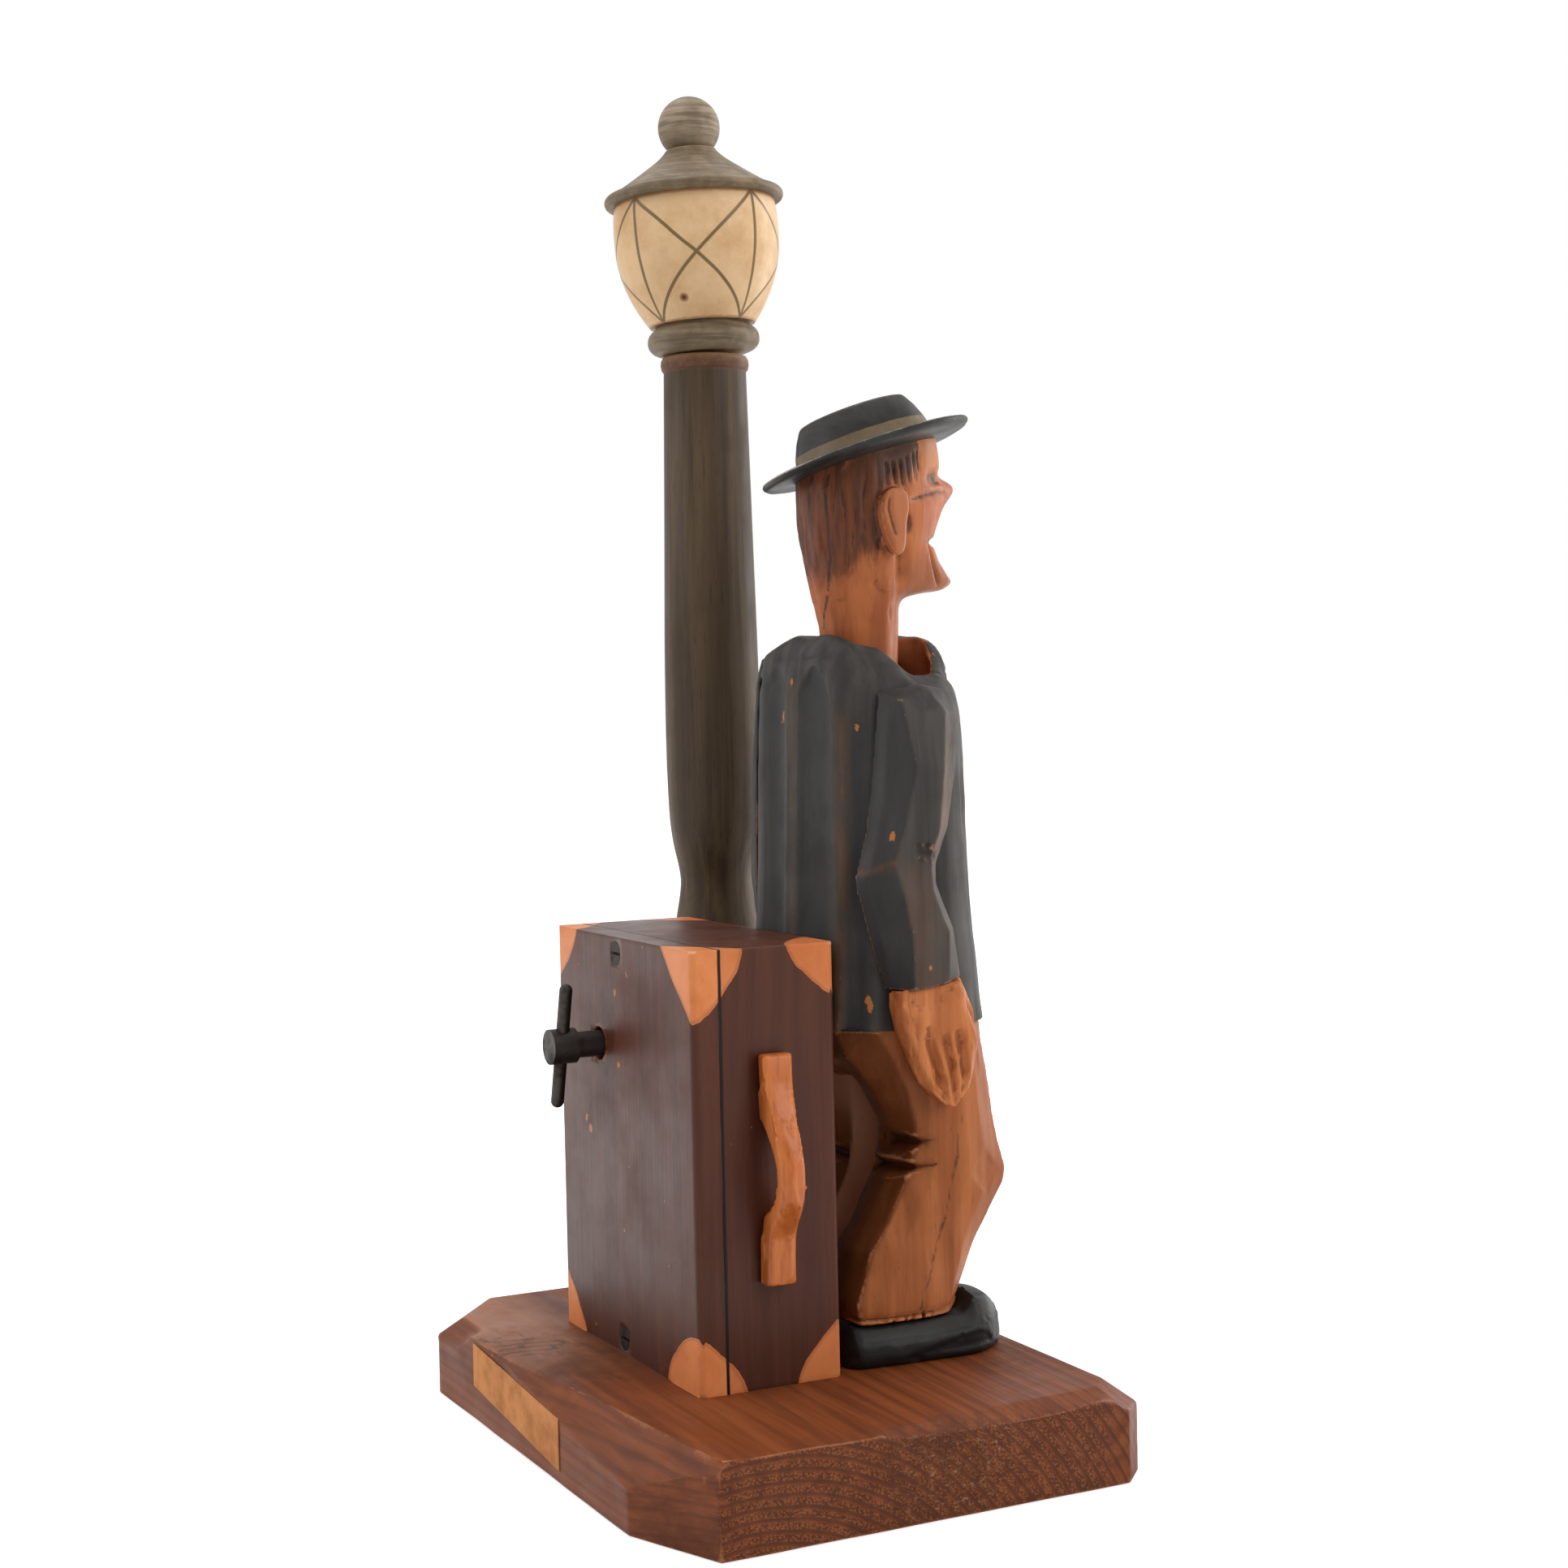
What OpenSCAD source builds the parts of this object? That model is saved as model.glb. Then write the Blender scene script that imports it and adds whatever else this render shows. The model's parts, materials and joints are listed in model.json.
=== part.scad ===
// Carved-wood musical figure: a man in a hat beside a street lamp, with a suitcase behind the figure
// that holds a key-wound cylinder movement. A cam on the cylinder nods the head.
// Millimetres. +Z is up, the man faces -Y, and the origin is under the middle of the base.

/* [Base] */
// Width of the base, left to right
base_w = 195; // [180:1:230]
// Depth of the base, front to back
base_d = 141; // [136:1:180]
// Thickness of the base
base_h = 25; // [18:1:40]
// Width of the carved bevel round the top of the base
base_bevel = 7; // [4:0.5:9]
// Length of the paper label on the back edge
label_w = 70; // [40:1:90]
// Height of the paper label
label_h = 12.5; // [8:0.5:14]

/* [Suitcase] */
// Width of the suitcase
case_w = 97; // [94:1:110]
// Depth of the suitcase with its back cover
case_d = 43; // [42:0.5:60]
// Height of the suitcase
case_h = 120; // [119:1:140]
// Thickness of the suitcase walls
case_wall = 7; // [6:0.5:7.5]
// Thickness of the front wall behind the man
case_front = 5; // [4:0.5:6]
// Thickness of the back cover
cover_t = 8.2; // [6:0.1:9]
// Radius of the suitcase's upright edges
case_round = 2; // [1:0.5:4]
// Middle of the suitcase, right of the middle of the base
case_x = 3; // [0:1:6]
// Base left free behind the suitcase
case_margin = 31; // [24:1:34]
// Length of the carved handle
handle_len = 62.5; // [50:0.5:80]
// Width of the handle strap
handle_w = 9.5; // [7:0.5:14]
// Thickness of the handle strap
handle_t = 5.5; // [4:0.5:6.5]
// How far the handle bows out from the suitcase
handle_bow = 12; // [11.5:0.5:18]

/* [Winding key] */
// Free space beside the great wheel on the key's axis, up to the suitcase's side wall
key_u = 1.59; // [0.5:0.01:3]
// Free space above the great wheel on the key's axis, up to the suitcase's top wall
key_w = 2.59; // [0.5:0.01:5]
// How far the key stands out behind the suitcase
key_reach = 15.5; // [14:0.5:22]
// Diameter of the key stem
key_stem_d = 7.5; // [7:0.1:9]
// Diameter of the key hub
key_hub_d = 10.2; // [9.5:0.1:14]
// Diameter of the cross bar
key_bar_d = 3.8; // [3:0.1:5]
// Length of the cross bar
key_bar_len = 38; // [28:0.5:48]
// Turn of the cross bar from upright at rest
key_bar_turn = 15; // [0:1:90]

/* [Movement] */
// Tooth module of the barrel and cylinder pinion
drive_module = 0.9; // [0.85:0.05:0.9]
// Tooth module of the cylinder wheel and second pinion
train_module = 0.6; // [0.6:0.05:0.65]
// Tooth module of the second wheel and fly pinion
fly_module = 0.5; // [0.4:0.05:0.5]
// Thickness of each brass plate
plate_t = 1.5; // [1.2:0.1:1.8]
// Diameter of the tune cylinder
drum_d = 13; // [12:0.5:13.5]
// Number of teeth on the comb
comb_teeth = 12; // [8:1:14]
// Diameter of the winding arbor
arbor_d = 5; // [4.5:0.1:5.5]
// Radius of the nod cam
cam_r = 8; // [7:0.1:8.2]

/* [Lamp] */
// Lamp post axis, right of the middle of the base
post_x = 68; // [66:0.5:68]
// Lamp post axis, in front of the middle of the base
post_y = 21.5; // [18:0.5:30]
// Height of the post up to the lantern
post_h = 296; // [260:1:330]
// Greatest radius of the post
post_r = 15; // [13.5:0.1:16]
// Radius of the post's foot
foot_r = 19; // [17:0.5:22]
// Greatest radius of the lantern globe
globe_r = 26; // [24:0.1:32]
// Height of the lantern globe
globe_h = 38; // [32:0.5:46]
// Overhang of the lantern roof past the globe
roof_overhang = 2.2; // [1:0.1:5]
// Height of the lantern roof
roof_h = 17; // [14:0.5:26]
// Radius of the ball finial
ball_r = 9.8; // [8:0.1:11]
// Lean of the lantern on its post, in degrees
lantern_lean = 2.7; // [0:0.1:4]
// Diameter of the dowel through the lantern
dowel_d = 8; // [6:0.5:9]

/* [Man] */
// Middle of the man, left of the middle of the base
man_x = 15.5; // [14:0.5:17]
// Half the width of the jacket between the glued-on arms
jacket_half = 28.5; // [27:0.5:31]
// How far the jacket hangs below the rocker that reaches into it
hem_z = 8.9; // [8:0.1:13]
// Height of the shoulders above the base
shoulder_z = 204.5; // [200:0.5:212]
// Radius of the neck
neck_r = 11.2; // [10:0.1:11.6]
// Height of the nod pivot above the base
pivot_z = 165; // [160:0.5:170]
// Diameter of the nod pivot pin
pivot_d = 3; // [2.5:0.1:4]
// Farthest the head nods forward, in degrees
nod_max = 13; // [8:0.5:13]
// Height of the shoes' uppers
shoe_h = 12; // [10:0.5:14]
// Radius of the hat brim
brim_r = 31; // [28:0.5:34]
// Height of the hat crown
crown_h = 13.5; // [11:0.5:20]
// Backward tilt of the hat, in degrees
hat_tilt = 22; // [18:1:24]

/* [Fits] */
// Radial clearance of a shaft that turns in a bore
run_gap = 0.05; // [0.02:0.01:0.08]
// Clearance between pieces that are glued or screwed together
glue_gap = 0.05; // [0.02:0.01:0.08]
// Clearance between pieces that move past each other
free_gap = 0.4; // [0.3:0.05:0.5]
// Backlash between gear teeth
backlash = 0.14; // [0.1:0.01:0.18]
// Diameter of the wood screws
screw_d = 3.6; // [3:0.1:4]

/* [Hidden] */
$fn = 48;
hull_fn = 24;
eps = 0.01;
far = 400;

// Places that everything else hangs on
case_x0 = case_x - case_w/2;
case_y1 = base_d/2 - case_margin;
case_y0 = case_y1 - case_d;
man_back = case_y0 - free_gap;
body_d = case_d - cover_t;

// Movement layout inside the suitcase: u runs along X, v along Y, w along Z
barrel_teeth = 48;
cylinder_pinion_teeth = 16;
cylinder_wheel_teeth = 48;
second_pinion_teeth = 12;
second_wheel_teeth = 36;
fly_pinion_teeth = 12;
front_v = case_front;
front_in = front_v + plate_t;
ratchet_room = 2.8;
back_v = body_d - ratchet_room;
back_in = back_v - plate_t;
great_wheel_r = pitch(drive_module, barrel_teeth) + 0.9*drive_module;
axis_u = case_w - case_wall - great_wheel_r - key_u;
axis_w = case_h - case_wall - great_wheel_r - key_w;
barrel_r = pitch(drive_module, barrel_teeth) - 2.6;
drive_reach = pitch(drive_module, barrel_teeth) + pitch(drive_module, cylinder_pinion_teeth);
train_reach = pitch(train_module, cylinder_wheel_teeth) + pitch(train_module, second_pinion_teeth);
fly_reach = pitch(fly_module, second_wheel_teeth) + pitch(fly_module, fly_pinion_teeth);
drive_rise = 5;
cyl_u = axis_u - sqrt(drive_reach*drive_reach - drive_rise*drive_rise);
cyl_w = axis_w + drive_rise;
second_w = cyl_w - train_reach;
fly_w = second_w - fly_reach;
drive_angle = atan2(cyl_w - axis_w, cyl_u - axis_u);
small_arbor_d = 2.4;
pivot_tip_d = 1.6;
pillar_inset = 4;
plate_margin = 4;
plate_u0 = case_wall + plate_margin;
plate_u1 = axis_u + pitch(drive_module, barrel_teeth) + drive_module - 0.5;
plate_w0 = fly_w - 9;
plate_w1 = axis_w + pitch(drive_module, barrel_teeth) + drive_module - 1;
pillar_r = 2.2;
great_wheel_t = 2;
barrel_v0 = front_in + 2;
cyl_wheel_room = 6.5;
great_wheel_v = back_in - cyl_wheel_room;
cam_v = front_in + 1.5;
cam_t = 2;
drum_v = cam_v + cam_t + 1;
drum_len = great_wheel_v - 1 - drum_v;
cyl_wheel_v = great_wheel_v + great_wheel_t + 1.2;
cyl_wheel_t = 1.4;
comb_t = 1.5;
comb_gap = 0.5;
pin_reach = 0.8;

// Rocker that carries the cam's lift through the suitcase wall to the pull wire
rocker_t = 3;
rocker_pin_d = 1.5;
rocker_w = cyl_w + cam_r + free_gap + rocker_t/2;
rocker_v = case_front/2 + 0.3;
hem_at = rocker_w - hem_z;
nod_arm = 14;
pivot_y = -27;
wire_d = 1.6;
wire_y = pivot_y - nod_arm;
wire_x = case_x0 + cyl_u + man_x;
rocker_arm = rocker_v + free_gap - wire_y;
wire_drop = nod_arm*sin(nod_max);

// Figure heights and joints between its pieces
neck_y = -25.6;
slot_half = neck_r + 1.2;
slot_back = neck_y + neck_r + 1.2;
slot_front = neck_y - neck_r - (shoulder_z - pivot_z)*sin(nod_max) - 0.9;
slot_floor = pivot_z - 14;
tongue_half = 8;
tongue_depth = 18;
lever_side = 3.4;
arm_plane = jacket_half;
hat_y = -29.7;
hat_z = 257;
leg_x = 15.5;
shoe_x = 18;

function pitch(m, n) = m*n/2;
function involute(a) = tan(a)*180/PI - a;

// Half the angle of a tooth at radius r, with its share of the backlash taken off
function tooth_half(m, n, r) =
    let (base = pitch(m, n)*cos(20))
    90/n - backlash/4/pitch(m, n)*180/PI
    + involute(20) - involute(acos(min(1, base/r)));

// Outline of a spur gear: a tooth is centred on angle 0
function gear_outline(m, n) =
    let (rp = pitch(m, n), ra = rp + 0.9*m, rr = rp - 1.25*m, rb = max(rr, rp*cos(20)))
    [for (i = [0:n - 1], p = [[rr, -1, rb], [rp, -1, rp], [ra, -1, ra],
                              [ra, 1, ra], [rp, 1, rp], [rr, 1, rb]])
        let (a = 360*i/n + p[1]*tooth_half(m, n, p[2]))
        [p[0]*cos(a), p[0]*sin(a)]];

// Ring of points at height z: a superellipse with its own back, front and half width,
// as square at the back as in front unless the front is given its own squareness
function section(z, back, front, half, square, count, x = 0, square_front = 0) =
    [for (i = [0:count - 1])
        let (a = 360*(i + 0.5)/count, c = cos(a), s = sin(a),
             n = s < 0 && square_front > 0 ? square_front : square,
             k = pow(pow(abs(c), n) + pow(abs(s), n), -1/n))
        [x + half*c*k, (back + front)/2 + (back - front)/2*s*k, z]];

// Closed solid through a list of rings that all have the same number of points
module loft(rings) {
    count = len(rings[0]);
    last = len(rings) - 1;
    side = [for (r = [0:last - 1], i = [0:count - 1])
        let (a = r*count + i, b = r*count + (i + 1) % count)
        each [[a, a + count, b + count], [a, b + count, b]]];
    floor = [for (i = [1:count - 2]) [0, i, i + 1]];
    roof = [for (i = [1:count - 2]) [last*count, last*count + i + 1, last*count + i]];
    polyhedron(points = [for (ring = rings) each ring], faces = concat(side, floor, roof));
}

module rounded_rect(w, d, r) {
    square([w - 2*r, d], center = true);
    square([w, d - 2*r], center = true);
    for (x = [-1, 1], y = [-1, 1])
        translate([x*(w/2 - r), y*(d/2 - r)]) circle(r);
}

module in_case() {
    translate([case_x0, case_y0, base_h]) children();
}

module in_man() {
    translate([-man_x, man_back, base_h]) children();
}

module at_post() {
    translate([post_x, -post_y, base_h]) children();
}

// The lantern stands on the top of the post and leans back and to the right
module at_lantern() {
    at_post() translate([0, 0, post_h]) rotate(a = lantern_lean, v = [-0.894, 0.448, 0]) children();
}

// Extrudes an outline drawn in the u-w plane from v to v + t
module slab(u, v, w, t) {
    translate([u, v + t, w]) rotate([90, 0, 0]) linear_extrude(t) children();
}

module rod(u, v, w, len, d) {
    slab(u, v, w, len) circle(d = d);
}

module gear(u, v, w, t, m, n, bore, turn = 0) {
    slab(u, v, w, t) difference() {
        rotate(turn) polygon(gear_outline(m, n));
        circle(d = bore);
    }
}

// Countersunk wood screw pointing along +Z, with the face of its head at the origin
module wood_screw(reach) {
    head_h = screw_d*0.5;
    difference() {
        union() {
            cylinder(h = head_h, d1 = 2*screw_d, d2 = screw_d);
            cylinder(h = reach - screw_d, d = screw_d);
            translate([0, 0, reach - screw_d]) cylinder(h = screw_d, d1 = screw_d, d2 = 0.6);
        }
        translate([-screw_d, -0.4, -eps]) cube([2*screw_d, 0.8, 0.9]);
    }
}

module screw_hole(reach) {
    translate([0, 0, -glue_gap]) {
        cylinder(h = screw_d*0.5 + 2*glue_gap, d1 = 2*screw_d + 4*glue_gap, d2 = screw_d + 2*glue_gap);
        cylinder(h = reach + 2*glue_gap + 0.3, d = screw_d + 2*glue_gap);
    }
}

// Base
screw_sink = 2;
case_screw_us = [20, case_w - 20];
shoe_screw_y = -26;
base_screw_spots = [
    [post_x, -post_y, 14],
    [case_x0 + case_screw_us[0], case_y0 + body_d/2, case_wall - 1],
    [case_x0 + case_screw_us[1], case_y0 + body_d/2, case_wall - 1],
    [-man_x - shoe_x, man_back + shoe_screw_y, shoe_h - 2],
    [-man_x + shoe_x, man_back + shoe_screw_y, shoe_h - 2]
];

// Corner cuts of the base, as lengths along X and Y, from the right back corner round to the left
corner_cuts = [[16, 15], [30, 12], [8, 8], [16, 14]];
// Height of the bevel's lower edge at the two ends of each corner cut, below the top
bevel_drops = [[6, 7], [12, 4], [5, 6], [5, 6]];

function base_corner(i) =
    let (x = base_w/2*[1, -1, -1, 1][i], y = base_d/2*[1, 1, -1, -1][i],
         c = corner_cuts[i], sx = sign(x), sy = sign(y),
         on_end = [x, y - sy*c[1]], on_side = [x - sx*c[0], y])
    sx*sy > 0 ? [on_end, on_side] : [on_side, on_end];

function base_ring(z, inset) =
    [for (i = [0:3], k = [0, 1])
        let (p = base_corner(i)[k], edge = 1 - inset/(base_d/2))
        [p[0] - sign(p[0])*inset, p[1]*edge, z]];

module base_slab() {
    low = base_ring(0, 0);
    drops = [for (pair = bevel_drops) each pair];
    edge = [for (i = [0:7]) [low[i][0], low[i][1], base_h - drops[i]]];
    color("sienna") difference() {
        loft([low, edge, base_ring(base_h, base_bevel)]);
        for (s = base_screw_spots) translate([s[0], s[1], screw_sink]) screw_hole(base_h + s[2]);
        for (s = base_screw_spots)
            translate([s[0], s[1], -eps]) cylinder(h = screw_sink, d = 2*screw_d + 1);
    }
}

module tune_label() {
    label_t = 0.3;
    label_x = case_x + 13;
    color("burlywood")
        translate([label_x - label_w/2, base_d/2 + glue_gap, 3.2]) cube([label_w, label_t, label_h]);
}

module base_screws() {
    color("dimgray") for (s = base_screw_spots)
        translate([s[0], s[1], screw_sink]) wood_screw(base_h - screw_sink + s[2]);
}

// Street lamp
ring_h = 9;
bead_h = 6;
bead_r = post_r - 1;
neck_post_r = post_r - 1.9;
globe_z = ring_h;
roof_z = globe_z + globe_h;
roof_r = globe_r + roof_overhang;
rim_t = 3.4;
spigot_d = 6;
spigot_h = 7;
dowel_sink = 18;
bead_trim = 1;
ball_z = roof_z + roof_h + ball_r*0.72;

// Turned profile of the post: radius and height, foot first
function post_profile() = [
    [foot_r, 0], [foot_r, 7], [foot_r - 2.5, 10], [post_r + 1, 14], [post_r + 1, 92],
    [post_r + 2.5, 96], [post_r + 2.5, 102], [post_r, 106], [post_r - 1.6, 116],
    [post_r - 3.4, 127], [post_r - 3.2, 133], [post_r - 1.4, 142], [post_r - 0.4, 152],
    [post_r, 172], [post_r - 0.2, 200], [post_r - 1, 240], [neck_post_r, post_h - bead_h]
];

module lamp_post() {
    color("dimgray") difference() {
        post_turning();
        at_lantern() cylinder(h = far, r = 2*post_r);
        at_lantern() translate([0, 0, -dowel_sink - glue_gap])
            cylinder(h = 2*dowel_sink, d = dowel_d + 2*glue_gap);
    }
}

module post_turning() {
    at_post() difference() {
        union() {
            rotate_extrude() polygon(concat([[0, 0]], post_profile(), [[0, post_h - bead_h]]));
            translate([0, 0, post_h - bead_h]) rotate_extrude() polygon([
                [0, 0], [bead_r - 0.6, 0], [bead_r, 1.4], [bead_r, 3.6],
                [bead_r - 1.6, bead_h + bead_trim], [0, bead_h + bead_trim]]);
        }
        translate([0, 0, -eps]) cylinder(h = 15, d = screw_d + 2*glue_gap);
    }
}

module lamp_gallery() {
    ring_r = globe_r*0.68;
    color("dimgray") at_lantern() translate([0, 0, glue_gap]) difference() {
        rotate_extrude() polygon([
            [0, 0], [ring_r - 4, 0], [ring_r - 1, 1.6], [ring_r, 3.8],
            [ring_r - 0.4, 6], [ring_r - 2, 8], [ring_r - 3, ring_h - 2*glue_gap], [0, ring_h - 2*glue_gap]]);
        translate([0, 0, -eps]) cylinder(h = ring_h, d = dowel_d + 2*glue_gap);
    }
}

// Lantern globe: wide near the top, drawn in below like a tulip
function globe_profile() = [
    for (s = [0:0.1:1])
        let (fall = pow(max(0, 0.72 - s)/0.72, 2.1), crown = pow(max(0, s - 0.82)/0.18, 2))
        [globe_r*(1 - 0.36*fall - 0.03*crown), s*globe_h]];

module lamp_globe() {
    color("wheat") at_lantern() translate([0, 0, globe_z]) difference() {
        rotate_extrude() polygon(concat([[0, 0]], globe_profile(), [[0, globe_h]]));
        translate([0, 0, -eps]) cylinder(h = globe_h + 2*eps, d = dowel_d + 2*glue_gap);
    }
}

module lamp_roof() {
    color("dimgray") at_lantern() translate([0, 0, roof_z + glue_gap]) difference() {
        rotate_extrude() polygon([
            [0, 0], [roof_r - 1.5, 0], [roof_r, 1], [roof_r, rim_t - 1], [roof_r - 1.2, rim_t],
            [ball_r*0.8, roof_h], [0, roof_h]]);
        translate([0, 0, -eps]) cylinder(h = roof_h + 2*eps, d = spigot_d + 2*glue_gap);
    }
}

module lamp_finial() {
    color("dimgray") at_lantern() difference() {
        union() {
            translate([0, 0, ball_z]) sphere(ball_r);
            translate([0, 0, roof_z + roof_h - spigot_h]) cylinder(h = spigot_h + 3, d = spigot_d);
        }
        translate([0, 0, roof_z + roof_h - far + 2*glue_gap]) difference() {
            cylinder(h = far, r = 2*ball_r);
            cylinder(h = far, d = spigot_d);
        }
    }
}

module lamp_dowel() {
    color("tan") at_lantern() translate([0, 0, -dowel_sink])
        cylinder(h = dowel_sink + ring_h + globe_h - 1, d = dowel_d);
}

// Suitcase
cover_screw_off = 3.5;
cover_screw_u = case_w/2 + cover_screw_off;
cover_screw_in = case_wall/2 + 1.2;
cover_screw_ws = [cover_screw_in, case_h - cover_screw_in];
cover_screw_len = cover_t + 14;
window_half = 4.5;
window_w0 = rocker_w - 6;
window_h = 11;

module case_outline() {
    rounded_rect(case_w, case_d, case_round);
}

module case_block(v0, v1) {
    intersection() {
        translate([case_w/2, case_d/2, 0]) linear_extrude(case_h) case_outline();
        translate([-far/2, v0, -far/2]) cube([far, v1 - v0, far]);
    }
}

module cover_screw_places() {
    for (w = cover_screw_ws)
        translate([cover_screw_u, case_d + eps, w]) rotate([90, 0, 0]) children();
}

module suitcase_body() {
    color("saddlebrown") in_case() difference() {
        case_block(0, body_d - glue_gap);
        translate([case_wall, case_front, case_wall])
            cube([case_w - 2*case_wall, far, case_h - 2*case_wall]);
        translate([cyl_u - window_half, -eps, window_w0]) cube([2*window_half, far, window_h]);
        cover_screw_places() screw_hole(cover_screw_len);
        for (u = case_screw_us)
            translate([u, body_d/2, -eps]) cylinder(h = case_wall - 0.6, d = screw_d + 2*glue_gap);
        for (p = movement_screw_spots)
            translate([p[0], 1, p[1]]) rotate([-90, 0, 0]) cylinder(h = case_front, d = 2 + 2*glue_gap);
    }
}

module suitcase_cover() {
    color("saddlebrown") in_case() difference() {
        case_block(body_d, case_d);
        rod(axis_u, body_d - 1, axis_w, cover_t + 2, key_stem_d + 2.4);
        cover_screw_places() screw_hole(cover_screw_len);
    }
}

module cover_screws() {
    color("gray") in_case() cover_screw_places() wood_screw(cover_screw_len);
}

// Handle: flat ends on the suitcase's side and a bow that stands clear of it
module suitcase_handle() {
    handle_in = 10;
    foot_len = handle_len*0.24;
    steps = 16;
    rise = handle_bow - handle_t;
    function lift(s) = rise*pow(max(0, sin(180*(s*handle_len - foot_len/2)/(handle_len - foot_len))), 1.4);
    outer = [for (i = [0:steps]) [-lift(i/steps) - handle_t, i/steps*handle_len]];
    inner = [for (i = [steps:-1:0]) [-lift(i/steps), i/steps*handle_len]];
    color("peru") in_case()
        translate([-glue_gap, body_d - handle_in, case_h/2 - handle_len/2])
        rotate([90, 0, 0]) linear_extrude(handle_w) polygon(concat(outer, inner));
}

// Movement frame
movement_screw_spots = [
    [plate_u0 + 12, plate_w0 + 4], [plate_u1 - 12, plate_w0 + 4],
    [plate_u0 + 4, plate_w1 - 12], [plate_u1 - 4, plate_w0 + 16]];
pillar_spots = [for (u = [plate_u0 + pillar_inset, plate_u1 - pillar_inset],
                     w = [plate_w0 + pillar_inset, plate_w1 - pillar_inset]) [u, w]];
comb_tip_u = cyl_u - drum_d/2 - pin_reach - comb_gap;
comb_back_u = plate_u0 + 3.8;
comb_root_u = comb_back_u + 0.465*(comb_tip_u - comb_back_u);
comb_v0 = drum_v;
block_h = 9;
ear_t = 1.2;

module plate_outline() {
    translate([(plate_u0 + plate_u1)/2, (plate_w0 + plate_w1)/2])
        rounded_rect(plate_u1 - plate_u0, plate_w1 - plate_w0, 3);
}

module train_holes() {
    translate([cyl_u, cyl_w]) circle(d = pivot_tip_d + 2*run_gap);
    translate([cyl_u, second_w]) circle(d = pivot_tip_d + 2*run_gap);
    translate([cyl_u, fly_w]) circle(d = pivot_tip_d + 2*run_gap);
}

module pillar_holes(d) {
    for (p = pillar_spots) translate(p) circle(d = d + 2*glue_gap);
}

pillar_tip_d = 2;

module front_plate() {
    color("goldenrod") in_case() {
        difference() {
            slab(0, front_v, 0, plate_t) difference() {
                plate_outline();
                train_holes();
                translate([axis_u, axis_w]) circle(d = 3 + 2*run_gap);
                pillar_holes(pillar_tip_d);
                for (p = movement_screw_spots) translate(p) circle(d = 2 + 2*glue_gap);
            }
            translate([cyl_u - rocker_t/2 - free_gap, front_v - 1, window_w0 + 0.6])
                cube([rocker_t + 2*free_gap, plate_t + 2, window_h - 1.2]);
        }
        for (side = [-1, 1]) difference() {
            translate([cyl_u + side*(rocker_t/2 + free_gap + ear_t/2) - ear_t/2, 0.6, rocker_w - 2.6])
                cube([ear_t, front_v - 0.6 + eps, 5.2]);
            rocker_axis(far, rocker_pin_d + 2*glue_gap);
        }
    }
}

module back_plate() {
    color("goldenrod") in_case() slab(0, back_in, 0, plate_t) difference() {
        plate_outline();
        train_holes();
        translate([axis_u, axis_w]) circle(d = arbor_d + 2*run_gap);
        translate(click_spot) circle(d = 2 + 2*glue_gap);
        translate(spring_spot) circle(d = 1 + 2*glue_gap);
        pillar_holes(pillar_tip_d);
    }
}

module plate_pillars() {
    color("gold") in_case() for (p = pillar_spots) {
        rod(p[0], front_in + glue_gap, p[1], back_in - front_in - 2*glue_gap, 2*pillar_r);
        rod(p[0], front_v + 0.2, p[1], plate_t, pillar_tip_d);
        rod(p[0], back_in - 0.2, p[1], plate_t + 0.2, pillar_tip_d);
    }
}

// Low cheese-head screws that close the pillars on the back plate
module pillar_screws() {
    color("gray") in_case() for (p = pillar_spots) slab(p[0], back_v + glue_gap, p[1], 1.2) difference() {
        circle(d = 4);
        square([5, 0.6], center = true);
    }
}

module movement_screws() {
    color("gray") in_case() for (p = movement_screw_spots) {
        rod(p[0], 1.4, p[1], front_in - 1.4 + glue_gap, 2);
        slab(p[0], front_in + glue_gap, p[1], 1) difference() {
            circle(d = 4);
            square([5, 0.5], center = true);
        }
    }
}

comb_screw_vs = [comb_v0 + 2.5, comb_v0 + drum_len - 2.5];
comb_mid_u = (comb_back_u + comb_root_u)/2;

module comb_holes(d, h) {
    for (v = comb_screw_vs) translate([comb_mid_u, v, cyl_w - far/2 + h]) cylinder(h = far/2, d = d);
}

module comb_block() {
    color("gray") in_case() difference() {
        translate([comb_back_u, front_in + glue_gap, cyl_w - comb_t/2 - block_h])
            cube([comb_root_u - comb_back_u, comb_v0 + drum_len - front_in, block_h - glue_gap]);
        comb_holes(1.6 + 2*glue_gap, 0);
    }
}

module comb() {
    pitch_v = drum_len/comb_teeth;
    slit = 0.25;
    color("silver") in_case() translate([comb_back_u, comb_v0, cyl_w - comb_t/2]) difference() {
        cube([comb_tip_u - comb_back_u, drum_len, comb_t]);
        translate([comb_root_u - comb_back_u + 1, -eps, 0.7]) cube([far, far, comb_t]);
        for (i = [1:comb_teeth - 1])
            translate([comb_root_u - comb_back_u, i*pitch_v - slit/2, -eps]) cube([far, slit, far]);
        for (v = comb_screw_vs)
            translate([comb_mid_u - comb_back_u, v - comb_v0, -eps])
                cylinder(h = comb_t + 1, d = 1.6 + 2*glue_gap);
    }
}

module comb_screws() {
    color("gray") in_case() for (v = comb_screw_vs) translate([comb_mid_u, v, cyl_w + comb_t/2 + glue_gap]) {
        difference() {
            cylinder(h = 1.1, d = 3.2);
            translate([-2, -0.25, 0.6]) cube([4, 0.5, 1]);
        }
        translate([0, 0, -5]) cylinder(h = 5 + eps, d = 1.6);
    }
}

// Winding work on the key's axis
ratchet_teeth = 16;
ratchet_r = 7;
ratchet_v = back_v + 0.3;
ratchet_t = 1.3;
square_len = 6;

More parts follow.
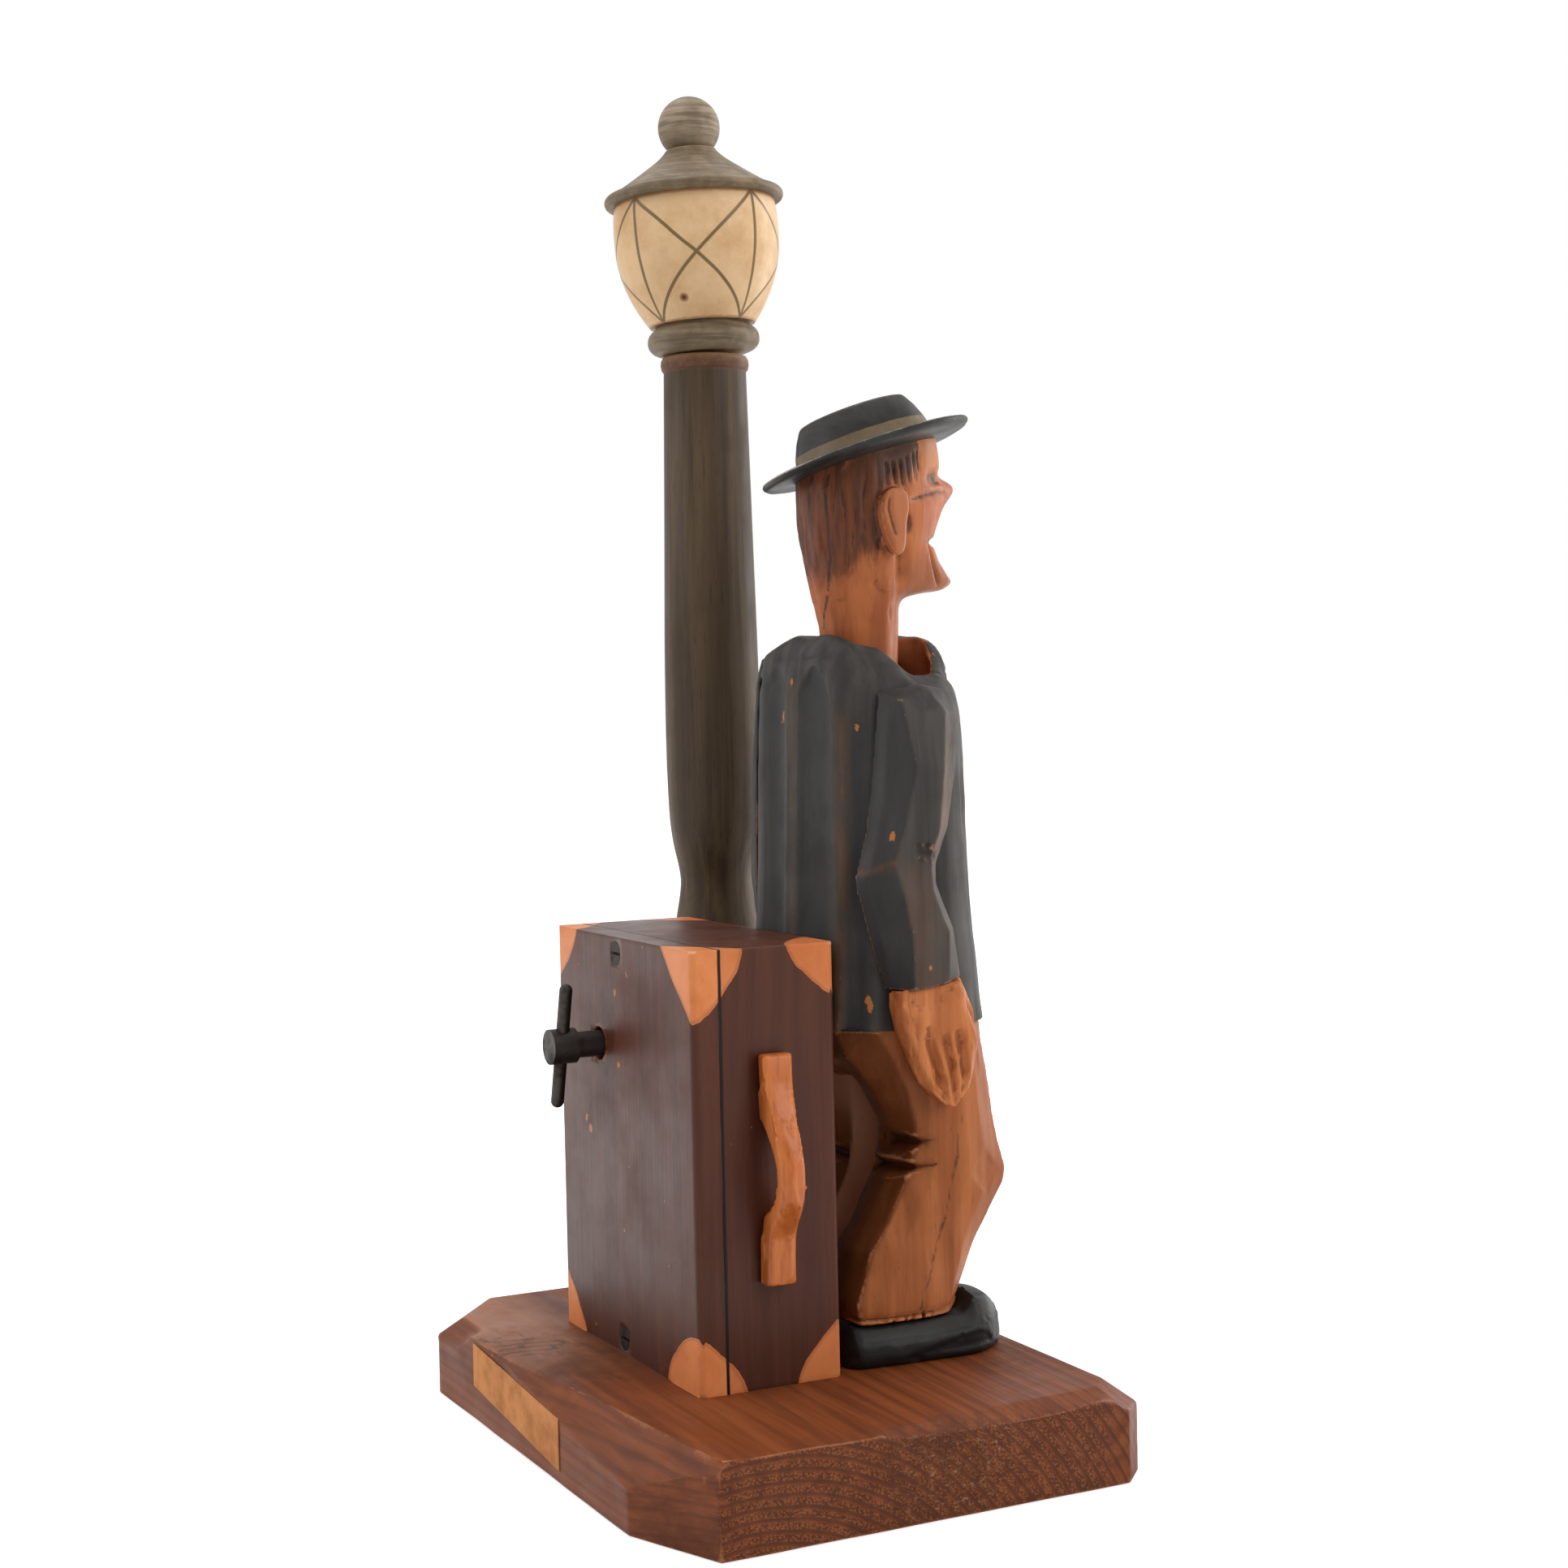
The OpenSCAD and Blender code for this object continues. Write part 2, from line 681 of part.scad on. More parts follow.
module key_stem() {
    hub_len = key_bar_d + 4;
    stem_v = body_d + 1;
    color("darkslategray") in_case() difference() {
        union() {
            rod(axis_u, stem_v, axis_w, case_d + key_reach - stem_v - 0.6, key_stem_d);
            rod(axis_u, case_d + key_reach - hub_len, axis_w, hub_len, key_hub_d);
        }
        rod(axis_u, stem_v - 1, axis_w, 1 + square_len + 0.3, arbor_d + 2*glue_gap);
        key_bar_axis(far, key_bar_d + 2*glue_gap);
    }
}

module key_bar_axis(len, d) {
    translate([axis_u, case_d + key_reach - key_bar_d/2 - 2, axis_w]) rotate([0, -key_bar_turn, 0])
        cylinder(h = len, d = d, center = true);
}

module key_bar() {
    tip = key_bar_d/2;
    color("darkslategray") in_case() {
        key_bar_axis(key_bar_len - key_bar_d, key_bar_d);
        translate([axis_u, case_d + key_reach - key_bar_d/2 - 2, axis_w]) rotate([0, -key_bar_turn, 0])
            for (side = [-1, 1]) translate([0, 0, side*(key_bar_len/2 - tip)]) sphere(tip);
    }
}

module winding_arbor() {
    color("silver") in_case() {
        rod(axis_u, front_v + 0.2, axis_w, plate_t + 0.4, 3);
        rod(axis_u, front_in + 0.3, axis_w, body_d + 1 + square_len - front_in - 0.3, arbor_d);
    }
}

// Saw-toothed wheel that lets the key wind one way only
module ratchet_wheel() {
    outline = [for (i = [0:ratchet_teeth - 1], k = [0, 1])
        let (a = 360/ratchet_teeth*(i + 0.06*k), r = k == 0 ? ratchet_r - 1.3 : ratchet_r)
        [r*cos(a), r*sin(a)]];
    color("gray") in_case() slab(axis_u, ratchet_v, axis_w, ratchet_t) difference() {
        polygon(outline);
        circle(d = arbor_d + 2*glue_gap);
    }
}

click_reach = 9;
click_spot = [axis_u - ratchet_r - 2.2, axis_w - click_reach];
spring_spot = [click_spot[0] - 4.5, click_spot[1] - 3];

module click_lever() {
    color("gray") in_case() slab(0, ratchet_v, 0, ratchet_t) difference() {
        union() {
            translate(click_spot) circle(d = 5);
            polygon([
                [click_spot[0] - 2.4, click_spot[1]], [click_spot[0] + 2.2, click_spot[1] + 1],
                [axis_u - ratchet_r - free_gap, axis_w - 0.2],
                [axis_u - ratchet_r - free_gap - 0.9, axis_w + 0.5]]);
        }
        translate(click_spot) circle(d = 2 + 2*run_gap);
    }
}

module click_screw() {
    color("silver") in_case() {
        rod(click_spot[0], back_in, click_spot[1], plate_t + 0.3 + ratchet_t + 0.2, 2);
        rod(click_spot[0], ratchet_v + ratchet_t + 0.15, click_spot[1], 0.8, 4);
    }
}

module click_spring() {
    wire = 0.8;
    color("silver") in_case() {
        rod(spring_spot[0], back_in, spring_spot[1], plate_t + 0.3 + ratchet_t, 1);
        translate([spring_spot[0] - wire/2, ratchet_v + 0.2, spring_spot[1]]) cube([wire, wire, 9]);
    }
}

// Spring barrel
barrel_wall = 1.2;
barrel_floor = 1.5;
barrel_len = great_wheel_v - barrel_v0;

module spring_barrel() {
    color("goldenrod") in_case() {
        slab(axis_u, barrel_v0 + barrel_floor, axis_w, barrel_len - barrel_floor) difference() {
            circle(barrel_r);
            circle(barrel_r - barrel_wall);
        }
        gear(axis_u, great_wheel_v, axis_w, great_wheel_t, drive_module, barrel_teeth,
             arbor_d + 2*run_gap, drive_angle);
    }
}

module barrel_cap() {
    color("gold") in_case() slab(axis_u, barrel_v0, axis_w, barrel_floor - glue_gap) difference() {
        circle(barrel_r);
        circle(d = arbor_d + 2*run_gap);
    }
}

// Flat spring wound as a spiral strip inside the barrel
module mainspring() {
    strip = 0.5;
    turns = 7;
    steps = 24;
    r0 = arbor_d/2 + 0.6;
    r1 = barrel_r - barrel_wall - strip - 0.3;
    function spiral(i, offset) =
        let (s = i/(turns*steps), r = r0 + (r1 - r0)*s + offset)
        [r*cos(360*turns*s), r*sin(360*turns*s)];
    last = turns*steps;
    color("lightsteelblue") in_case()
        slab(axis_u, barrel_v0 + barrel_floor + 0.8, axis_w, barrel_len - barrel_floor - 1.6)
        polygon(concat([for (i = [0:last]) spiral(i, 0)], [for (i = [last:-1:0]) spiral(i, strip)]));
}

// Tune cylinder and its wheels, on one arbor
module cylinder_drum() {
    pins = 4*comb_teeth;
    color("gold") in_case() difference() {
        union() {
            rod(cyl_u, drum_v, cyl_w, drum_len, drum_d);
            for (i = [0:pins - 1])
                translate([cyl_u, drum_v + (i % comb_teeth + 0.5)*drum_len/comb_teeth, cyl_w])
                    rotate([0, 137.5*i + 20, 0]) cylinder(h = drum_d/2 + pin_reach, d = 0.4, $fn = 13);
        }
        rod(cyl_u, drum_v - 1, cyl_w, drum_len + 2, small_arbor_d + 2*glue_gap);
    }
}

// Arbor that turns between the plates on two thin pivots
module train_arbor(w) {
    rod(cyl_u, front_v + 0.2, w, back_v - front_v - 0.4, pivot_tip_d);
    rod(cyl_u, front_in + 0.3, w, back_in - front_in - 0.6, small_arbor_d);
}

module cylinder_arbor() {
    color("silver") in_case() train_arbor(cyl_w);
}

module cylinder_pinion() {
    color("gold") in_case() gear(cyl_u, great_wheel_v - 0.2, cyl_w, great_wheel_t + 0.4, drive_module,
        cylinder_pinion_teeth, small_arbor_d + 2*glue_gap,
        drive_angle + 180 + 180/cylinder_pinion_teeth);
}

module cylinder_wheel() {
    color("goldenrod") in_case() gear(cyl_u, cyl_wheel_v, cyl_w, cyl_wheel_t, train_module,
        cylinder_wheel_teeth, small_arbor_d + 2*glue_gap, -90);
}

// Cam with three low lobes, one nod each
module nod_cam() {
    lobes = 3;
    lift = 0.5;
    outline = [for (a = [0:10:350]) let (r = cam_r - lift*(1 - cos(lobes*a))/2) [r*cos(a), r*sin(a)]];
    color("gold") in_case() slab(cyl_u, cam_v, cyl_w, cam_t) difference() {
        polygon(outline);
        circle(d = small_arbor_d + 2*glue_gap);
    }
}

// Speed governor: second wheel and a fly that beats the air
module second_arbor() {
    color("silver") in_case() {
        train_arbor(second_w);
        gear(cyl_u, cyl_wheel_v - 0.2, second_w, cyl_wheel_t + 0.4, train_module, second_pinion_teeth,
             small_arbor_d - 0.4, 90 + 180/second_pinion_teeth);
    }
}

second_wheel_v = great_wheel_v - 2.4;
second_wheel_t = 1;

module second_wheel() {
    color("goldenrod") in_case() gear(cyl_u, second_wheel_v, second_w, second_wheel_t, fly_module,
        second_wheel_teeth, small_arbor_d + 2*glue_gap, -90);
}

module fly_arbor() {
    color("silver") in_case() {
        train_arbor(fly_w);
        gear(cyl_u, second_wheel_v - 0.3, fly_w, second_wheel_t + 0.6, fly_module, fly_pinion_teeth,
             small_arbor_d - 0.4, 90 + 180/fly_pinion_teeth);
    }
}

module fly_vanes() {
    vane_r = 7.5;
    vane_t = 0.5;
    vane_len = second_wheel_v - drum_v - 1.2;
    color("silver") in_case() difference() {
        union() {
            translate([cyl_u - vane_r, drum_v, fly_w - vane_t/2]) cube([2*vane_r, vane_len, vane_t]);
            rod(cyl_u, drum_v, fly_w, vane_len, small_arbor_d + 1.6);
        }
        rod(cyl_u, drum_v - 1, fly_w, vane_len + 2, small_arbor_d + 2*glue_gap);
    }
}

// Nod linkage
module rocker_axis(len, d) {
    translate([cyl_u - len/2, rocker_v, rocker_w]) rotate([0, 90, 0]) cylinder(h = len, d = d);
}

module rocker_pin() {
    color("silver") in_case() rocker_axis(rocker_t + 2*free_gap + 2*ear_t, rocker_pin_d);
}

module rocker_lever() {
    tip_v = cam_v + cam_t;
    end_v = rocker_v - rocker_arm;
    color("goldenrod") in_case() difference() {
        translate([cyl_u - rocker_t/2, end_v - 3, rocker_w - rocker_t/2])
            cube([rocker_t, tip_v - end_v + 3, rocker_t]);
        rocker_axis(far, rocker_pin_d + 2*run_gap);
        translate([cyl_u, end_v, rocker_w - far/2]) cylinder(h = far, d = wire_d + 0.7);
    }
}

// Wire from the rocker up to the neck, with a collar at each end that takes the pull
module pull_wire() {
    collar_h = 2;
    low = rocker_w - rocker_t/2 - 0.35 - collar_h;
    high = pivot_z + 0.6 + 0.9;
    color("silver") in_man() translate([wire_x, wire_y, 0]) {
        translate([0, 0, low]) cylinder(h = high + collar_h - low, d = wire_d);
        translate([0, 0, low]) cylinder(h = collar_h, d = 4);
        translate([0, 0, high]) cylinder(h = collar_h, d = 5.4);
    }
}

// Bracket on the front of the neck's tongue that the wire pulls down
module neck_lever() {
    flange_t = 1.2;
    tongue_front = pivot_y - tongue_depth/2 - glue_gap;
    tab_front = wire_y - 3.6;
    color("goldenrod") in_man() difference() {
        union() {
            translate([-tongue_half + 1, tongue_front - flange_t, pivot_z - 6])
                cube([2*tongue_half - 2, flange_t, 12]);
            translate([-tongue_half + 1, tab_front, pivot_z - flange_t/2])
                cube([wire_x + lever_side + tongue_half - 1, tongue_front - tab_front, flange_t]);
        }
        translate([wire_x, wire_y, pivot_z - far/2]) cylinder(h = far, d = 3.2);
    }
}

// Man: jacket with carved flutes, open at the collar for the neck
jacket_count = 28;
jacket_flute = 0.9;

// Jacket rings: height, back, front and half width
jacket_back_square = 3.2;
jacket_front_square = 2.2;
function jacket_rings() = [
    [hem_at, -0.6, -58.4, jacket_half + 2.2], [hem_at + 8, -1.2, -57.4, jacket_half + 1.6],
    [hem_at + 36, -2.6, -55, jacket_half + 0.8], [pivot_z, -3.6, -53.6, jacket_half + 0.4],
    [shoulder_z - 22, -4, -53, jacket_half], [shoulder_z - 10, -4.6, -52.2, jacket_half - 0.8],
    [shoulder_z - 3.5, -6.2, -51, jacket_half - 2.6], [shoulder_z, -9.5, -49.6, jacket_half - 6]
];

// Gouge cuts run down the back and front of the jacket as shallow flutes
function fluted(ring, middle_y, depth) =
    [for (i = [0:len(ring) - 1])
        let (p = ring[i], out = p[1] > middle_y ? 1 : -1, near = pow(abs(sin(360*(i + 0.5)/len(ring))), 2))
        [p[0], p[1] - out*depth*near*(i % 2), p[2]]];

module jacket_block() {
    loft([for (r = jacket_rings())
        fluted(section(r[0], r[1], r[2], r[3], jacket_back_square, jacket_count, 0, jacket_front_square),
               (r[1] + r[2])/2, jacket_flute)]);
}

module neck_slot() {
    pocket_half = max(slot_half, abs(wire_x) + lever_side + 1);
    translate([-pocket_half, wire_y - 5, slot_floor])
        cube([2*pocket_half, slot_back - wire_y + 5 - slot_half, pivot_z + 10 - slot_floor]);
    translate([-slot_half, slot_front + slot_half, slot_floor])
        cube([2*slot_half, slot_back - slot_front - 2*slot_half, far]);
    for (y = [slot_front, slot_back - 2*slot_half])
        translate([0, y + slot_half, slot_floor]) cylinder(h = far, r = slot_half);
}

module jacket() {
    slot_z0 = rocker_w - rocker_t/2 - wire_drop - 2.6;
    color("darkslategray") in_man() difference() {
        jacket_block();
        for (side = [-1, 1])
            translate([side*(arm_plane + far/2), 0, 0]) cube([far, far, 2*far], center = true);
        neck_slot();
        translate([wire_x, wire_y, slot_z0]) cylinder(h = slot_floor - slot_z0 + 1, d = 7);
        translate([wire_x - rocker_t/2 - 0.8, wire_y - 4.2, slot_z0])
            cube([rocker_t + 1.6, far, rocker_w + rocker_t/2 + 1.5 - slot_z0]);
        nod_axis(2*far, pivot_d + 2*glue_gap);
    }
}

module nod_axis(len, d) {
    translate([-len/2, pivot_y, pivot_z]) rotate([0, 90, 0]) cylinder(h = len, d = d);
}

module neck_pin() {
    color("silver") in_man() nod_axis(2*arm_plane - 2, pivot_d);
}

// Arm rings from the shoulder down: height, back, front and how far the arm stands out.
// The left arm hangs a little farther back at the shoulder than the right one.
right_arm = [
    [shoulder_z - 5, -18, -34, 4], [shoulder_z - 12, -13, -37, 7.5], [pivot_z + 8, -9, -38, 9.5],
    [pivot_z - 14, -6.5, -33.5, 10], [hem_at + 42, -5.4, -31, 10.5], [hem_at + 30, -8.5, -33.5, 10.5],
    [hem_at + 12, -13.4, -40.2, 9.8]
];
left_arm = [
    [shoulder_z - 1, -11, -32, 5], [shoulder_z - 9, -5.5, -36, 9], [pivot_z + 8, -4.2, -37, 10.5],
    [pivot_z - 14, -4.4, -33.5, 11], [hem_at + 42, -4.6, -31, 11], [hem_at + 30, -8.5, -33.5, 10.5],
    [hem_at + 12, -13.4, -40.2, 9.8]
];
cuff_z = hem_at + 12;
sleeve_count = 14;

// Sleeve for the right side, cut flat where it is glued to the jacket
module sleeve(rings) {
    overlap = 4;
    intersection() {
        loft([for (i = [len(rings) - 1:-1:0])
            let (r = rings[i]) section(r[0], r[1], r[2], r[3] + overlap, 2.8, sleeve_count, -arm_plane + 2)]);
        translate([-arm_plane - glue_gap - far, -far/2, 0]) cube([far, far, far]);
    }
}

module right_sleeve() {
    color("darkslategray") in_man() sleeve(right_arm);
}

module left_sleeve() {
    color("darkslategray") in_man() mirror([1, 0, 0]) sleeve(left_arm);
}

// Hand: back of the hand and four fingers that lie on the thigh
module right_hand_shape() {
    inner = arm_plane + 0.4;
    thick = 8;
    tip_z = hem_at - 22;
    knuckle_z = hem_at - 6;
    palm = [[knuckle_z, -18.5, -40.5, thick/2], [hem_at + 4, -16.5, -41.2, thick/2 + 0.4],
            [cuff_z - glue_gap, -16.5, -37.5, thick/2]];
    loft([for (r = palm) section(r[0], r[1], r[2], r[3], 3, 12, -inner - thick/2)]);
    for (i = [0:3]) {
        root_y = -20.2 - i*5.4;
        end_y = -32.4 - i*2.3;
        end_z = tip_z + [7, 2.4, 0, 3][i];
        loft([
            section(end_z, end_y + 1.7, end_y - 1.7, 2, 2.4, 8, -inner - thick/2 + 1.6),
            section((end_z + knuckle_z)/2, (root_y + end_y)/2 + 2.5, (root_y + end_y)/2 - 2.5, 3, 2.4, 8,
                    -inner - thick/2 + 0.6),
            section(knuckle_z + 1, root_y + 2.7, root_y - 2.7, 3.5, 2.4, 8, -inner - thick/2)]);
    }
}

module right_hand() {
    color("peru") in_man() right_hand_shape();
}

module left_hand() {
    color("peru") in_man() mirror([1, 0, 0]) right_hand_shape();
}

// Trouser leg rings: height, back, front and half width
leg_count = 16;
leg_half = 12.8;
leg_h = hem_at - shoe_h;
function leg_rings() = [
    [shoe_h + glue_gap, -12, -40, leg_half], [shoe_h + 0.061*leg_h, -12.4, -41.4, leg_half + 0.2],
    [shoe_h + 0.195*leg_h, -14.4, -44.4, leg_half - 0.2], [shoe_h + 0.366*leg_h, -20.7, -51, leg_half - 0.6],
    [shoe_h + 0.5*leg_h, -26.6, -55.6, leg_half - 0.8], [shoe_h + 0.561*leg_h, -26.4, -55, leg_half - 0.4],
    [shoe_h + 0.72*leg_h, -23, -51.4, leg_half], [hem_at - 16, -15, -50.4, leg_half + 0.4],
    [hem_at - 9, -7.5, -49.6, leg_half + 0.4], [hem_at - glue_gap, -5, -49.4, leg_half + 0.4]
];

module leg(side) {
    loft([for (r = leg_rings())
        section(r[0], r[1], r[2], r[3], 2.7, leg_count, side*(leg_x + 3.4*pow((hem_at - r[0])/hem_at, 3)))]);
}

module trousers() {
    seat_z = hem_at - 16;
    color("peru") in_man() {
        leg(-1);
        leg(1);
        loft([
            section(seat_z, -18, -44, leg_x - 2, 2.6, leg_count),
            section(seat_z + 7, -7.6, -48.6, leg_x + 6, 2.8, leg_count),
            section(hem_at - glue_gap, -4.8, -49.2, leg_x + 9, 3, leg_count)]);
    }
}

// Shoe: rings along the foot, heel to toe: y, half width, top
shoe_rings = [
    [-3.6, 7.5, 0.72], [-6, 11, 1], [-18, 12.2, 1], [-32, 13, 1], [-40.6, 13.4, 1], [-44, 13.2, 1.26],
    [-49, 11.6, 1.2], [-53.6, 8.2, 0.95], [-56, 4.4, 0.6]
];

function shoe_ring(r) =
    let (top = r[2]*shoe_h - glue_gap, w = r[1])
    [[-w + 1, r[0], 0.05], [w - 1, r[0], 0.05], [w, r[0], 2.4], [w - 0.4, r[0], top*0.66],
     [w - 3.4, r[0], top], [-w + 3.4, r[0], top], [-w + 0.4, r[0], top*0.66], [-w, r[0], 2.4]];

module shoe(side) {
    color("black") in_man() translate([side*shoe_x, 0, 0]) difference() {
        loft([for (r = shoe_rings) shoe_ring(r)]);
        translate([0, shoe_screw_y, -eps]) cylinder(h = shoe_h - 1.6, d = screw_d + 2*glue_gap);
    }
}

module right_shoe() {
    shoe(-1);
}

module left_shoe() {
    shoe(1);
}

// Head: rings of height, back, front, half width and squareness, from the neck up
head_count = 24;
function head_rings() = [
    [shoulder_z - 12, neck_y + neck_r - 0.6, neck_y - neck_r + 0.6, neck_r - 0.6, 2.2],
    [shoulder_z + 2, neck_y + neck_r, neck_y - neck_r, neck_r, 2.2],
    [shoulder_z + 9, neck_y + neck_r + 1.4, neck_y - neck_r - 1, neck_r + 0.8, 2.2],
    [shoulder_z + 14, neck_y + neck_r + 2.8, -44, neck_r + 2.6, 2.3],
    [shoulder_z + 22, neck_y + neck_r + 4.6, -49, neck_r + 4.6, 2.4],
    [shoulder_z + 32, neck_y + neck_r + 5.6, -51.5, neck_r + 5.6, 2.4],
    [shoulder_z + 42, neck_y + neck_r + 5.6, -52.5, neck_r + 5.6, 2.4],
    [shoulder_z + 52, neck_y + neck_r + 4.8, -51.5, neck_r + 5, 2.3],
    [shoulder_z + 66, neck_y + neck_r + 1, -48, neck_r + 2, 2.2]
];

module hat_frame() {
    translate([0, hat_y, hat_z]) rotate([-hat_tilt, 0, 0]) children();
}

module face() {
    nose_z = shoulder_z + 41;
    chin_z = shoulder_z + 16;
    hull() {
        translate([0, -51, nose_z + 8]) sphere(2.4, $fn = hull_fn);
        translate([0, -55.6, nose_z]) sphere(2.8, $fn = hull_fn);
        translate([0, -50, nose_z - 3]) sphere(4.2, $fn = hull_fn);
    }
    hull() {
        translate([0, -54, chin_z]) sphere(3.4, $fn = hull_fn);
        for (side = [-1, 1])
            translate([side*6, -46.5, chin_z + 2]) sphere(5, $fn = hull_fn);
    }
    hull() for (side = [-1, 1])
        translate([side*4, -51, chin_z + 10]) sphere(2.2, $fn = hull_fn);
}

module ears() {
    for (side = [-1, 1])
        translate([side*(neck_r + 6), -29.5, shoulder_z + 35]) rotate([10, 0, side*14])
            rotate([0, 90, 0]) intersection() {
                translate([0, 0, -2.6]) linear_extrude(5.2) rounded_rect(20, 9, 4.4);
                sphere(11);
            }
}

module head() {
    color("peru") in_man() difference() {
        union() {
            loft([for (r = head_rings()) section(r[0], r[1], r[2], r[3], r[4], head_count)]);
            face();
            ears();
            translate([-tongue_half, pivot_y - tongue_depth/2, pivot_z - 8])
                cube([2*tongue_half, tongue_depth, shoulder_z - 12 - pivot_z + 8 + eps]);
        }
        hat_frame() translate([-far/2, -far/2, glue_gap - 1.2]) cube([far, far, far]);
        hat_frame() translate([0, 0, -9]) cylinder(h = 20, d = 6 + 2*glue_gap);
        nod_axis(far, pivot_d + 2*run_gap);
    }
}

// Hat: turned brim and crown, tipped back on the head
crown_r = 20.5;
crown_top_r = 15.4;
brim_t = 2.4;

crown_foot = brim_t/2 + 0.4;
crown_edge = crown_h - 0.8;

module hat() {
    color("black") in_man() hat_frame() difference() {
        rotate_extrude() polygon([
            [0, -brim_t/2 + glue_gap], [brim_r - 1.5, -brim_t/2 + 0.7], [brim_r, 0.7], [brim_r - 1, 1.5],
            [crown_r + 1, brim_t/2], [crown_r, crown_foot], [crown_top_r + 0.6, crown_edge],
            [crown_top_r - 0.6, crown_h], [0, crown_h - 0.4]]);
        translate([0, 0, -9]) cylinder(h = 16, d = 6 + 2*glue_gap);
    }
}

module hat_dowel() {
    color("tan") in_man() hat_frame() translate([0, 0, -8.8]) cylinder(h = 15, d = 6);
}

base_slab();
tune_label();
base_screws();
lamp_post();
lamp_gallery();
lamp_globe();
lamp_roof();
lamp_finial();
lamp_dowel();
suitcase_body();
suitcase_cover();
cover_screws();
suitcase_handle();
front_plate();
back_plate();
plate_pillars();
pillar_screws();
movement_screws();
comb_block();
comb();
comb_screws();
click_spring();
click_screw();
key_stem();
key_bar();
winding_arbor();
ratchet_wheel();
click_lever();
spring_barrel();
barrel_cap();
mainspring();
cylinder_drum();
cylinder_arbor();
cylinder_pinion();
cylinder_wheel();
nod_cam();
second_arbor();
second_wheel();
fly_arbor();
fly_vanes();
rocker_pin();
rocker_lever();
pull_wire();
neck_lever();
jacket();
right_sleeve();
left_sleeve();
right_hand();
left_hand();
trousers();
right_shoe();
left_shoe();
neck_pin();
head();
hat();
hat_dowel();
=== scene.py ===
"""Carved-wood musical figure: a man in a hat by a street lamp, with a suitcase that holds a spring movement.

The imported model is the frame. Woodwork is rebuilt here as carved, painted and worn pieces, and the
movement keeps its solids with metal finishes. Lengths are millimetres, but metres in matrices and for
floor and lights.
"""

import json
import math
from contextlib import contextmanager
from functools import reduce

import bmesh
import bpy
import numpy as np
from mathutils import Matrix, Vector
from mathutils.bvhtree import BVHTree


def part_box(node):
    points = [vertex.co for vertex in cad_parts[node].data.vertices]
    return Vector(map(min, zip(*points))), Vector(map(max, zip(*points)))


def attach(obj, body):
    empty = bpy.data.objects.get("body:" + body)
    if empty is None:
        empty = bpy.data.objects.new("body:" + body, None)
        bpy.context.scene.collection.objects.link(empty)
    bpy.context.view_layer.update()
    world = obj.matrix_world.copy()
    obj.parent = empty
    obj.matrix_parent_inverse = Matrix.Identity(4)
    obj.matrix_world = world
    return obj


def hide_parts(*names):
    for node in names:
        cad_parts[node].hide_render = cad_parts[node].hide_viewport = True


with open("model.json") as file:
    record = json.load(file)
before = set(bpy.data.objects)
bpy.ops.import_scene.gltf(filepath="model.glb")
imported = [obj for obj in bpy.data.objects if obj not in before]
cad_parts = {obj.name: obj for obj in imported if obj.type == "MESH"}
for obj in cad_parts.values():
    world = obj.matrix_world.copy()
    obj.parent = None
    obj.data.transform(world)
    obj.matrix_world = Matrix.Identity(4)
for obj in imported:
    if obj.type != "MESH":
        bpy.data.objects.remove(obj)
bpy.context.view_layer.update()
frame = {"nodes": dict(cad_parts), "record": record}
nodes = frame["nodes"]
MM = 0.001


def box_mm(node):
    """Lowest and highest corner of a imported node, in millimetres."""
    low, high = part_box(node)
    return np.array(low) / MM, np.array(high) / MM


# Places that the pieces hang on
BASE_TOP = box_mm("base_slab")[1][2]
CASE_LOW, BODY_HIGH = box_mm("suitcase_body")
CASE_HIGH = np.maximum(BODY_HIGH, box_mm("suitcase_cover")[1])
JACKET_LOW, JACKET_HIGH = box_mm("jacket")
MAN = np.array([(JACKET_LOW[0] + JACKET_HIGH[0]) / 2, CASE_LOW[1] - 0.4, BASE_TOP])
POST_LOW, POST_HIGH = box_mm("lamp_post")
POST_AXIS = np.array([(POST_LOW[0] + POST_HIGH[0]) / 2, (POST_LOW[1] + POST_HIGH[1]) / 2, BASE_TOP])
POST_H = 296.0
LANTERN_LEAN = 2.7
LANTERN_AXIS = Vector((-0.894, 0.448, 0.0))


# Mesh helpers


def link(name, data):
    obj = bpy.data.objects.new(name, data)
    bpy.context.scene.collection.objects.link(obj)
    return obj


@contextmanager
def editing(mesh):
    """Opens a mesh for changes and writes them back."""
    bm = bmesh.new()
    bm.from_mesh(mesh)
    yield bm
    bm.to_mesh(mesh)
    bm.free()


def new_piece(name, verts, faces):
    """Object from points in millimetres."""
    mesh = bpy.data.meshes.new(name)
    mesh.from_pydata((np.asarray(verts, float) * MM).tolist(), [], faces)
    mesh.validate()
    with editing(mesh) as bm:
        bmesh.ops.recalc_face_normals(bm, faces=bm.faces)
    mesh.shade_smooth()
    return link(name, mesh)


def copy_node(node, name):
    """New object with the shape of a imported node, its split points joined up again."""
    mesh = nodes[node].data.copy()
    mesh.materials.clear()
    with editing(mesh) as bm:
        bmesh.ops.remove_doubles(bm, verts=bm.verts, dist=2e-6)
    return link(name, mesh)


def settle(obj):
    """Turns the object's modifiers into its mesh."""
    graph = bpy.context.evaluated_depsgraph_get()
    mesh = bpy.data.meshes.new_from_object(obj.evaluated_get(graph), depsgraph=graph)
    obj.modifiers.clear()
    old = obj.data
    obj.data = mesh
    bpy.data.meshes.remove(old)
    return obj


def remesh(obj, voxel):
    mod = obj.modifiers.new("voxels", "REMESH")
    mod.mode = "VOXEL"
    mod.voxel_size = voxel * MM
    mod.use_smooth_shade = True
    return settle(obj)


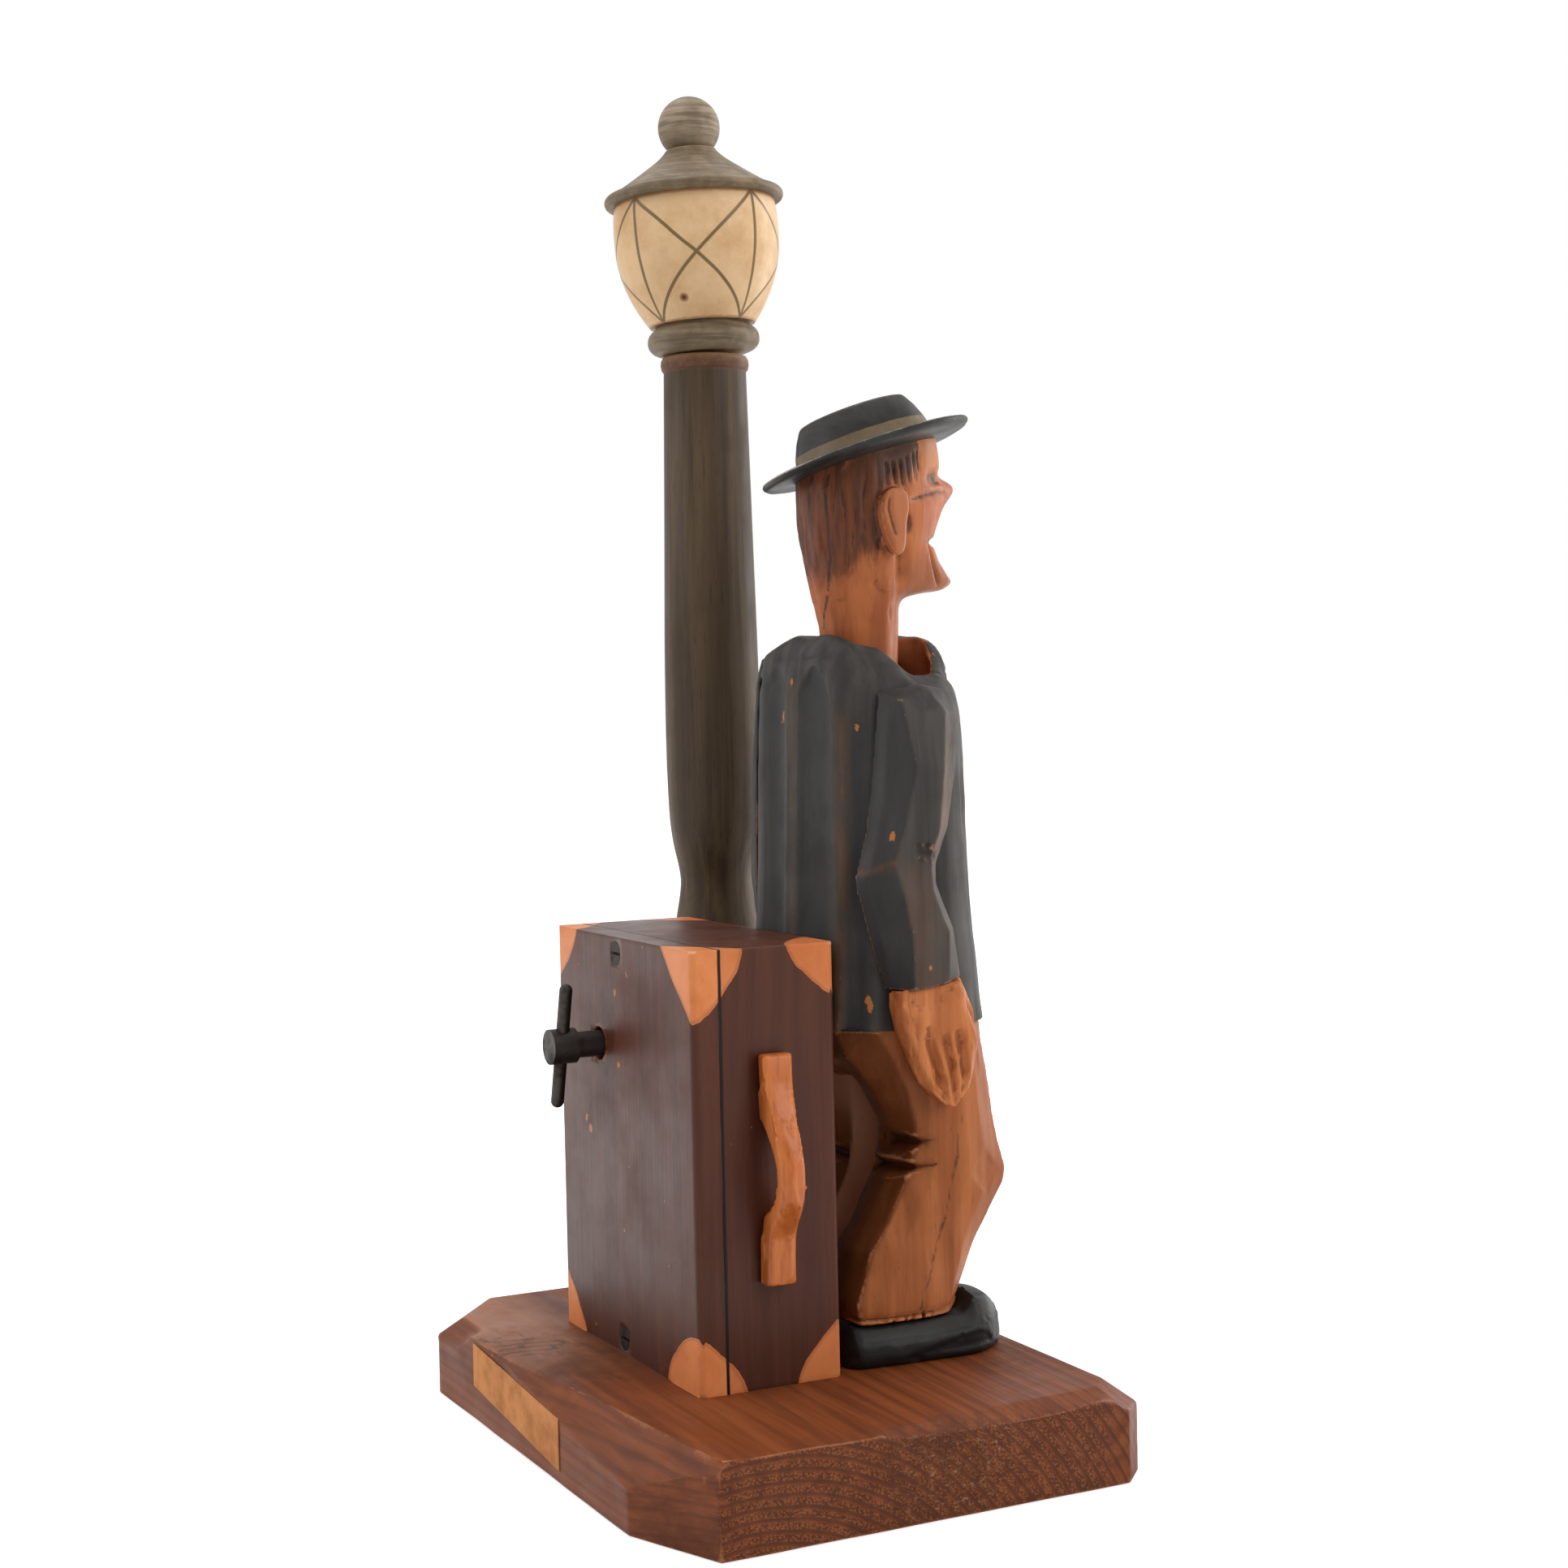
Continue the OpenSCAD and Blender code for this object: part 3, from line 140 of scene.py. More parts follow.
def decimate(obj, share):
    mod = obj.modifiers.new("fewer", "DECIMATE")
    mod.ratio = share
    return settle(obj)


def cut_away(obj, cutters):
    """Boolean difference with closed helper objects, which are then removed."""
    for cutter in cutters:
        mod = obj.modifiers.new("cut", "BOOLEAN")
        mod.operation = "DIFFERENCE"
        mod.solver = "EXACT"
        mod.object = cutter
    settle(obj)
    for cutter in cutters:
        bpy.data.objects.remove(cutter)


def block(low, high):
    """Closed box between two corners."""
    (x0, y0, z0), (x1, y1, z1) = low, high
    verts = [(x, y, z) for z in (z0, z1) for y in (y0, y1) for x in (x0, x1)]
    faces = [(0, 2, 3, 1), (4, 5, 7, 6), (0, 1, 5, 4), (2, 6, 7, 3), (0, 4, 6, 2), (1, 3, 7, 5)]
    return new_piece("cutter", verts, faces)


def lathe(name, profile, count):
    """Closed turning about the local Z axis through a loop of radius and height pairs."""
    profile = np.asarray(profile, float)
    turns = 2 * np.pi * np.arange(count) / count
    rings = len(profile)
    verts = np.empty((count, rings, 3))
    verts[..., 0] = np.cos(turns)[:, None] * profile[None, :, 0]
    verts[..., 1] = np.sin(turns)[:, None] * profile[None, :, 0]
    verts[..., 2] = profile[None, :, 1]
    faces = [
        (i * rings + k, j * rings + k, j * rings + m, i * rings + m)
        for i in range(count)
        for j in [(i + 1) % count]
        for k in range(rings)
        for m in [(k + 1) % rings]
    ]
    return new_piece(name, verts.reshape(-1, 3), faces)


def loft(name, rings):
    """Closed solid through rings of equal length, with a flat cap at each end."""
    rings = np.asarray(rings, float)
    many, count = rings.shape[:2]
    faces = [
        (r * count + i, r * count + j, (r + 1) * count + j, (r + 1) * count + i)
        for r in range(many - 1)
        for i in range(count)
        for j in [(i + 1) % count]
    ]
    faces.append(tuple(range(count - 1, -1, -1)))
    faces.append(tuple(range((many - 1) * count, many * count)))
    return new_piece(name, rings.reshape(-1, 3), faces)


def ease(value):
    """Smooth step from 0 to 1."""
    t = np.clip(value, 0, 1)
    return t * t * (3 - 2 * t)


def spline(points, steps):
    """Smooth curve through the rows of a table, sampled steps times between each two."""
    points = np.asarray(points, float)
    padded = np.vstack([2 * points[0] - points[1], points, 2 * points[-1] - points[-2]])
    out = []
    for a, b, c, d in zip(padded, padded[1:], padded[2:], padded[3:]):
        square, cube = 2 * a - 5 * b + 4 * c - d, 3 * b - a - 3 * c + d
        out += [0.5 * (2 * b + (c - a) * t + square * t**2 + cube * t**3) for t in np.arange(steps) / steps]
    return np.array(out + [points[-1]])


def points(obj):
    co = np.empty(len(obj.data.vertices) * 3)
    obj.data.vertices.foreach_get("co", co)
    return co.reshape(-1, 3) / MM


def set_points(obj, co):
    obj.data.vertices.foreach_set("co", (np.asarray(co) * MM).ravel())
    obj.data.update()


def normals(obj):
    out = np.empty(len(obj.data.vertices) * 3)
    obj.data.vertices.foreach_get("normal", out)
    return out.reshape(-1, 3)


def edges(obj):
    out = np.empty(len(obj.data.edges) * 2, int)
    obj.data.edges.foreach_get("vertices", out)
    return out.reshape(-1, 2)


def sums(owner, rows, many):
    """Adds up the rows that belong to each of many owners."""
    return np.stack([np.bincount(owner, column, many) for column in rows.T], 1)


def spread(values, pairs, times):
    """Averages point values with their neighbours along the mesh's edges."""
    count, shape = len(values), np.shape(values)
    values = np.reshape(values, (count, -1)).astype(float)
    start, end = np.concatenate([pairs, pairs[:, ::-1]]).T
    degree = np.maximum(np.bincount(start, minlength=count), 1)[:, None]
    for _ in range(times):
        values = 0.5 * values + 0.5 * sums(start, values[end], count) / degree
    return values.reshape(shape)


def smooth(obj, times):
    set_points(obj, spread(points(obj), edges(obj), times))
    return obj


def blend(obj, share, times):
    """Smooths a mesh as far as each point's share says."""
    soft = spread(points(obj), edges(obj), times)
    set_points(obj, points(obj) * (1 - share[:, None]) + soft * share[:, None])


def push(obj, amount):
    """Moves each point out along its normal, or in where the amount is below 0."""
    set_points(obj, points(obj) + normals(obj) * amount[:, None])


def store(obj, name, values):
    """Keeps one number per point for the materials."""
    layer = obj.data.attributes.get(name) or obj.data.attributes.new(name, "FLOAT", "POINT")
    layer.data.foreach_set("value", np.asarray(values, np.float32))


def store_edges(obj):
    """Keeps how sharply the surface stands out at each point: near 1 on ridges, below 0 in cuts."""
    co, out, pairs = points(obj), normals(obj), edges(obj)
    start, end = pairs.T
    step = co[end] - co[start]
    length = np.maximum(np.linalg.norm(step, axis=1), 1e-6)
    count = len(co)
    bend = np.bincount(start, -(out[start] * step).sum(1) / length, count)
    bend += np.bincount(end, (out[end] * step).sum(1) / length, count)
    degree = np.maximum(np.bincount(pairs.ravel(), minlength=count), 1)
    edge = np.clip(spread(bend / degree, pairs, 1) * 3.5, -1, 1)
    store(obj, "edge", edge)
    return edge


def whittle(obj, facet, stretch, depth, sink, seed, share=1.0):
    """Cuts the surface into flat knife facets about this wide, longer along an axis that stretch shrinks."""
    co, out = points(obj), normals(obj)
    rng = np.random.default_rng(seed)
    scaled = co * np.asarray(stretch)
    mesh_area = sum(p.area for p in obj.data.polygons) / MM**2
    many = max(8, int(mesh_area / facet**2 * np.prod(stretch) ** 0.67))
    spots = scaled[rng.choice(len(co), many, replace=False)]
    for _ in range(3):
        owner = nearest(scaled, spots, 1)[:, 0]
        size = np.maximum(np.bincount(owner, minlength=many), 1)[:, None]
        spots = sums(owner, scaled, many) / size
    middle, facing = sums(owner, co, many) / size, sums(owner, out, many)
    facing /= np.maximum(np.linalg.norm(facing, axis=1), 1e-9)[:, None]
    move = np.full(len(co), np.inf)
    for close in nearest(scaled, spots, 3).T:
        plane, at = facing[close], middle[close]
        along = (out * plane).sum(1)
        cut = ((at - co) * plane).sum(1) / np.maximum(along, 0.4)
        move = np.where(along > 0.72, np.minimum(move, cut), move)
    move = np.where(np.isfinite(move), np.clip(move - sink, -depth, depth), 0)
    push(obj, move * share)


def nearest(co, spots, near):
    """Indices of the nearest few spots to each point, found in batches."""
    out = np.empty((len(co), near), int)
    batch = 4000
    for start in range(0, len(co), batch):
        rows = slice(start, start + batch)
        gap = ((co[rows, None, :] - spots[None]) ** 2).sum(2)
        if near == 1:
            out[rows, 0] = gap.argmin(1)
        else:
            out[rows] = np.argpartition(gap, near, axis=1)[:, :near]
    return out


def along_path(co, path):
    """Distance of each point from a polyline, and how far along it the nearest place is, from 0 to 1."""
    path = np.asarray(path, float)
    lengths = np.linalg.norm(np.diff(path, axis=0), axis=1)
    starts = np.concatenate([[0], np.cumsum(lengths)])
    best = np.full(len(co), np.inf)
    where = np.zeros(len(co))
    for i, (a, b) in enumerate(zip(path, path[1:])):
        d = b - a
        t = np.clip(((co - a) @ d) / max(d @ d, 1e-9), 0, 1)
        gap = np.linalg.norm(co - a - t[:, None] * d, axis=1)
        closer = gap < best
        best = np.where(closer, gap, best)
        where = np.where(closer, (starts[i] + t * lengths[i]) / starts[-1], where)
    return best, where


def carve(obj, path, width, depth, taper=0.2, facing=None, form="V"):
    """Cuts a V, a round channel or a soft hollow along a polyline, and returns its share at each point."""
    gap, at = along_path(points(obj), path)
    share = np.clip(1 - gap / width, 0, 1)
    ends = np.clip(np.minimum(at, 1 - at) / max(taper, 1e-6), 0, 1)
    if form == "round":
        share = np.sqrt(np.clip(1 - (gap / width) ** 2, 0, 1))
    if form == "soft":
        share = ease(share) * ease(ends)
    elif taper > 0:
        share = share * ends**0.5
    if facing is not None:
        share = share * np.clip((normals(obj) @ np.asarray(facing, float)) * 3, 0, 1)
    push(obj, -share * depth)
    return share


def wobble(obj, size, height, seed, stretch):
    """Moves points in and out by a smooth random field of this grain size."""
    push(obj, height * field(points(obj) * np.asarray(stretch), size, seed))


def field(co, size, seed):
    """Smooth random field between about -1 and 1: a sum of plane waves."""
    rng = np.random.default_rng(seed)
    ways = rng.normal(size=(12, 3))
    ways *= (rng.uniform(0.6, 1.6, 12) / np.linalg.norm(ways, axis=1))[:, None] * 2 * np.pi / size
    return np.sin(co @ ways.T + rng.uniform(0, 2 * np.pi, 12)).sum(1) / 4.2


def soften_edges(obj, width, least_angle, least_length):
    """Rounds the long sharp edges of a solid by a small bevel."""
    with editing(obj.data) as bm:
        bmesh.ops.dissolve_limit(bm, angle_limit=math.radians(1), verts=bm.verts, edges=bm.edges)
        bend, reach = math.radians(least_angle), least_length * MM
        paired = [e for e in bm.edges if len(e.link_faces) == 2]
        sharp = [e for e in paired if e.calc_length() > reach and e.calc_face_angle(0) > bend]
        size = {"offset": width * MM, "offset_type": "OFFSET", "segments": 2, "profile": 0.5}
        bmesh.ops.bevel(bm, geom=sharp, affect="EDGES", clamp_overlap=True, **size)
    return obj


def slice_at(obj, planes):
    """Adds points to a mesh along planes, each a place and a normal, without changing its shape."""
    with editing(obj.data) as bm:
        for at, way in planes:
            geom = bm.verts[:] + bm.edges[:] + bm.faces[:]
            bmesh.ops.bisect_plane(bm, geom=geom, dist=1e-7, plane_co=[c * MM for c in at], plane_no=way)


def slice_up(obj, axis, places):
    """Adds points to a mesh along planes across one axis."""
    way = np.eye(3)[axis]
    slice_at(obj, [(way * place, way) for place in places])


def place(obj, matrix):
    """Moves a piece that was made at the origin to where it belongs."""
    obj.data.transform(matrix)
    obj.data.update()
    return obj


def mount(obj, body, slot, material, *replaced):
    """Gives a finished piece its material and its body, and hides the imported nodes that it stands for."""
    obj.data.materials.clear()
    obj.data.materials.append(material)
    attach(obj, body)
    if replaced:
        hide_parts(*replaced)
    return obj


def crisp(obj, degrees):
    """Smooth shading that keeps the sharp edges."""
    obj.data.shade_smooth()
    obj.data.set_sharp_from_angle(angle=math.radians(degrees))
    return obj


# Material helpers


def srgb(r, g, b):
    """Shader colour from the 0 to 255 values that a picture shows."""
    light = [c / 255 / 12.92 if c < 11 else ((c / 255 + 0.055) / 1.055) ** 2.4 for c in (r, g, b)]
    return (*light, 1.0)


WOOD_SPECULAR = 0.18


class Graph:
    """Short names for the nodes of one shader tree."""

    def __init__(self, tree):
        self.tree = tree

    def put(self, socket, value):
        """Links a socket to another or sets its value. A colour of three numbers is as a picture shows it."""
        if isinstance(value, bpy.types.NodeSocket):
            self.tree.links.new(value, socket)
        elif socket.type == "RGBA" and len(value) == 3:
            socket.default_value = srgb(*value)
        else:
            socket.default_value = value

    def node(self, kind, inputs, **settings):
        """Adds a node and returns its outputs."""
        made = self.tree.nodes.new("ShaderNode" + kind)
        for key, value in settings.items():
            setattr(made, key, value)
        for socket, value in inputs.items():
            self.put(made.inputs[socket], value)
        return made.outputs

    def math(self, operation, a, b=0.0):
        return self.node("Math", {0: a, 1: b}, operation=operation)[0]

    def plus(self, a, b):
        return self.math("ADD", a, b)

    def minus(self, a, b):
        return self.math("SUBTRACT", a, b)

    def times(self, *factors):
        return reduce(lambda a, b: self.math("MULTIPLY", a, b), factors)

    def eye_ray(self):
        """1 for rays that show a surface itself, 0 for the light that it throws on others."""
        ray = self.node("LightPath", {})
        seen = self.math("MAXIMUM", ray["Is Camera Ray"], ray["Is Glossy Ray"])
        return self.math("MAXIMUM", seen, ray["Is Transmission Ray"])


class Shader(Graph):
    """A procedural material, built in the shared frame."""

    def __init__(self, name, roughness=0.5, metallic=0.0, specular=WOOD_SPECULAR, coat=0.0):
        self.material = bpy.data.materials.new(name)
        self.material.use_nodes = True
        super().__init__(self.material.node_tree)
        self.bsdf = self.tree.nodes["Principled BSDF"]
        looks = {"Roughness": roughness, "Metallic": metallic, "Specular IOR Level": specular}
        if coat:
            looks.update({"Coat Weight": coat, "Coat Roughness": 0.25})
        self.look(looks)
        self.here = self.node("TexCoord", {})["Object"]

    def look(self, looks):
        """Sets or links named inputs of the surface."""
        for name, value in looks.items():
            self.put(self.bsdf.inputs[name], value)

    def mapped(self, scale, shift=(0, 0, 0), turn=(0, 0, 0)):
        inputs = {"Vector": self.here, "Location": shift, "Rotation": turn, "Scale": scale}
        return self.node("Mapping", inputs)[0]

    def noise(self, scale, detail, rough, distort=0.0, at=None):
        inputs = {"Vector": at or self.here, "Scale": scale, "Detail": detail, "Roughness": rough}
        return self.node("TexNoise", {**inputs, "Distortion": distort})["Fac"]

    def sway(self, noise, reach):
        """A noise as a swing about 0, this far from end to end."""
        return self.times(self.minus(noise, 0.5), reach)

    def cells(self, scale, at):
        return self.node("TexVoronoi", {"Vector": at, "Scale": scale}, feature="F1")["Distance"]

    def step(self, value, low, high, a=0.0, b=1.0):
        """Smooth step of a value from a at low to b at high."""
        inputs = {"Value": value, "From Min": low, "From Max": high, "To Min": a, "To Max": b}
        return self.node("MapRange", inputs, interpolation_type="SMOOTHSTEP")[0]

    def away(self, point):
        """Distance in millimetres from a point given in millimetres."""
        there = tuple(float(c) * MM for c in point)
        gap = self.node("VectorMath", {0: self.here, 1: there}, operation="DISTANCE")["Value"]
        return self.times(gap, 1 / MM)

    def attr(self, name):
        return self.node("Attribute", {}, attribute_name=name)["Fac"]

    def split(self, vector):
        return self.node("SeparateXYZ", {0: vector})

    def mix(self, share, a, b):
        return self.node("Mix", {0: share, 6: a, 7: b}, data_type="RGBA")[2]

    def add(self, *terms):
        """Sum of value and weight pairs."""
        return reduce(self.plus, [self.times(value, weight) for value, weight in terms])

    def ridges(self, speck, weight, low, high, most):
        """Share of wear on the edges that stand out, broken up by a fine noise."""
        return self.step(self.plus(self.attr("edge"), self.times(speck, weight)), low, high, 0, most)

    def cuts(self, speck, low, high, most):
        """Share of painted shade in the cuts, broken up by a fine noise."""
        return self.step(self.minus(self.times(speck, 0.25), self.attr("edge")), low, high, 0, most)

    def finish(self, color, roughness, height, relief):
        """Joins up colour, roughness and a bump of this relief in millimetres."""
        bump = self.node("Bump", {"Strength": 0.6, "Distance": relief * MM, "Height": height})
        self.look({"Base Color": color, "Roughness": roughness, "Normal": bump[0]})
        return self.material


GRAIN = {"x": (0.05, 1, 1), "y": (1, 0.05, 1), "z": (1, 1, 0.05)}


def grain(shader, along, scale=900):
    """Streaks of wood fibre along one axis, as a fine and a broad noise."""
    stretched = shader.mapped(GRAIN[along])
    return shader.noise(scale, 4, 0.6, 0.2, stretched), shader.noise(scale * 0.22, 3, 0.5, 0.4, stretched)


def bare_wood(name, light, middle, dark, along, roughness, coat=0.0, cut_shade=0.6):
    """Stained carved wood: fibre streaks, blotches, painted shade in the cuts and pale worn ridges."""
    s = Shader(name, roughness, coat=coat)
    fine, broad = grain(s, along)
    color = s.mix(s.step(broad, 0.32, 0.68), middle, light)
    color = s.mix(s.step(fine, 0.5, 0.78, 0, 0.55), color, dark)
    color = s.mix(s.step(s.noise(55, 3, 0.6), 0.5, 0.75, 0, 0.45), color, middle)
    speck = s.noise(420, 3, 0.7)
    color = s.mix(s.ridges(speck, 0.4, 0.42, 0.8, 0.5), color, light)
    # Painted shade in the cuts
    color = s.mix(s.cuts(speck, 0.22, 0.6, cut_shade), color, dark)
    rough = s.step(fine, 0.3, 0.8, roughness - 0.08, roughness + 0.14)
    return s.finish(color, rough, s.add((fine, 0.6), (broad, 0.4)), 0.18)


def growth_rings(s, centre, tilt, spacing):
    """Bands round a line of pith: near 1 in the dark late wood of each ring."""
    _, y, z = s.split(s.mapped((1, 1, 1), tuple(-c * MM for c in centre), tilt))
    bend = s.noise(14, 2, 0.5, 0.3, s.mapped((0.25, 1, 1)))
    radius = s.math("SQRT", s.plus(s.times(y, y), s.times(z, z)))
    bent = s.plus(radius, s.sway(bend, 7 * MM))
    saw = s.math("FRACT", s.math("DIVIDE", bent, spacing * MM))
    return s.times(s.step(saw, 0.2, 0.92), s.step(saw, 0.94, 1.0, 1, 0))


def painted_wood(name, paint, shade, worn_to, along, roughness, wear, extra=None):
    """Thin paint over wood: brush and grain variation, what extra adds to it, and rubbed ridges."""
    s = Shader(name, roughness)
    fine, broad = grain(s, along)
    patchy = s.noise(45, 4, 0.65)
    color = s.mix(s.step(broad, 0.3, 0.7), shade, paint)
    color = s.mix(s.step(fine, 0.55, 0.8, 0, 0.5), color, shade)
    color = s.mix(s.step(patchy, 0.5, 0.72, 0, 0.4), color, shade)
    if extra:
        color = extra(s, color)
    speck = s.noise(520, 4, 0.7)
    color = s.mix(s.ridges(speck, 0.55, 0.72 - 0.3 * wear, 0.98 - 0.2 * wear, 0.9), color, worn_to)
    rough = s.step(patchy, 0.3, 0.75, roughness - 0.06, roughness + 0.12)
    return s.finish(color, rough, s.add((fine, 0.7), (broad, 0.3), (speck, 0.15)), 0.16)


def metal(name, color, dark, roughness, tarnish=0.5):
    """Drawn or turned metal with fine scratches and dull patches."""
    s = Shader(name, roughness, metallic=1.0, specular=0.5)
    scratch = s.noise(2600, 3, 0.6, 0, s.mapped(GRAIN["y"]))
    dull = s.noise(160, 4, 0.65)
    tint = s.mix(s.step(dull, 0.42, 0.7, 0, tarnish), color, dark)
    rough = s.plus(s.step(dull, 0.4, 0.7, roughness, roughness + 0.2), s.times(scratch, 0.12))
    return s.finish(tint, rough, scratch, 0.02)


def paper():
    """Aged, bare paper: brown stains and pale fibres."""
    s = Shader("aged_paper", specular=0.2)
    stain = s.noise(90, 5, 0.65)
    fibre = s.noise(1800, 3, 0.7, 0.5)
    tint = s.mix(s.step(stain, 0.35, 0.72), (206, 140, 86), (168, 108, 62))
    tint = s.mix(s.step(fibre, 0.5, 0.8, 0, 0.3), tint, (218, 160, 110))
    return s.finish(tint, 0.85, s.add((fibre, 1.0), (stain, 0.4)), 0.05)


# Pieces: base and label

# Three points of the long bevel along the back: its foot at the near corner, and both ends of its top edge
BACK_BEVEL = [(-70, 70.5, 12.5), (-97.5, 57, 25), (-15, 65.5, 25)]
# Top edge of the sliver cut along the near end
SLIVER = [(-89.5, -62), (-94.5, 32)]


def slice_line(obj, a, b):
    """Adds points to a mesh along the upright plane through two places."""
    slice_at(obj, [((a[0], a[1], 0), (b[1] - a[1], a[0] - b[0], 0))])


def bevel_height(co, near_end):
    """Height of the carved top under the back bevel and the sliver."""
    x, y = co[:, 0], co[:, 1]
    a, b, c = (np.array(p, float) for p in BACK_BEVEL)
    n = np.cross(b - a, c - a)
    back = a[2] - (n[0] * (x - a[0]) + n[1] * (y - a[1])) / n[2]
    inset = np.interp(y, [-62, 32], [8, 3])
    drop = np.interp(y, [-62, -40, -18, 9.5, 11, 32], [1.2, 2.4, 2.7, 1.7, 0.6, 0])
    end = BASE_TOP - drop * np.clip(1 - (x - near_end) / inset, 0, 1)
    return np.minimum(np.minimum(back, end), BASE_TOP)


def carve_bevels(obj):
    """Redraws the board's top edges at the back and the near end as long flat knife cuts."""
    slice_line(obj, BACK_BEVEL[1], BACK_BEVEL[2])
    slice_line(obj, *SLIVER)
    mesh = obj.data
    tree = BVHTree.FromPolygons([v.co for v in mesh.vertices], [p.vertices for p in mesh.polygons])
    co, out = points(obj), normals(obj)
    inward = co - out * (0.3, 0.3, 0)
    start, down = 200 * MM, Vector((0, 0, -1))
    hits = [tree.ray_cast(Vector((x * MM, y * MM, start)), down)[0] for x, y, _ in inward]
    old = np.array([hit.z / MM if hit else BASE_TOP for hit in hits])
    x, y = co[:, 0], co[:, 1]
    near_end = box_mm("base_slab")[0][0]
    at_back = ease((y - 45) / 4) * (1 - ease((x - 50) / 16))
    at_end = ease((-84 - x) / 3) * ease((y + 62) / 6)
    new = old + np.maximum(at_back, at_end) * (bevel_height(co, near_end) - old)
    co[:, 2] *= new / np.maximum(old, 1)
    set_points(obj, co)


def make_base():
    obj = soften_edges(copy_node("base_slab", "carved_base"), width=0.6, least_angle=14, least_length=8)
    low, high = box_mm("base_slab")
    for axis in range(3):
        slice_up(obj, axis, np.arange(low[axis] + 3, high[axis], 3.2))
    carve_bevels(obj)
    co, out = points(obj), normals(obj)
    slope = np.clip(out[:, 2], 0, 1) * np.clip(1 - out[:, 2], 0, 1) * 4
    chop = field(co, 26, 5) * 0.3 + field(co, 12, 6) * 0.08
    calm = (np.abs(out[:, 2]) > 0.98) & (co[:, 2] < high[2] - 1)
    lift = np.where(calm, 0, chop * slope * 0.7 + field(co, 40, 8) * 0.1)
    footing = (co[:, 2] > high[2] - 0.6) & (out[:, 2] > 0.9)
    lift = np.where(footing, np.minimum(lift, 0) * 0.3, lift)
    inside = ((co > low + 10) & (co < high - 10))[:, :2].all(1)
    lift = np.where(inside & (co[:, 2] < high[2] - 0.6), 0, lift)
    co[:, :2] += out[:, :2] * lift[:, None]
    co[:, 2] += np.minimum(out[:, 2] * lift, 0)
    set_points(obj, co)
    store_edges(obj)
    store(obj, "end_grain", np.clip(np.abs(normals(obj)[:, 0]) * 1.6 - 0.5, 0, 1))
    mount(crisp(obj, 13), "stand", "base_wood", base_wood(), "base_slab")


# Label corners on the back edge, across and up: it was glued on askew and trimmed along the bevel
LABEL = [(-20.3, 3.6), (48.5, 10.4), (48.0, 23.0), (-20.3, 17.9)]


def make_label():
    low, high = box_mm("tune_label")
    a, b, c, d = (np.array(p) for p in LABEL)
    across, up = 40, 12
    verts = []
    for y, wave in ((low[1], 0), (high[1] - 0.06, 0.06)):
        for j in range(up + 1):
            for i in range(across + 1):
                u, v = i / across, j / up
                x, z = (1 - v) * ((1 - u) * a + u * b) + v * ((1 - u) * d + u * c)
                verts.append((x, y + wave * math.sin(5.1 * u + 3 * v) * math.sin(2.3 * v + 7 * u), z))
    row, sheet = across + 1, (across + 1) * (up + 1)
    faces = []
    for j in range(up):
        for i in range(across):
            quad = [j * row + i, j * row + i + 1, (j + 1) * row + i + 1, (j + 1) * row + i]
            faces += [tuple(quad[::-1]), tuple(k + sheet for k in quad)]
    rim = [*range(across)] + [j * row + across for j in range(up)]
    rim += [up * row + i for i in range(across, 0, -1)] + [j * row for j in range(up, 0, -1)]
    for k, n in zip(rim, rim[1:] + rim[:1]):
        faces.append((k, n, n + sheet, k + sheet))
    obj = new_piece("paper_label", verts, faces)
    mount(crisp(obj, 40), "stand", "label_paper", paper(), "tune_label")


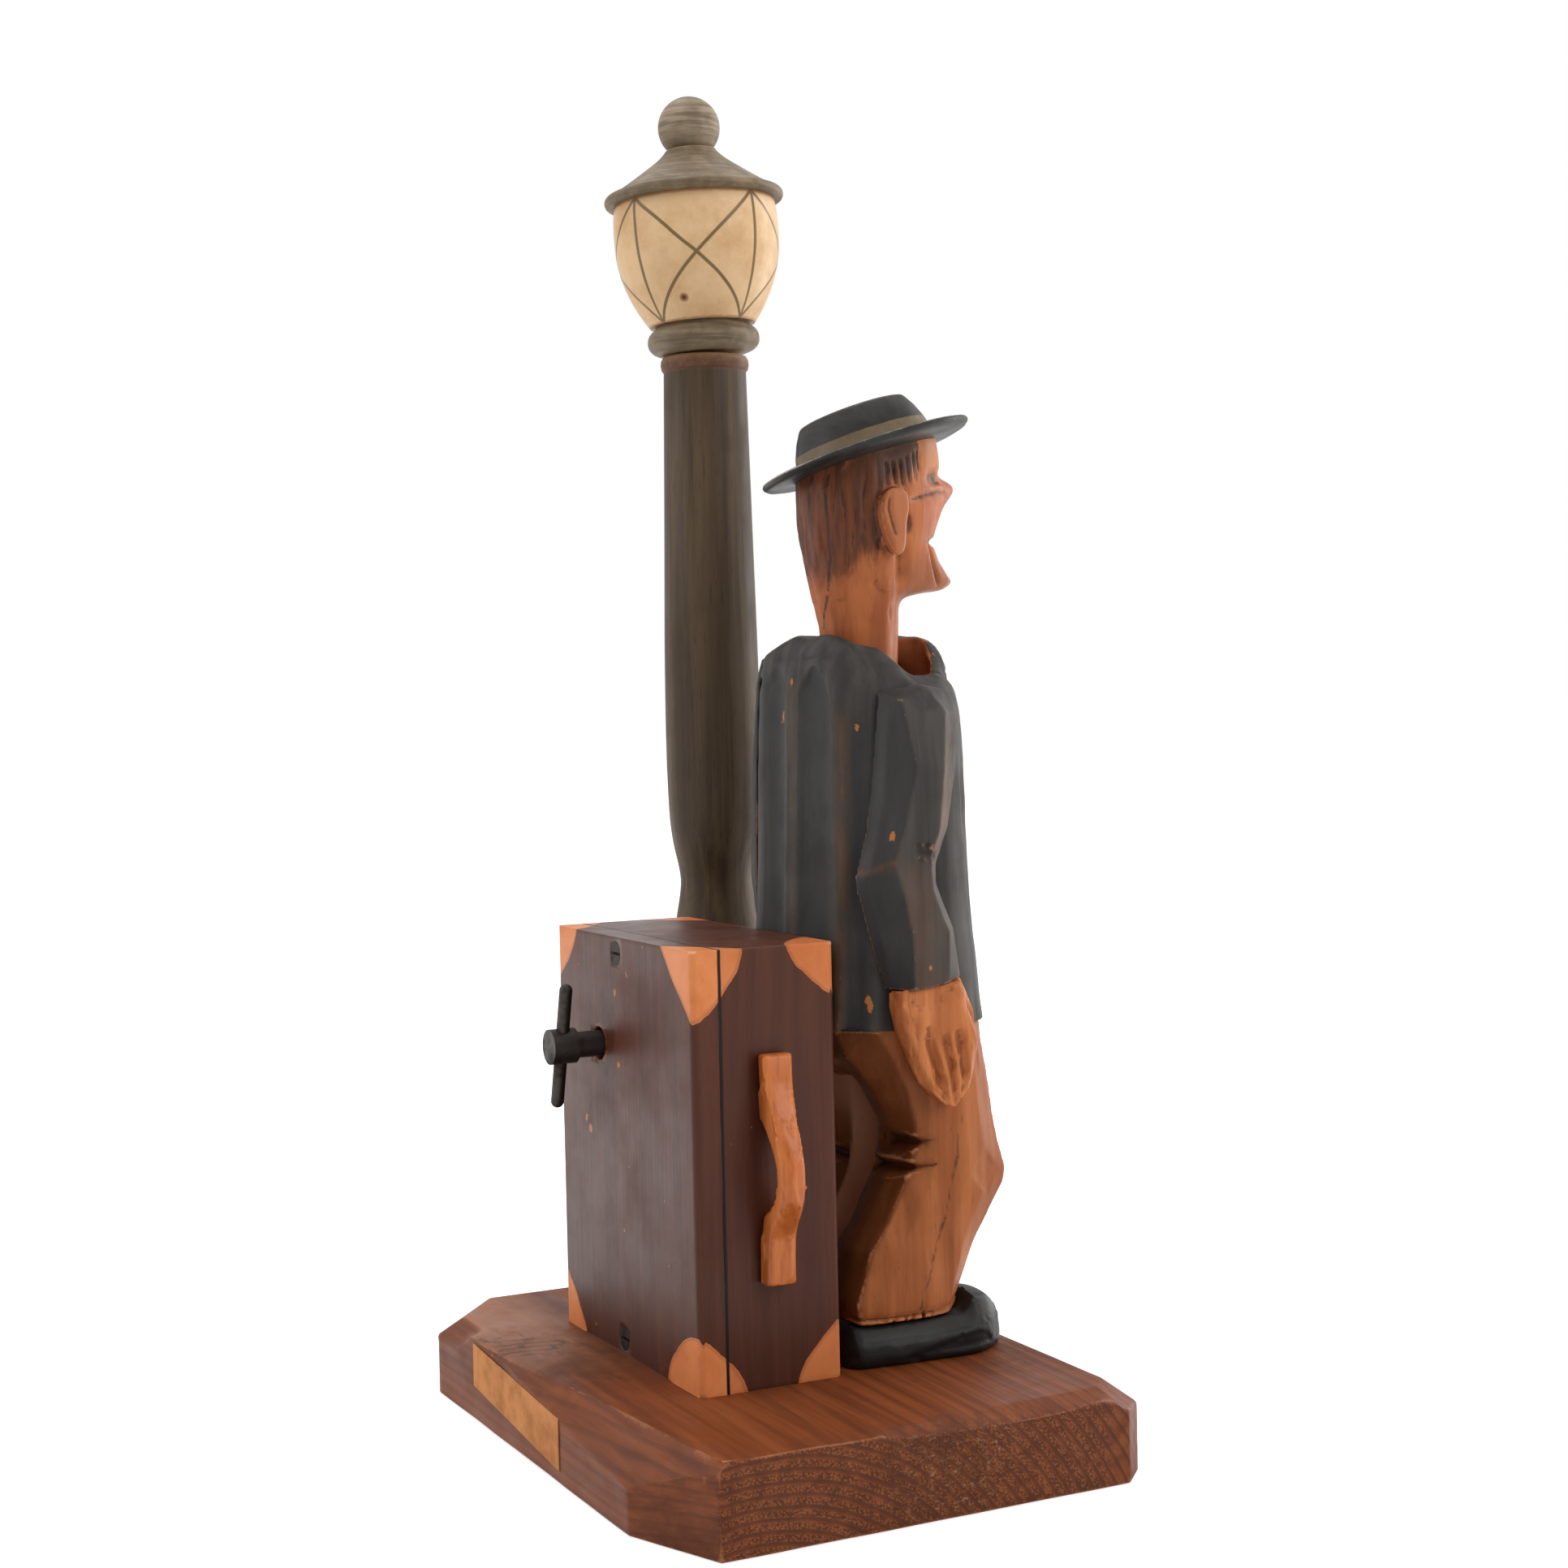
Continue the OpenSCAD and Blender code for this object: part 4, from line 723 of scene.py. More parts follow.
def base_wood():
    """Red-brown softwood board: growth rings show as faint long lines on top and as arcs on the sawn ends."""
    s = Shader("base_board")
    bands = growth_rings(s, (0, 45, -52), (0, math.radians(0.6), math.radians(1.1)), 3.1)
    fine, broad = grain(s, "x", 1100)
    end = s.attr("end_grain")
    x, y, z = s.split(s.here)
    speck = s.noise(500, 4, 0.75)
    base = s.mix(s.step(broad, 0.3, 0.7), (98, 46, 18), (126, 66, 32))
    base = s.mix(s.step(fine, 0.5, 0.8, 0, 0.4), base, (76, 36, 15))
    late = s.times(s.step(bands, 0.45, 0.95), s.step(end, 0, 1, 0.3, 0.6))
    base = s.mix(late, base, (60, 28, 13))
    on_top = s.step(z, (BASE_TOP - 1.5) * MM, (BASE_TOP - 0.5) * MM)
    # Pale patch on the top at the back: partly rubbed wood, partly a painted sheen
    rubbed_sheen_area = s.times(s.step(x, -20 * MM, 50 * MM), s.step(y, 36 * MM, 50 * MM), on_top)
    rubbed = s.step(s.noise(60, 4, 0.7), 0.3, 0.7, 0.35, 0.7)
    base = s.mix(s.times(rubbed_sheen_area, rubbed), base, (178, 126, 98))
    pits = s.cells(1300, s.mapped((0.4, 1, 1.2)))
    rough_sawn = s.times(end, s.step(y, -62 * MM, -50 * MM), s.step(bands, 0.2, 0.62, 1, 0))
    pit = s.times(s.step(pits, 0.2, 0.5, 1, 0), rough_sawn)
    base = s.mix(s.times(pit, 0.5), base, (152, 94, 54))
    hollow = s.times(s.step(pits, 0.52, 0.72), rough_sawn)
    base = s.mix(s.times(hollow, 0.6), base, (56, 28, 15))
    scratched = s.step(s.noise(800, 4, 0.75, 0, s.mapped((1, 0.5, 1))), 0.54, 0.68, 0, 0.5)
    scuffed = s.times(s.step(s.away((-97, -8, 14)), 10, 24, 1, 0), scratched, end)
    base = s.mix(scuffed, base, (186, 148, 118))
    smudge = s.noise(26, 4, 0.7)
    base = s.mix(s.step(smudge, 0.52, 0.72, 0, 0.6), base, (70, 34, 16))
    grime = s.step(s.noise(210, 4, 0.7, 0, s.mapped((0.4, 1, 1))), 0.5, 0.62, 0, 0.65)
    base = s.mix(s.times(s.step(s.away((34, 60, 25)), 8, 26, 1, 0), grime), base, (52, 30, 20))
    slant = s.minus(x, s.times(s.minus(y, 60 * MM), 0.25))
    stroke = s.math("ABSOLUTE", s.minus(s.math("FRACT", s.math("DIVIDE", slant, 4.4 * MM)), 0.5))
    hatch = s.times(s.step(stroke, 0.05, 0.1, 0.8, 0), s.step(s.away((29, 60.5, BASE_TOP)), 8, 11, 1, 0))
    base = s.mix(hatch, base, (44, 26, 18))
    base = s.mix(s.ridges(speck, 0.5, 0.55, 0.9, 0.6), base, (176, 114, 80))
    height = s.add((bands, 0.35), (fine, 0.35), (pit, 0.8), (hollow, -1.0), (speck, 0.2))
    return s.finish(base, s.step(smudge, 0.3, 0.7, 0.42, 0.6), height, 0.3)


# Pieces: street lamp

BORE = 4.05
POST_PROFILE = [
    (16, 14), (16, 92), (17.5, 96), (17.5, 102), (15, 106), (13.4, 116), (11.6, 127), (11.8, 133),
    (13.6, 142), (14.6, 152), (15, 172), (14.8, 200), (14, 240), (13.1, 289.6),
]
FOOT_PROFILE = [(1.9, 0), (18.4, 0), (19, 0.7), (19, 6.4), (18.6, 7.2), (16.7, 9.4)]
BEAD_PROFILE = [(13.1, 290.2), (13.7, 290.9), (14, 292.3), (13.9, 293.8), (13.2, 295)]


def lantern_matrix():
    at = Matrix.Translation(Vector(POST_AXIS + (0, 0, POST_H)) * MM)
    return at @ Matrix.Rotation(math.radians(LANTERN_LEAN), 4, LANTERN_AXIS)


def rounded(profile, steps):
    """Profile with its corners drawn as a smooth curve."""
    return [tuple(p) for p in spline(profile, steps)]


def make_post():
    bore = [(BORE, 295.2), (BORE, 277.8), (1.9, 277.8)]
    obj = lathe("turned_post", FOOT_PROFILE + rounded(POST_PROFILE, 5) + BEAD_PROFILE + bore, 88)
    place(obj, Matrix.Translation(Vector(POST_AXIS) * MM))
    wobble(obj, size=60, height=0.12, seed=11, stretch=(1, 1, 0.35))
    store_edges(obj)
    store(obj, "rise", (points(obj)[:, 2] - BASE_TOP) / POST_H)
    mount(crisp(obj, 38), "stand", "post_paint", post_paint(), "lamp_post")


def post_paint():
    def streaks(s, color):
        """Thin olive wash that runs down the post over brown, with a bare brown bead at the top."""
        runs = s.noise(260, 5, 0.6, 0.2, s.mapped((1, 1, 0.03)))
        broad = s.noise(38, 3, 0.6, 0.3, s.mapped((1, 1, 0.2)))
        color = s.mix(s.step(runs, 0.42, 0.7, 0, 0.8), color, (50, 37, 25))
        color = s.mix(s.step(broad, 0.5, 0.75, 0, 0.45), color, (98, 82, 58))
        dots = s.step(s.noise(1500, 2, 0.5, 0, s.mapped((1, 1, 0.1))), 0.6, 0.74, 0, 0.5)
        color = s.mix(dots, color, (38, 28, 20))
        return s.mix(s.step(s.attr("rise"), 0.978, 0.981, 0, 0.75), color, (98, 62, 44))

    tones = (88, 72, 53), (63, 49, 35), (132, 98, 68)
    return painted_wood("lamp_paint", *tones, "z", roughness=0.5, wear=0.5, extra=streaks)


def lantern_paint(name, lift=0):
    def turned(s, color):
        """Paler olive grey with fine turning lines and a rubbed rim."""
        lines = s.noise(900, 3, 0.6, 0, s.mapped((0.06, 0.06, 1)))
        color = s.mix(s.step(lines, 0.4, 0.68, 0, 0.7), color, (84, 70, 52))
        return s.mix(s.step(s.noise(60, 4, 0.7), 0.52, 0.74, 0, 0.6), color, (146, 128, 104))

    paint, shade = (tuple(c + lift for c in tone) for tone in ((136, 119, 97), (108, 92, 72)))
    worn_to = (172, 142, 108)
    return painted_wood(name, paint, shade, worn_to, "x", roughness=0.5, wear=0.5, extra=turned)


def ring_profile(points_in, bore):
    """Loop of a turned ring: its outside from bottom to top, then down the bore."""
    return [(bore, points_in[0][1])] + points_in + [(bore, points_in[-1][1])]


GALLERY_PROFILE = [
    (13.7, 0.05), (16, 1.0), (17.3, 2.4), (17.68, 3.9), (17.5, 5.6), (16.6, 7.1), (15.3, 8.2), (14.7, 8.9),
]
ROOF_PROFILE = [
    (26.4, 47.06), (27.6, 47.3), (28.15, 48.1), (28.2, 49.2), (27.6, 50.1), (26.6, 50.45), (24.6, 51.4),
    (20.5, 54), (15.6, 57.4), (11.4, 60.4), (9, 62.6), (8, 63.9),
]
ROOF_BORE = 3.05


def make_lantern():
    # The finial gets a lighter copy of the lantern paint, a painted highlight
    paint, highlit_paint = lantern_paint("lantern_paint"), lantern_paint("finial_highlit_paint", 22)
    for name, node, profile, finish in (
        ("turned_gallery", "lamp_gallery", ring_profile(rounded(GALLERY_PROFILE, 3), BORE), paint),
        ("turned_roof", "lamp_roof", ring_profile(rounded(ROOF_PROFILE, 3), ROOF_BORE), paint),
        ("turned_finial", "lamp_finial", ball_profile(9.75, 71.06), highlit_paint),
    ):
        obj = place(lathe(name, profile, 88), lantern_matrix())
        store_edges(obj)
        mount(crisp(obj, 38), "stand", "post_paint", finish, node)


def ball_profile(radius, middle):
    """Finial: a ball cut flat where it sits, with its spigot below."""
    low = 64.1
    start = math.asin((low - middle) / radius)
    angles = np.linspace(start, math.pi / 2, 26)
    ball = [(max(radius * math.cos(a), 0.02), middle + radius * math.sin(a)) for a in angles]
    return [(0.02, 57.0), (2.6, 57.0), (3, 57.5), (3, low)] + ball


GLOBE_H = 38.0
GLOBE_Z = 9.0
# Quarter turns from the frame's X axis back to the first glazing bar
GLOBE_TURN = -0.223


def make_globe():
    share = np.linspace(0, 1, 34)
    fall = (np.maximum(0, 0.72 - share) / 0.72) ** 2.1
    crown = (np.maximum(0, share - 0.82) / 0.18) ** 2
    radius = 26 * (1 - 0.36 * fall - 0.03 * crown)
    outside = [(r, GLOBE_Z + 0.03 + h) for r, h in zip(radius, share * (GLOBE_H - 0.03))]
    obj = place(lathe("painted_globe", ring_profile(outside, BORE), 112), lantern_matrix())
    store_edges(obj)
    mount(crisp(obj, 40), "stand", "globe_paint", globe_paint(), "lamp_globe")


def globe_paint():
    """Cream paint with thin brown glazing bars: upright lines and a curved cross in each panel."""
    s = Shader("globe_cream", 0.42, specular=0.2, coat=0.08)
    upright = lantern_matrix().inverted()
    x, y, z = s.split(s.mapped((1, 1, 1), tuple(upright.translation), tuple(upright.to_euler())))
    wavy = s.noise(60, 2, 0.5)
    angle = s.math("DIVIDE", s.math("ARCTAN2", y, x), math.pi / 2)
    panel = s.math("FRACT", s.plus(s.plus(angle, 4.0 + GLOBE_TURN), s.times(wavy, 0.02)))
    rest = s.minus(1.0, panel)
    height = s.math("DIVIDE", s.minus(z, GLOBE_Z * MM), GLOBE_H * MM)
    height = s.plus(height, s.sway(wavy, 0.03))
    upright_bar = s.times(s.math("MINIMUM", panel, rest), 36)
    rising, falling = (s.math("ABSOLUTE", s.minus(height, way)) for way in (panel, rest))
    line = s.math("MINIMUM", upright_bar, s.times(s.math("MINIMUM", rising, falling), 27))
    mottled = s.noise(70, 5, 0.7)
    tint = s.mix(s.step(mottled, 0.35, 0.75), (222, 186, 142), (203, 160, 112))
    tint = s.mix(s.step(s.noise(900, 3, 0.7), 0.6, 0.8, 0, 0.35), tint, (176, 130, 84))
    tint = s.mix(s.step(height, 0.9, 1.0, 0, 0.35), tint, (170, 128, 84))
    tint = s.mix(s.step(line, 0.36, 0.66, 0.9, 0), tint, (98, 76, 38))
    knot = s.away((52.6, -7.8, 335.9))
    tint = s.mix(s.step(knot, 1.0, 1.7, 0.85, 0), tint, (140, 84, 40))
    tint = s.mix(s.step(knot, 0.45, 0.9, 0.9, 0), tint, (54, 30, 16))
    tint = s.mix(s.ridges(s.noise(500, 3, 0.7), 0.5, 0.6, 0.9, 0.6), tint, (140, 98, 60))
    relief = s.add((s.noise(400, 4, 0.6), 0.6), (line, -0.05))
    return s.finish(tint, s.step(mottled, 0.3, 0.8, 0.36, 0.52), relief, 0.08)


# Pieces: suitcase

# Painted corners: which corner (side, back, top), then the reach along the back or front face (across, up),
# along the end face (across, up) and along the top or bottom (across, deep), each with how round its edge is
CORNERS = [
    ((0, 1, 1), (20, 20.5, 1.05), (14.9, 19.5, 1.5), (19, 12, 1.2)),
    ((1, 1, 1), (15.5, 17, 1.05), (15, 15, 1.4), (16, 13, 1.2)),
    ((0, 0, 1), (16, 15, 1.3), (13.7, 12.4, 1.5), (17, 15, 1.3)),
    ((1, 0, 1), (16, 15, 1.3), (15, 14, 1.4), (15, 14, 1.3)),
    ((0, 1, 0), (21.7, 16, 1.7), (14, 15, 1.15), (16, 14, 1.2)),
    ((1, 1, 0), (14.5, 18, 1.2), (14, 16, 1.3), (16, 14, 1.2)),
    ((0, 0, 0), (16, 15, 1.3), (12.6, 16.7, 1.3), (15, 14, 1.2)),
    ((1, 0, 0), (16, 15, 1.3), (14, 16, 1.3), (15, 14, 1.2)),
]


def inside_corner(u, v, reach):
    """How far inside a corner's rounded edge a place on one face is, in millimetres."""
    a, b, power = reach
    return (1 - ((u / a) ** power + (v / b) ** power) ** (1 / power)) * (a + b) / 2.6


def store_corners(obj):
    """Keeps how far inside a painted corner each point is, in millimetres."""
    co, out = points(obj), normals(obj)
    best = np.full(len(co), -30.0)
    weight = out**4 / np.maximum((out**4).sum(1), 1e-9)[:, None]
    for (side, back, top), face, end, lid in CORNERS:
        from_side, from_back, from_top = np.abs(co - np.where((side, back, top), CASE_HIGH, CASE_LOW)).T
        depth = weight[:, 0] * inside_corner(from_back, from_top, end)
        depth += weight[:, 1] * inside_corner(from_side, from_top, face)
        depth += weight[:, 2] * inside_corner(from_side, from_back, lid)
        best = np.maximum(best, depth)
    hidden = (co > CASE_LOW + 3).all(1) & (co < CASE_HIGH - 3).all(1)
    store(obj, "corner", np.where(hidden, -30, np.clip(best, -30, 30)))


KEY_X, KEY_Z = 20.5, 113.0
SEAM_Y = CASE_HIGH[1] - 8.2
# Places on the back where the paint has flaked to the wood, with their sizes
CASE_CHIPS = [
    ((7.9, 39.5, 129.1), 0.8), ((28.4, 39.5, 86.9), 0.9), ((31.6, 39.5, 89.6), 0.5),
    ((6.4, 39.5, 108.4), 0.8),
]


def make_suitcase():
    paint = case_paint()
    near = np.concatenate([np.arange(1.2, 24, 1.6), np.arange(27, 36, 5)])
    round_key = np.array([-9, -6.5, 6.5, 9])
    marks = {0: [*(KEY_X + round_key), 1.5, 10.5], 2: KEY_Z + round_key}
    for node, name in (("suitcase_body", "suitcase_shell"), ("suitcase_cover", "suitcase_back")):
        obj = soften_edges(copy_node(node, name), width=0.6, least_angle=60, least_length=4)
        for axis in (0, 2):
            slice_up(obj, axis, np.concatenate([CASE_LOW[axis] + near, CASE_HIGH[axis] - near, marks[axis]]))
        low, high = box_mm(node)
        slice_up(obj, 1, np.arange(low[1] + 1.5, high[1], 2.0))
        store_edges(obj)
        store_corners(obj)
        mount(crisp(obj, 40), "stand", "case_paint", paint, node)


def case_paint():
    """Dark red-brown paint, salmon corners, a black seam, rubbed edges with a painted highlight along the
    top, and bare wood round the key hole.
    """
    s = Shader("suitcase_paint", 0.42, specular=0.17, coat=0.03)
    fine, broad = grain(s, "z", 1000)
    _, y, z = s.split(s.here)
    patchy = s.noise(40, 4, 0.65)
    speck = s.noise(620, 4, 0.75)
    maroon = s.mix(s.step(broad, 0.3, 0.7), (67, 33, 20), (82, 43, 28))
    maroon = s.mix(s.step(fine, 0.5, 0.8, 0, 0.45), maroon, (48, 22, 14))
    maroon = s.mix(s.step(patchy, 0.52, 0.74, 0, 0.4), maroon, (62, 27, 19))
    maroon = s.mix(s.ridges(speck, 0.5, 0.66, 0.95, 0.5), maroon, (124, 78, 58))
    # Top edges: rubbed paint with a painted highlight
    on_top = s.step(z, (CASE_HIGH[2] - 1.2) * MM, (CASE_HIGH[2] - 0.3) * MM)
    maroon = s.mix(s.times(on_top, s.ridges(speck, 0.5, 0.6, 0.8, 0.8)), maroon, (206, 178, 160))
    maroon = s.mix(s.step(s.noise(340, 2, 0.5), 0.76, 0.8, 0, 0.6), maroon, (168, 116, 84))
    flaky = s.sway(s.noise(420, 4, 0.7, 0, s.mapped((1, 1, 0.4))), 4)
    for spot, size in CASE_CHIPS:
        flake = s.step(s.plus(s.away(spot), flaky), size, size + 0.35, 0.9, 0)
        maroon = s.mix(flake, maroon, (176, 104, 56))
    salmon = s.mix(s.step(s.noise(60, 4, 0.6), 0.35, 0.7), (220, 136, 82), (202, 114, 60))
    salmon = s.mix(s.step(s.noise(420, 4, 0.7), 0.6, 0.78, 0, 0.6), salmon, (172, 94, 50))
    salmon = s.mix(s.ridges(speck, 0.5, 0.6, 0.85, 0.6), salmon, (244, 180, 138))
    salmon = s.mix(s.step(y, (SEAM_Y - 0.4) * MM, SEAM_Y * MM, 0.35, 0), salmon, (176, 96, 52))
    inside = s.plus(s.attr("corner"), s.sway(s.noise(110, 3, 0.5), 2.0))
    rim = s.times(s.step(inside, -0.1, 0.3), s.step(inside, 0.4, 1.1, 1, 0))
    tint = s.mix(s.step(inside, -0.12, 0.12), maroon, salmon)
    tint = s.mix(s.times(rim, 0.45), tint, (150, 84, 50))
    ring = s.plus(s.away((KEY_X, CASE_HIGH[1], KEY_Z)), s.sway(s.noise(380, 4, 0.7), 7))
    on_back = s.step(y, (CASE_HIGH[1] - 1.5) * MM, (CASE_HIGH[1] - 0.8) * MM)
    chips = s.times(s.step(ring, 5.6, 6.2, 1, 0), on_back)
    tint = s.mix(chips, tint, s.mix(s.noise(700, 3, 0.6), (150, 88, 48), (84, 44, 24)))
    wander = s.sway(s.noise(90, 3, 0.6), 0.5 * MM)
    from_seam = s.math("ABSOLUTE", s.plus(s.minus(y, SEAM_Y * MM), wander))
    seam = s.step(from_seam, 0.28 * MM, 0.62 * MM, 1, 0)
    tint = s.mix(seam, tint, (14, 8, 6))
    raised = s.step(inside, -0.2, 0.2)
    height = s.add((fine, 0.7), (broad, 0.3), (speck, 0.2), (raised, 0.8), (seam, -3.0), (chips, -1.5))
    return s.finish(tint, s.step(patchy, 0.3, 0.75, 0.34, 0.5), height, 0.14)


# Strap handle from the top end down: share of the length, how far the outside bows out, the gap under it
HANDLE_BOW = [
    (0, 0, 0), (0.12, 0.8, 0), (0.22, 2.6, 0), (0.29, 4.6, 0), (0.33, 6.2, 2.6), (0.4, 8.4, 6.2),
    (0.47, 9.9, 8.6), (0.55, 9.9, 9), (0.62, 8.8, 7.2), (0.67, 7, 4), (0.7, 5.6, 0), (0.75, 2.6, 0),
    (0.79, 1, 0), (0.88, 0.4, 0), (1, 0, 0),
]
HANDLE_T = 5.4


def make_handle():
    low, high = box_mm("suitcase_handle")
    middle, half = (low[1] + high[1]) / 2, (high[1] - low[1]) / 2
    table = np.array(HANDLE_BOW)
    rings = []
    for share in np.linspace(0, 1, 90):
        bow, gap = (np.interp(share, table[:, 0], table[:, k]) for k in (1, 2))
        bend = min(bow / 9.9, 1)
        outer, inner = HANDLE_T + bow, gap
        width = half * (1 - 0.16 * bend) * (1 - 0.03 * math.sin(9 * share))
        ring = section(0, 1, -1, 1, 4.5 - 2.1 * bend, 44)
        x = CASE_LOW[0] - 0.05 - (outer + inner) / 2 - (outer - inner) / 2 * ring[:, 1]
        y = middle + width * ring[:, 0] + 0.5 * bend
        rings.append(np.stack([x, y, np.full(len(ring), high[2] - share * (high[2] - low[2]))], 1))
    obj = remesh(loft("carved_handle", rings), 0.6)
    smooth(obj, 3)
    whittle(obj, facet=7, stretch=(1, 1, 0.35), depth=0.3, sink=0.02, seed=3)
    co = points(obj)
    co[:, 0] = np.minimum(co[:, 0], CASE_LOW[0] - 0.05)
    set_points(obj, co)
    store_edges(obj)
    tones = (204, 118, 60), (178, 94, 43), (124, 62, 26)
    # The last share sets the painted shade in the handle's cuts
    wood = bare_wood("handle_varnish", *tones, "z", roughness=0.38, coat=0.2, cut_shade=0.4)
    mount(decimate(obj, 0.4), "stand", "handle_wood", wood, "suitcase_handle")


# Pieces: the figure


def in_man(pts):
    """Points given from the figure's own origin, in the shared frame."""
    return np.asarray(pts, float) + MAN


def mirrored(path, sign):
    """A path on the figure's left, or for sign -1 on its right, in the shared frame."""
    return in_man(np.array(path, float) * (sign, 1, 1))


def above(obj, height, reach):
    """0 for points up to this height over the figure's foot, easing to 1 over the reach above it."""
    return ease((points(obj)[:, 2] - MAN[2] - height) / reach)


def facet_loft(name, rings, across, along):
    """Solid with straight facets between rings of corners, each side and each step cut up finely."""
    rings = np.asarray(rings, float)
    nxt = np.roll(rings, -1, axis=1)
    parts = [rings + (nxt - rings) * (k / across) for k in range(across)]
    fine = np.stack(parts, 2).reshape(len(rings), -1, 3)
    rows = [a + (b - a) * (k / along) for a, b in zip(fine, fine[1:]) for k in range(along)]
    return loft(name, np.array(rows + [fine[-1]]))


def superellipse(angles, square):
    """Cosine and sine scaled out to a rounded square."""
    c, s = np.cos(angles), np.sin(angles)
    k = (np.abs(c) ** square + np.abs(s) ** square) ** (-1 / square)
    return c * k, s * k


def section(z, back, front, half, square, count=64):
    """Superellipse ring at one height."""
    across, deep = superellipse(2 * np.pi * (np.arange(count) + 0.5) / count, square)
    y = (back + front) / 2 + (back - front) / 2 * deep
    return np.stack([half * across, y, np.full(count, float(z))], 1)


def join(objs):
    """One object from several."""
    with editing(objs[0].data) as bm:
        for obj in objs[1:]:
            bm.from_mesh(obj.data)
    for obj in objs[1:]:
        bpy.data.objects.remove(obj)
    return objs[0]


# Jacket

SLEEVE_X = 28.7
COLLAR_Z = 199.4
# Gouge channels down the back: middle, half width and depth
FLUTES = [(12.2, 7.0, 1.5), (-11.3, 8.4, 2.3)]
FLUTE_TOP = 196.0
JACKET_TABLE = [
    (94, -0.6, -58.4, 30.7), (102, -1.2, -57.4, 30.1), (130, -2.6, -55, 29.3), (165, -3.6, -53.6, 28.9),
    (182.5, -4, -53, 28.5), (194.5, -4.6, -52.2, 27.7), (201, -6.2, -51, 25.9), (204.5, -9.5, -49.6, 22.5),
]


def jacket_at(z):
    """Back, front and half width of the jacket block at some heights."""
    fine = spline(JACKET_TABLE, 12)
    return [np.interp(z, fine[:, 0], fine[:, k]) for k in (1, 2, 3)]


def jacket_reach(co):
    """How far out from the jacket's middle points lie, 1 on its surface; the middle; the square corner."""
    back, front, half = jacket_at(co[:, 2])
    middle, deep = (back + front) / 2, (back - front) / 2
    v = (co[:, 1] - middle) / deep
    square_corner = ((co[:, 0] > 0) & (v > 0)) * ease((208.5 - co[:, 2]) / 9)
    half = half + 2.4 * square_corner
    power = np.where(v < 0, 2.2, 3.2 + 2.8 * square_corner)
    return (np.abs(co[:, 0] / half) ** power + np.abs(v) ** power) ** (1 / power), middle, square_corner


def block_jacket(obj):
    """Draws the outside of the solid onto the plain block that the flutes are cut from."""
    co = points(obj) - MAN
    reach, middle, square_corner = jacket_reach(co)
    outside = (reach > 0.925 - 0.1 * square_corner) & (co[:, 2] < 204) & (np.abs(co[:, 0]) < 28.2)
    scale = np.where(outside, 1 / np.maximum(reach, 0.1), 1)
    co[:, 0] = np.clip(co[:, 0] * scale, -28.5, 28.5)
    co[:, 1] = middle + (co[:, 1] - middle) * scale
    set_points(obj, co + MAN)
    return outside


def drop_shoulder(obj):
    """Lets the right shoulder and the right front of the collar slope down, as they were carved."""
    co = points(obj) - MAN
    x, y, z = co.T
    collar = 12.2 * ease((3 - x) / 16) * ease((-17 - y) / 15) * ease((-y + 62) / 10)
    shoulder = 9.5 * ease((-x - 9) / 18)
    far_side = 1.5 * ease((x - 18) / 9)
    drop = np.maximum(np.maximum(collar, shoulder), far_side)
    share = ease((z - 166) / 38)
    lumps = 0.8 * field(co, 15, 41) * ease((z - 196) / 8)
    co[:, 2] = z - drop * share + np.minimum(lumps, 0.4)
    set_points(obj, co + MAN)


# Places where the paint of the jacket and the right sleeve has flaked to the wood, with their sizes
JACKET_CHIPS = [
    ((0.9, -4.8, 191.2), 0.7), ((8, -4.7, 181.6), 1.1), ((10.6, -4.9, 180.2), 0.6),
    ((-26.5, -10, 178), 0.65), ((-26.9, -11, 102.8), 1.0), ((-27.3, -12.2, 100.2), 0.9),
    ((-28.2, -17.1, 105.4), 0.7),
]
SLEEVE_CHIPS = [((-38, -13, 148.4), 1.0), ((-39, -25, 112), 0.7)]


def bare_rim(co, facing):
    """Where the neck hole is cut through the paint: 1 in the hole, less on the front of its rim."""
    x, y, z = co.T
    in_slot = (np.abs(x) < 13.3) & (y > -49.5) & (y < -12.6) & (z < 204.2) & (z > 150)
    in_slot &= (facing[:, 1] > -0.3) | (y > -43)
    from_hole = np.hypot(np.maximum(np.abs(x) - 12.4, 0), np.maximum(-40 - y, 0))
    front_rim = np.clip(1.6 - from_hole / 2.2, 0, 1) * (z > 203) * (y < -24) * (y > -50)
    front_rim *= ease((facing[:, 2] - 0.5) / 0.3)
    return np.clip(in_slot * 1.0 + front_rim * 0.75, 0, 1)


def make_jacket():
    obj = smooth(remesh(copy_node("jacket", "carved_jacket"), 1.0), 1)
    outside = block_jacket(obj)
    blend(obj, above(obj, 197, 3), 5)
    cut_flutes(obj, outside)
    lapels = cut_front(obj)
    co, facing = points(obj) - MAN, normals(obj)
    drop_shoulder(obj)
    nick = np.maximum(cut_collar(obj), 0.5 * lapels)
    blend(obj, above(obj, 184, 4) * ease((normals(obj)[:, 2] - 0.1) / 0.3) * (1 - nick), 4)
    chop = field(co * (1, 1, 0.2), 14, 3) * 0.16 + field(co * (1, 1, 0.5), 6, 4) * 0.06
    push(obj, chop * outside)
    store(obj, "raw", bare_rim(co, facing))
    # Share of the knife cuts, painted as shade in the jacket paint
    store(obj, "nick", nick)
    store(obj, "chip", flakes(obj, JACKET_CHIPS))
    in_front = ease((-facing[:, 1] - 0.2) / 0.4)
    store(obj, "edge", store_edges(obj) - nick - 0.3 * above(obj, 192, 4) - 0.4 * in_front)
    mount(decimate(obj, 0.6), "stand", "jacket_paint", jacket_paint(), "jacket")


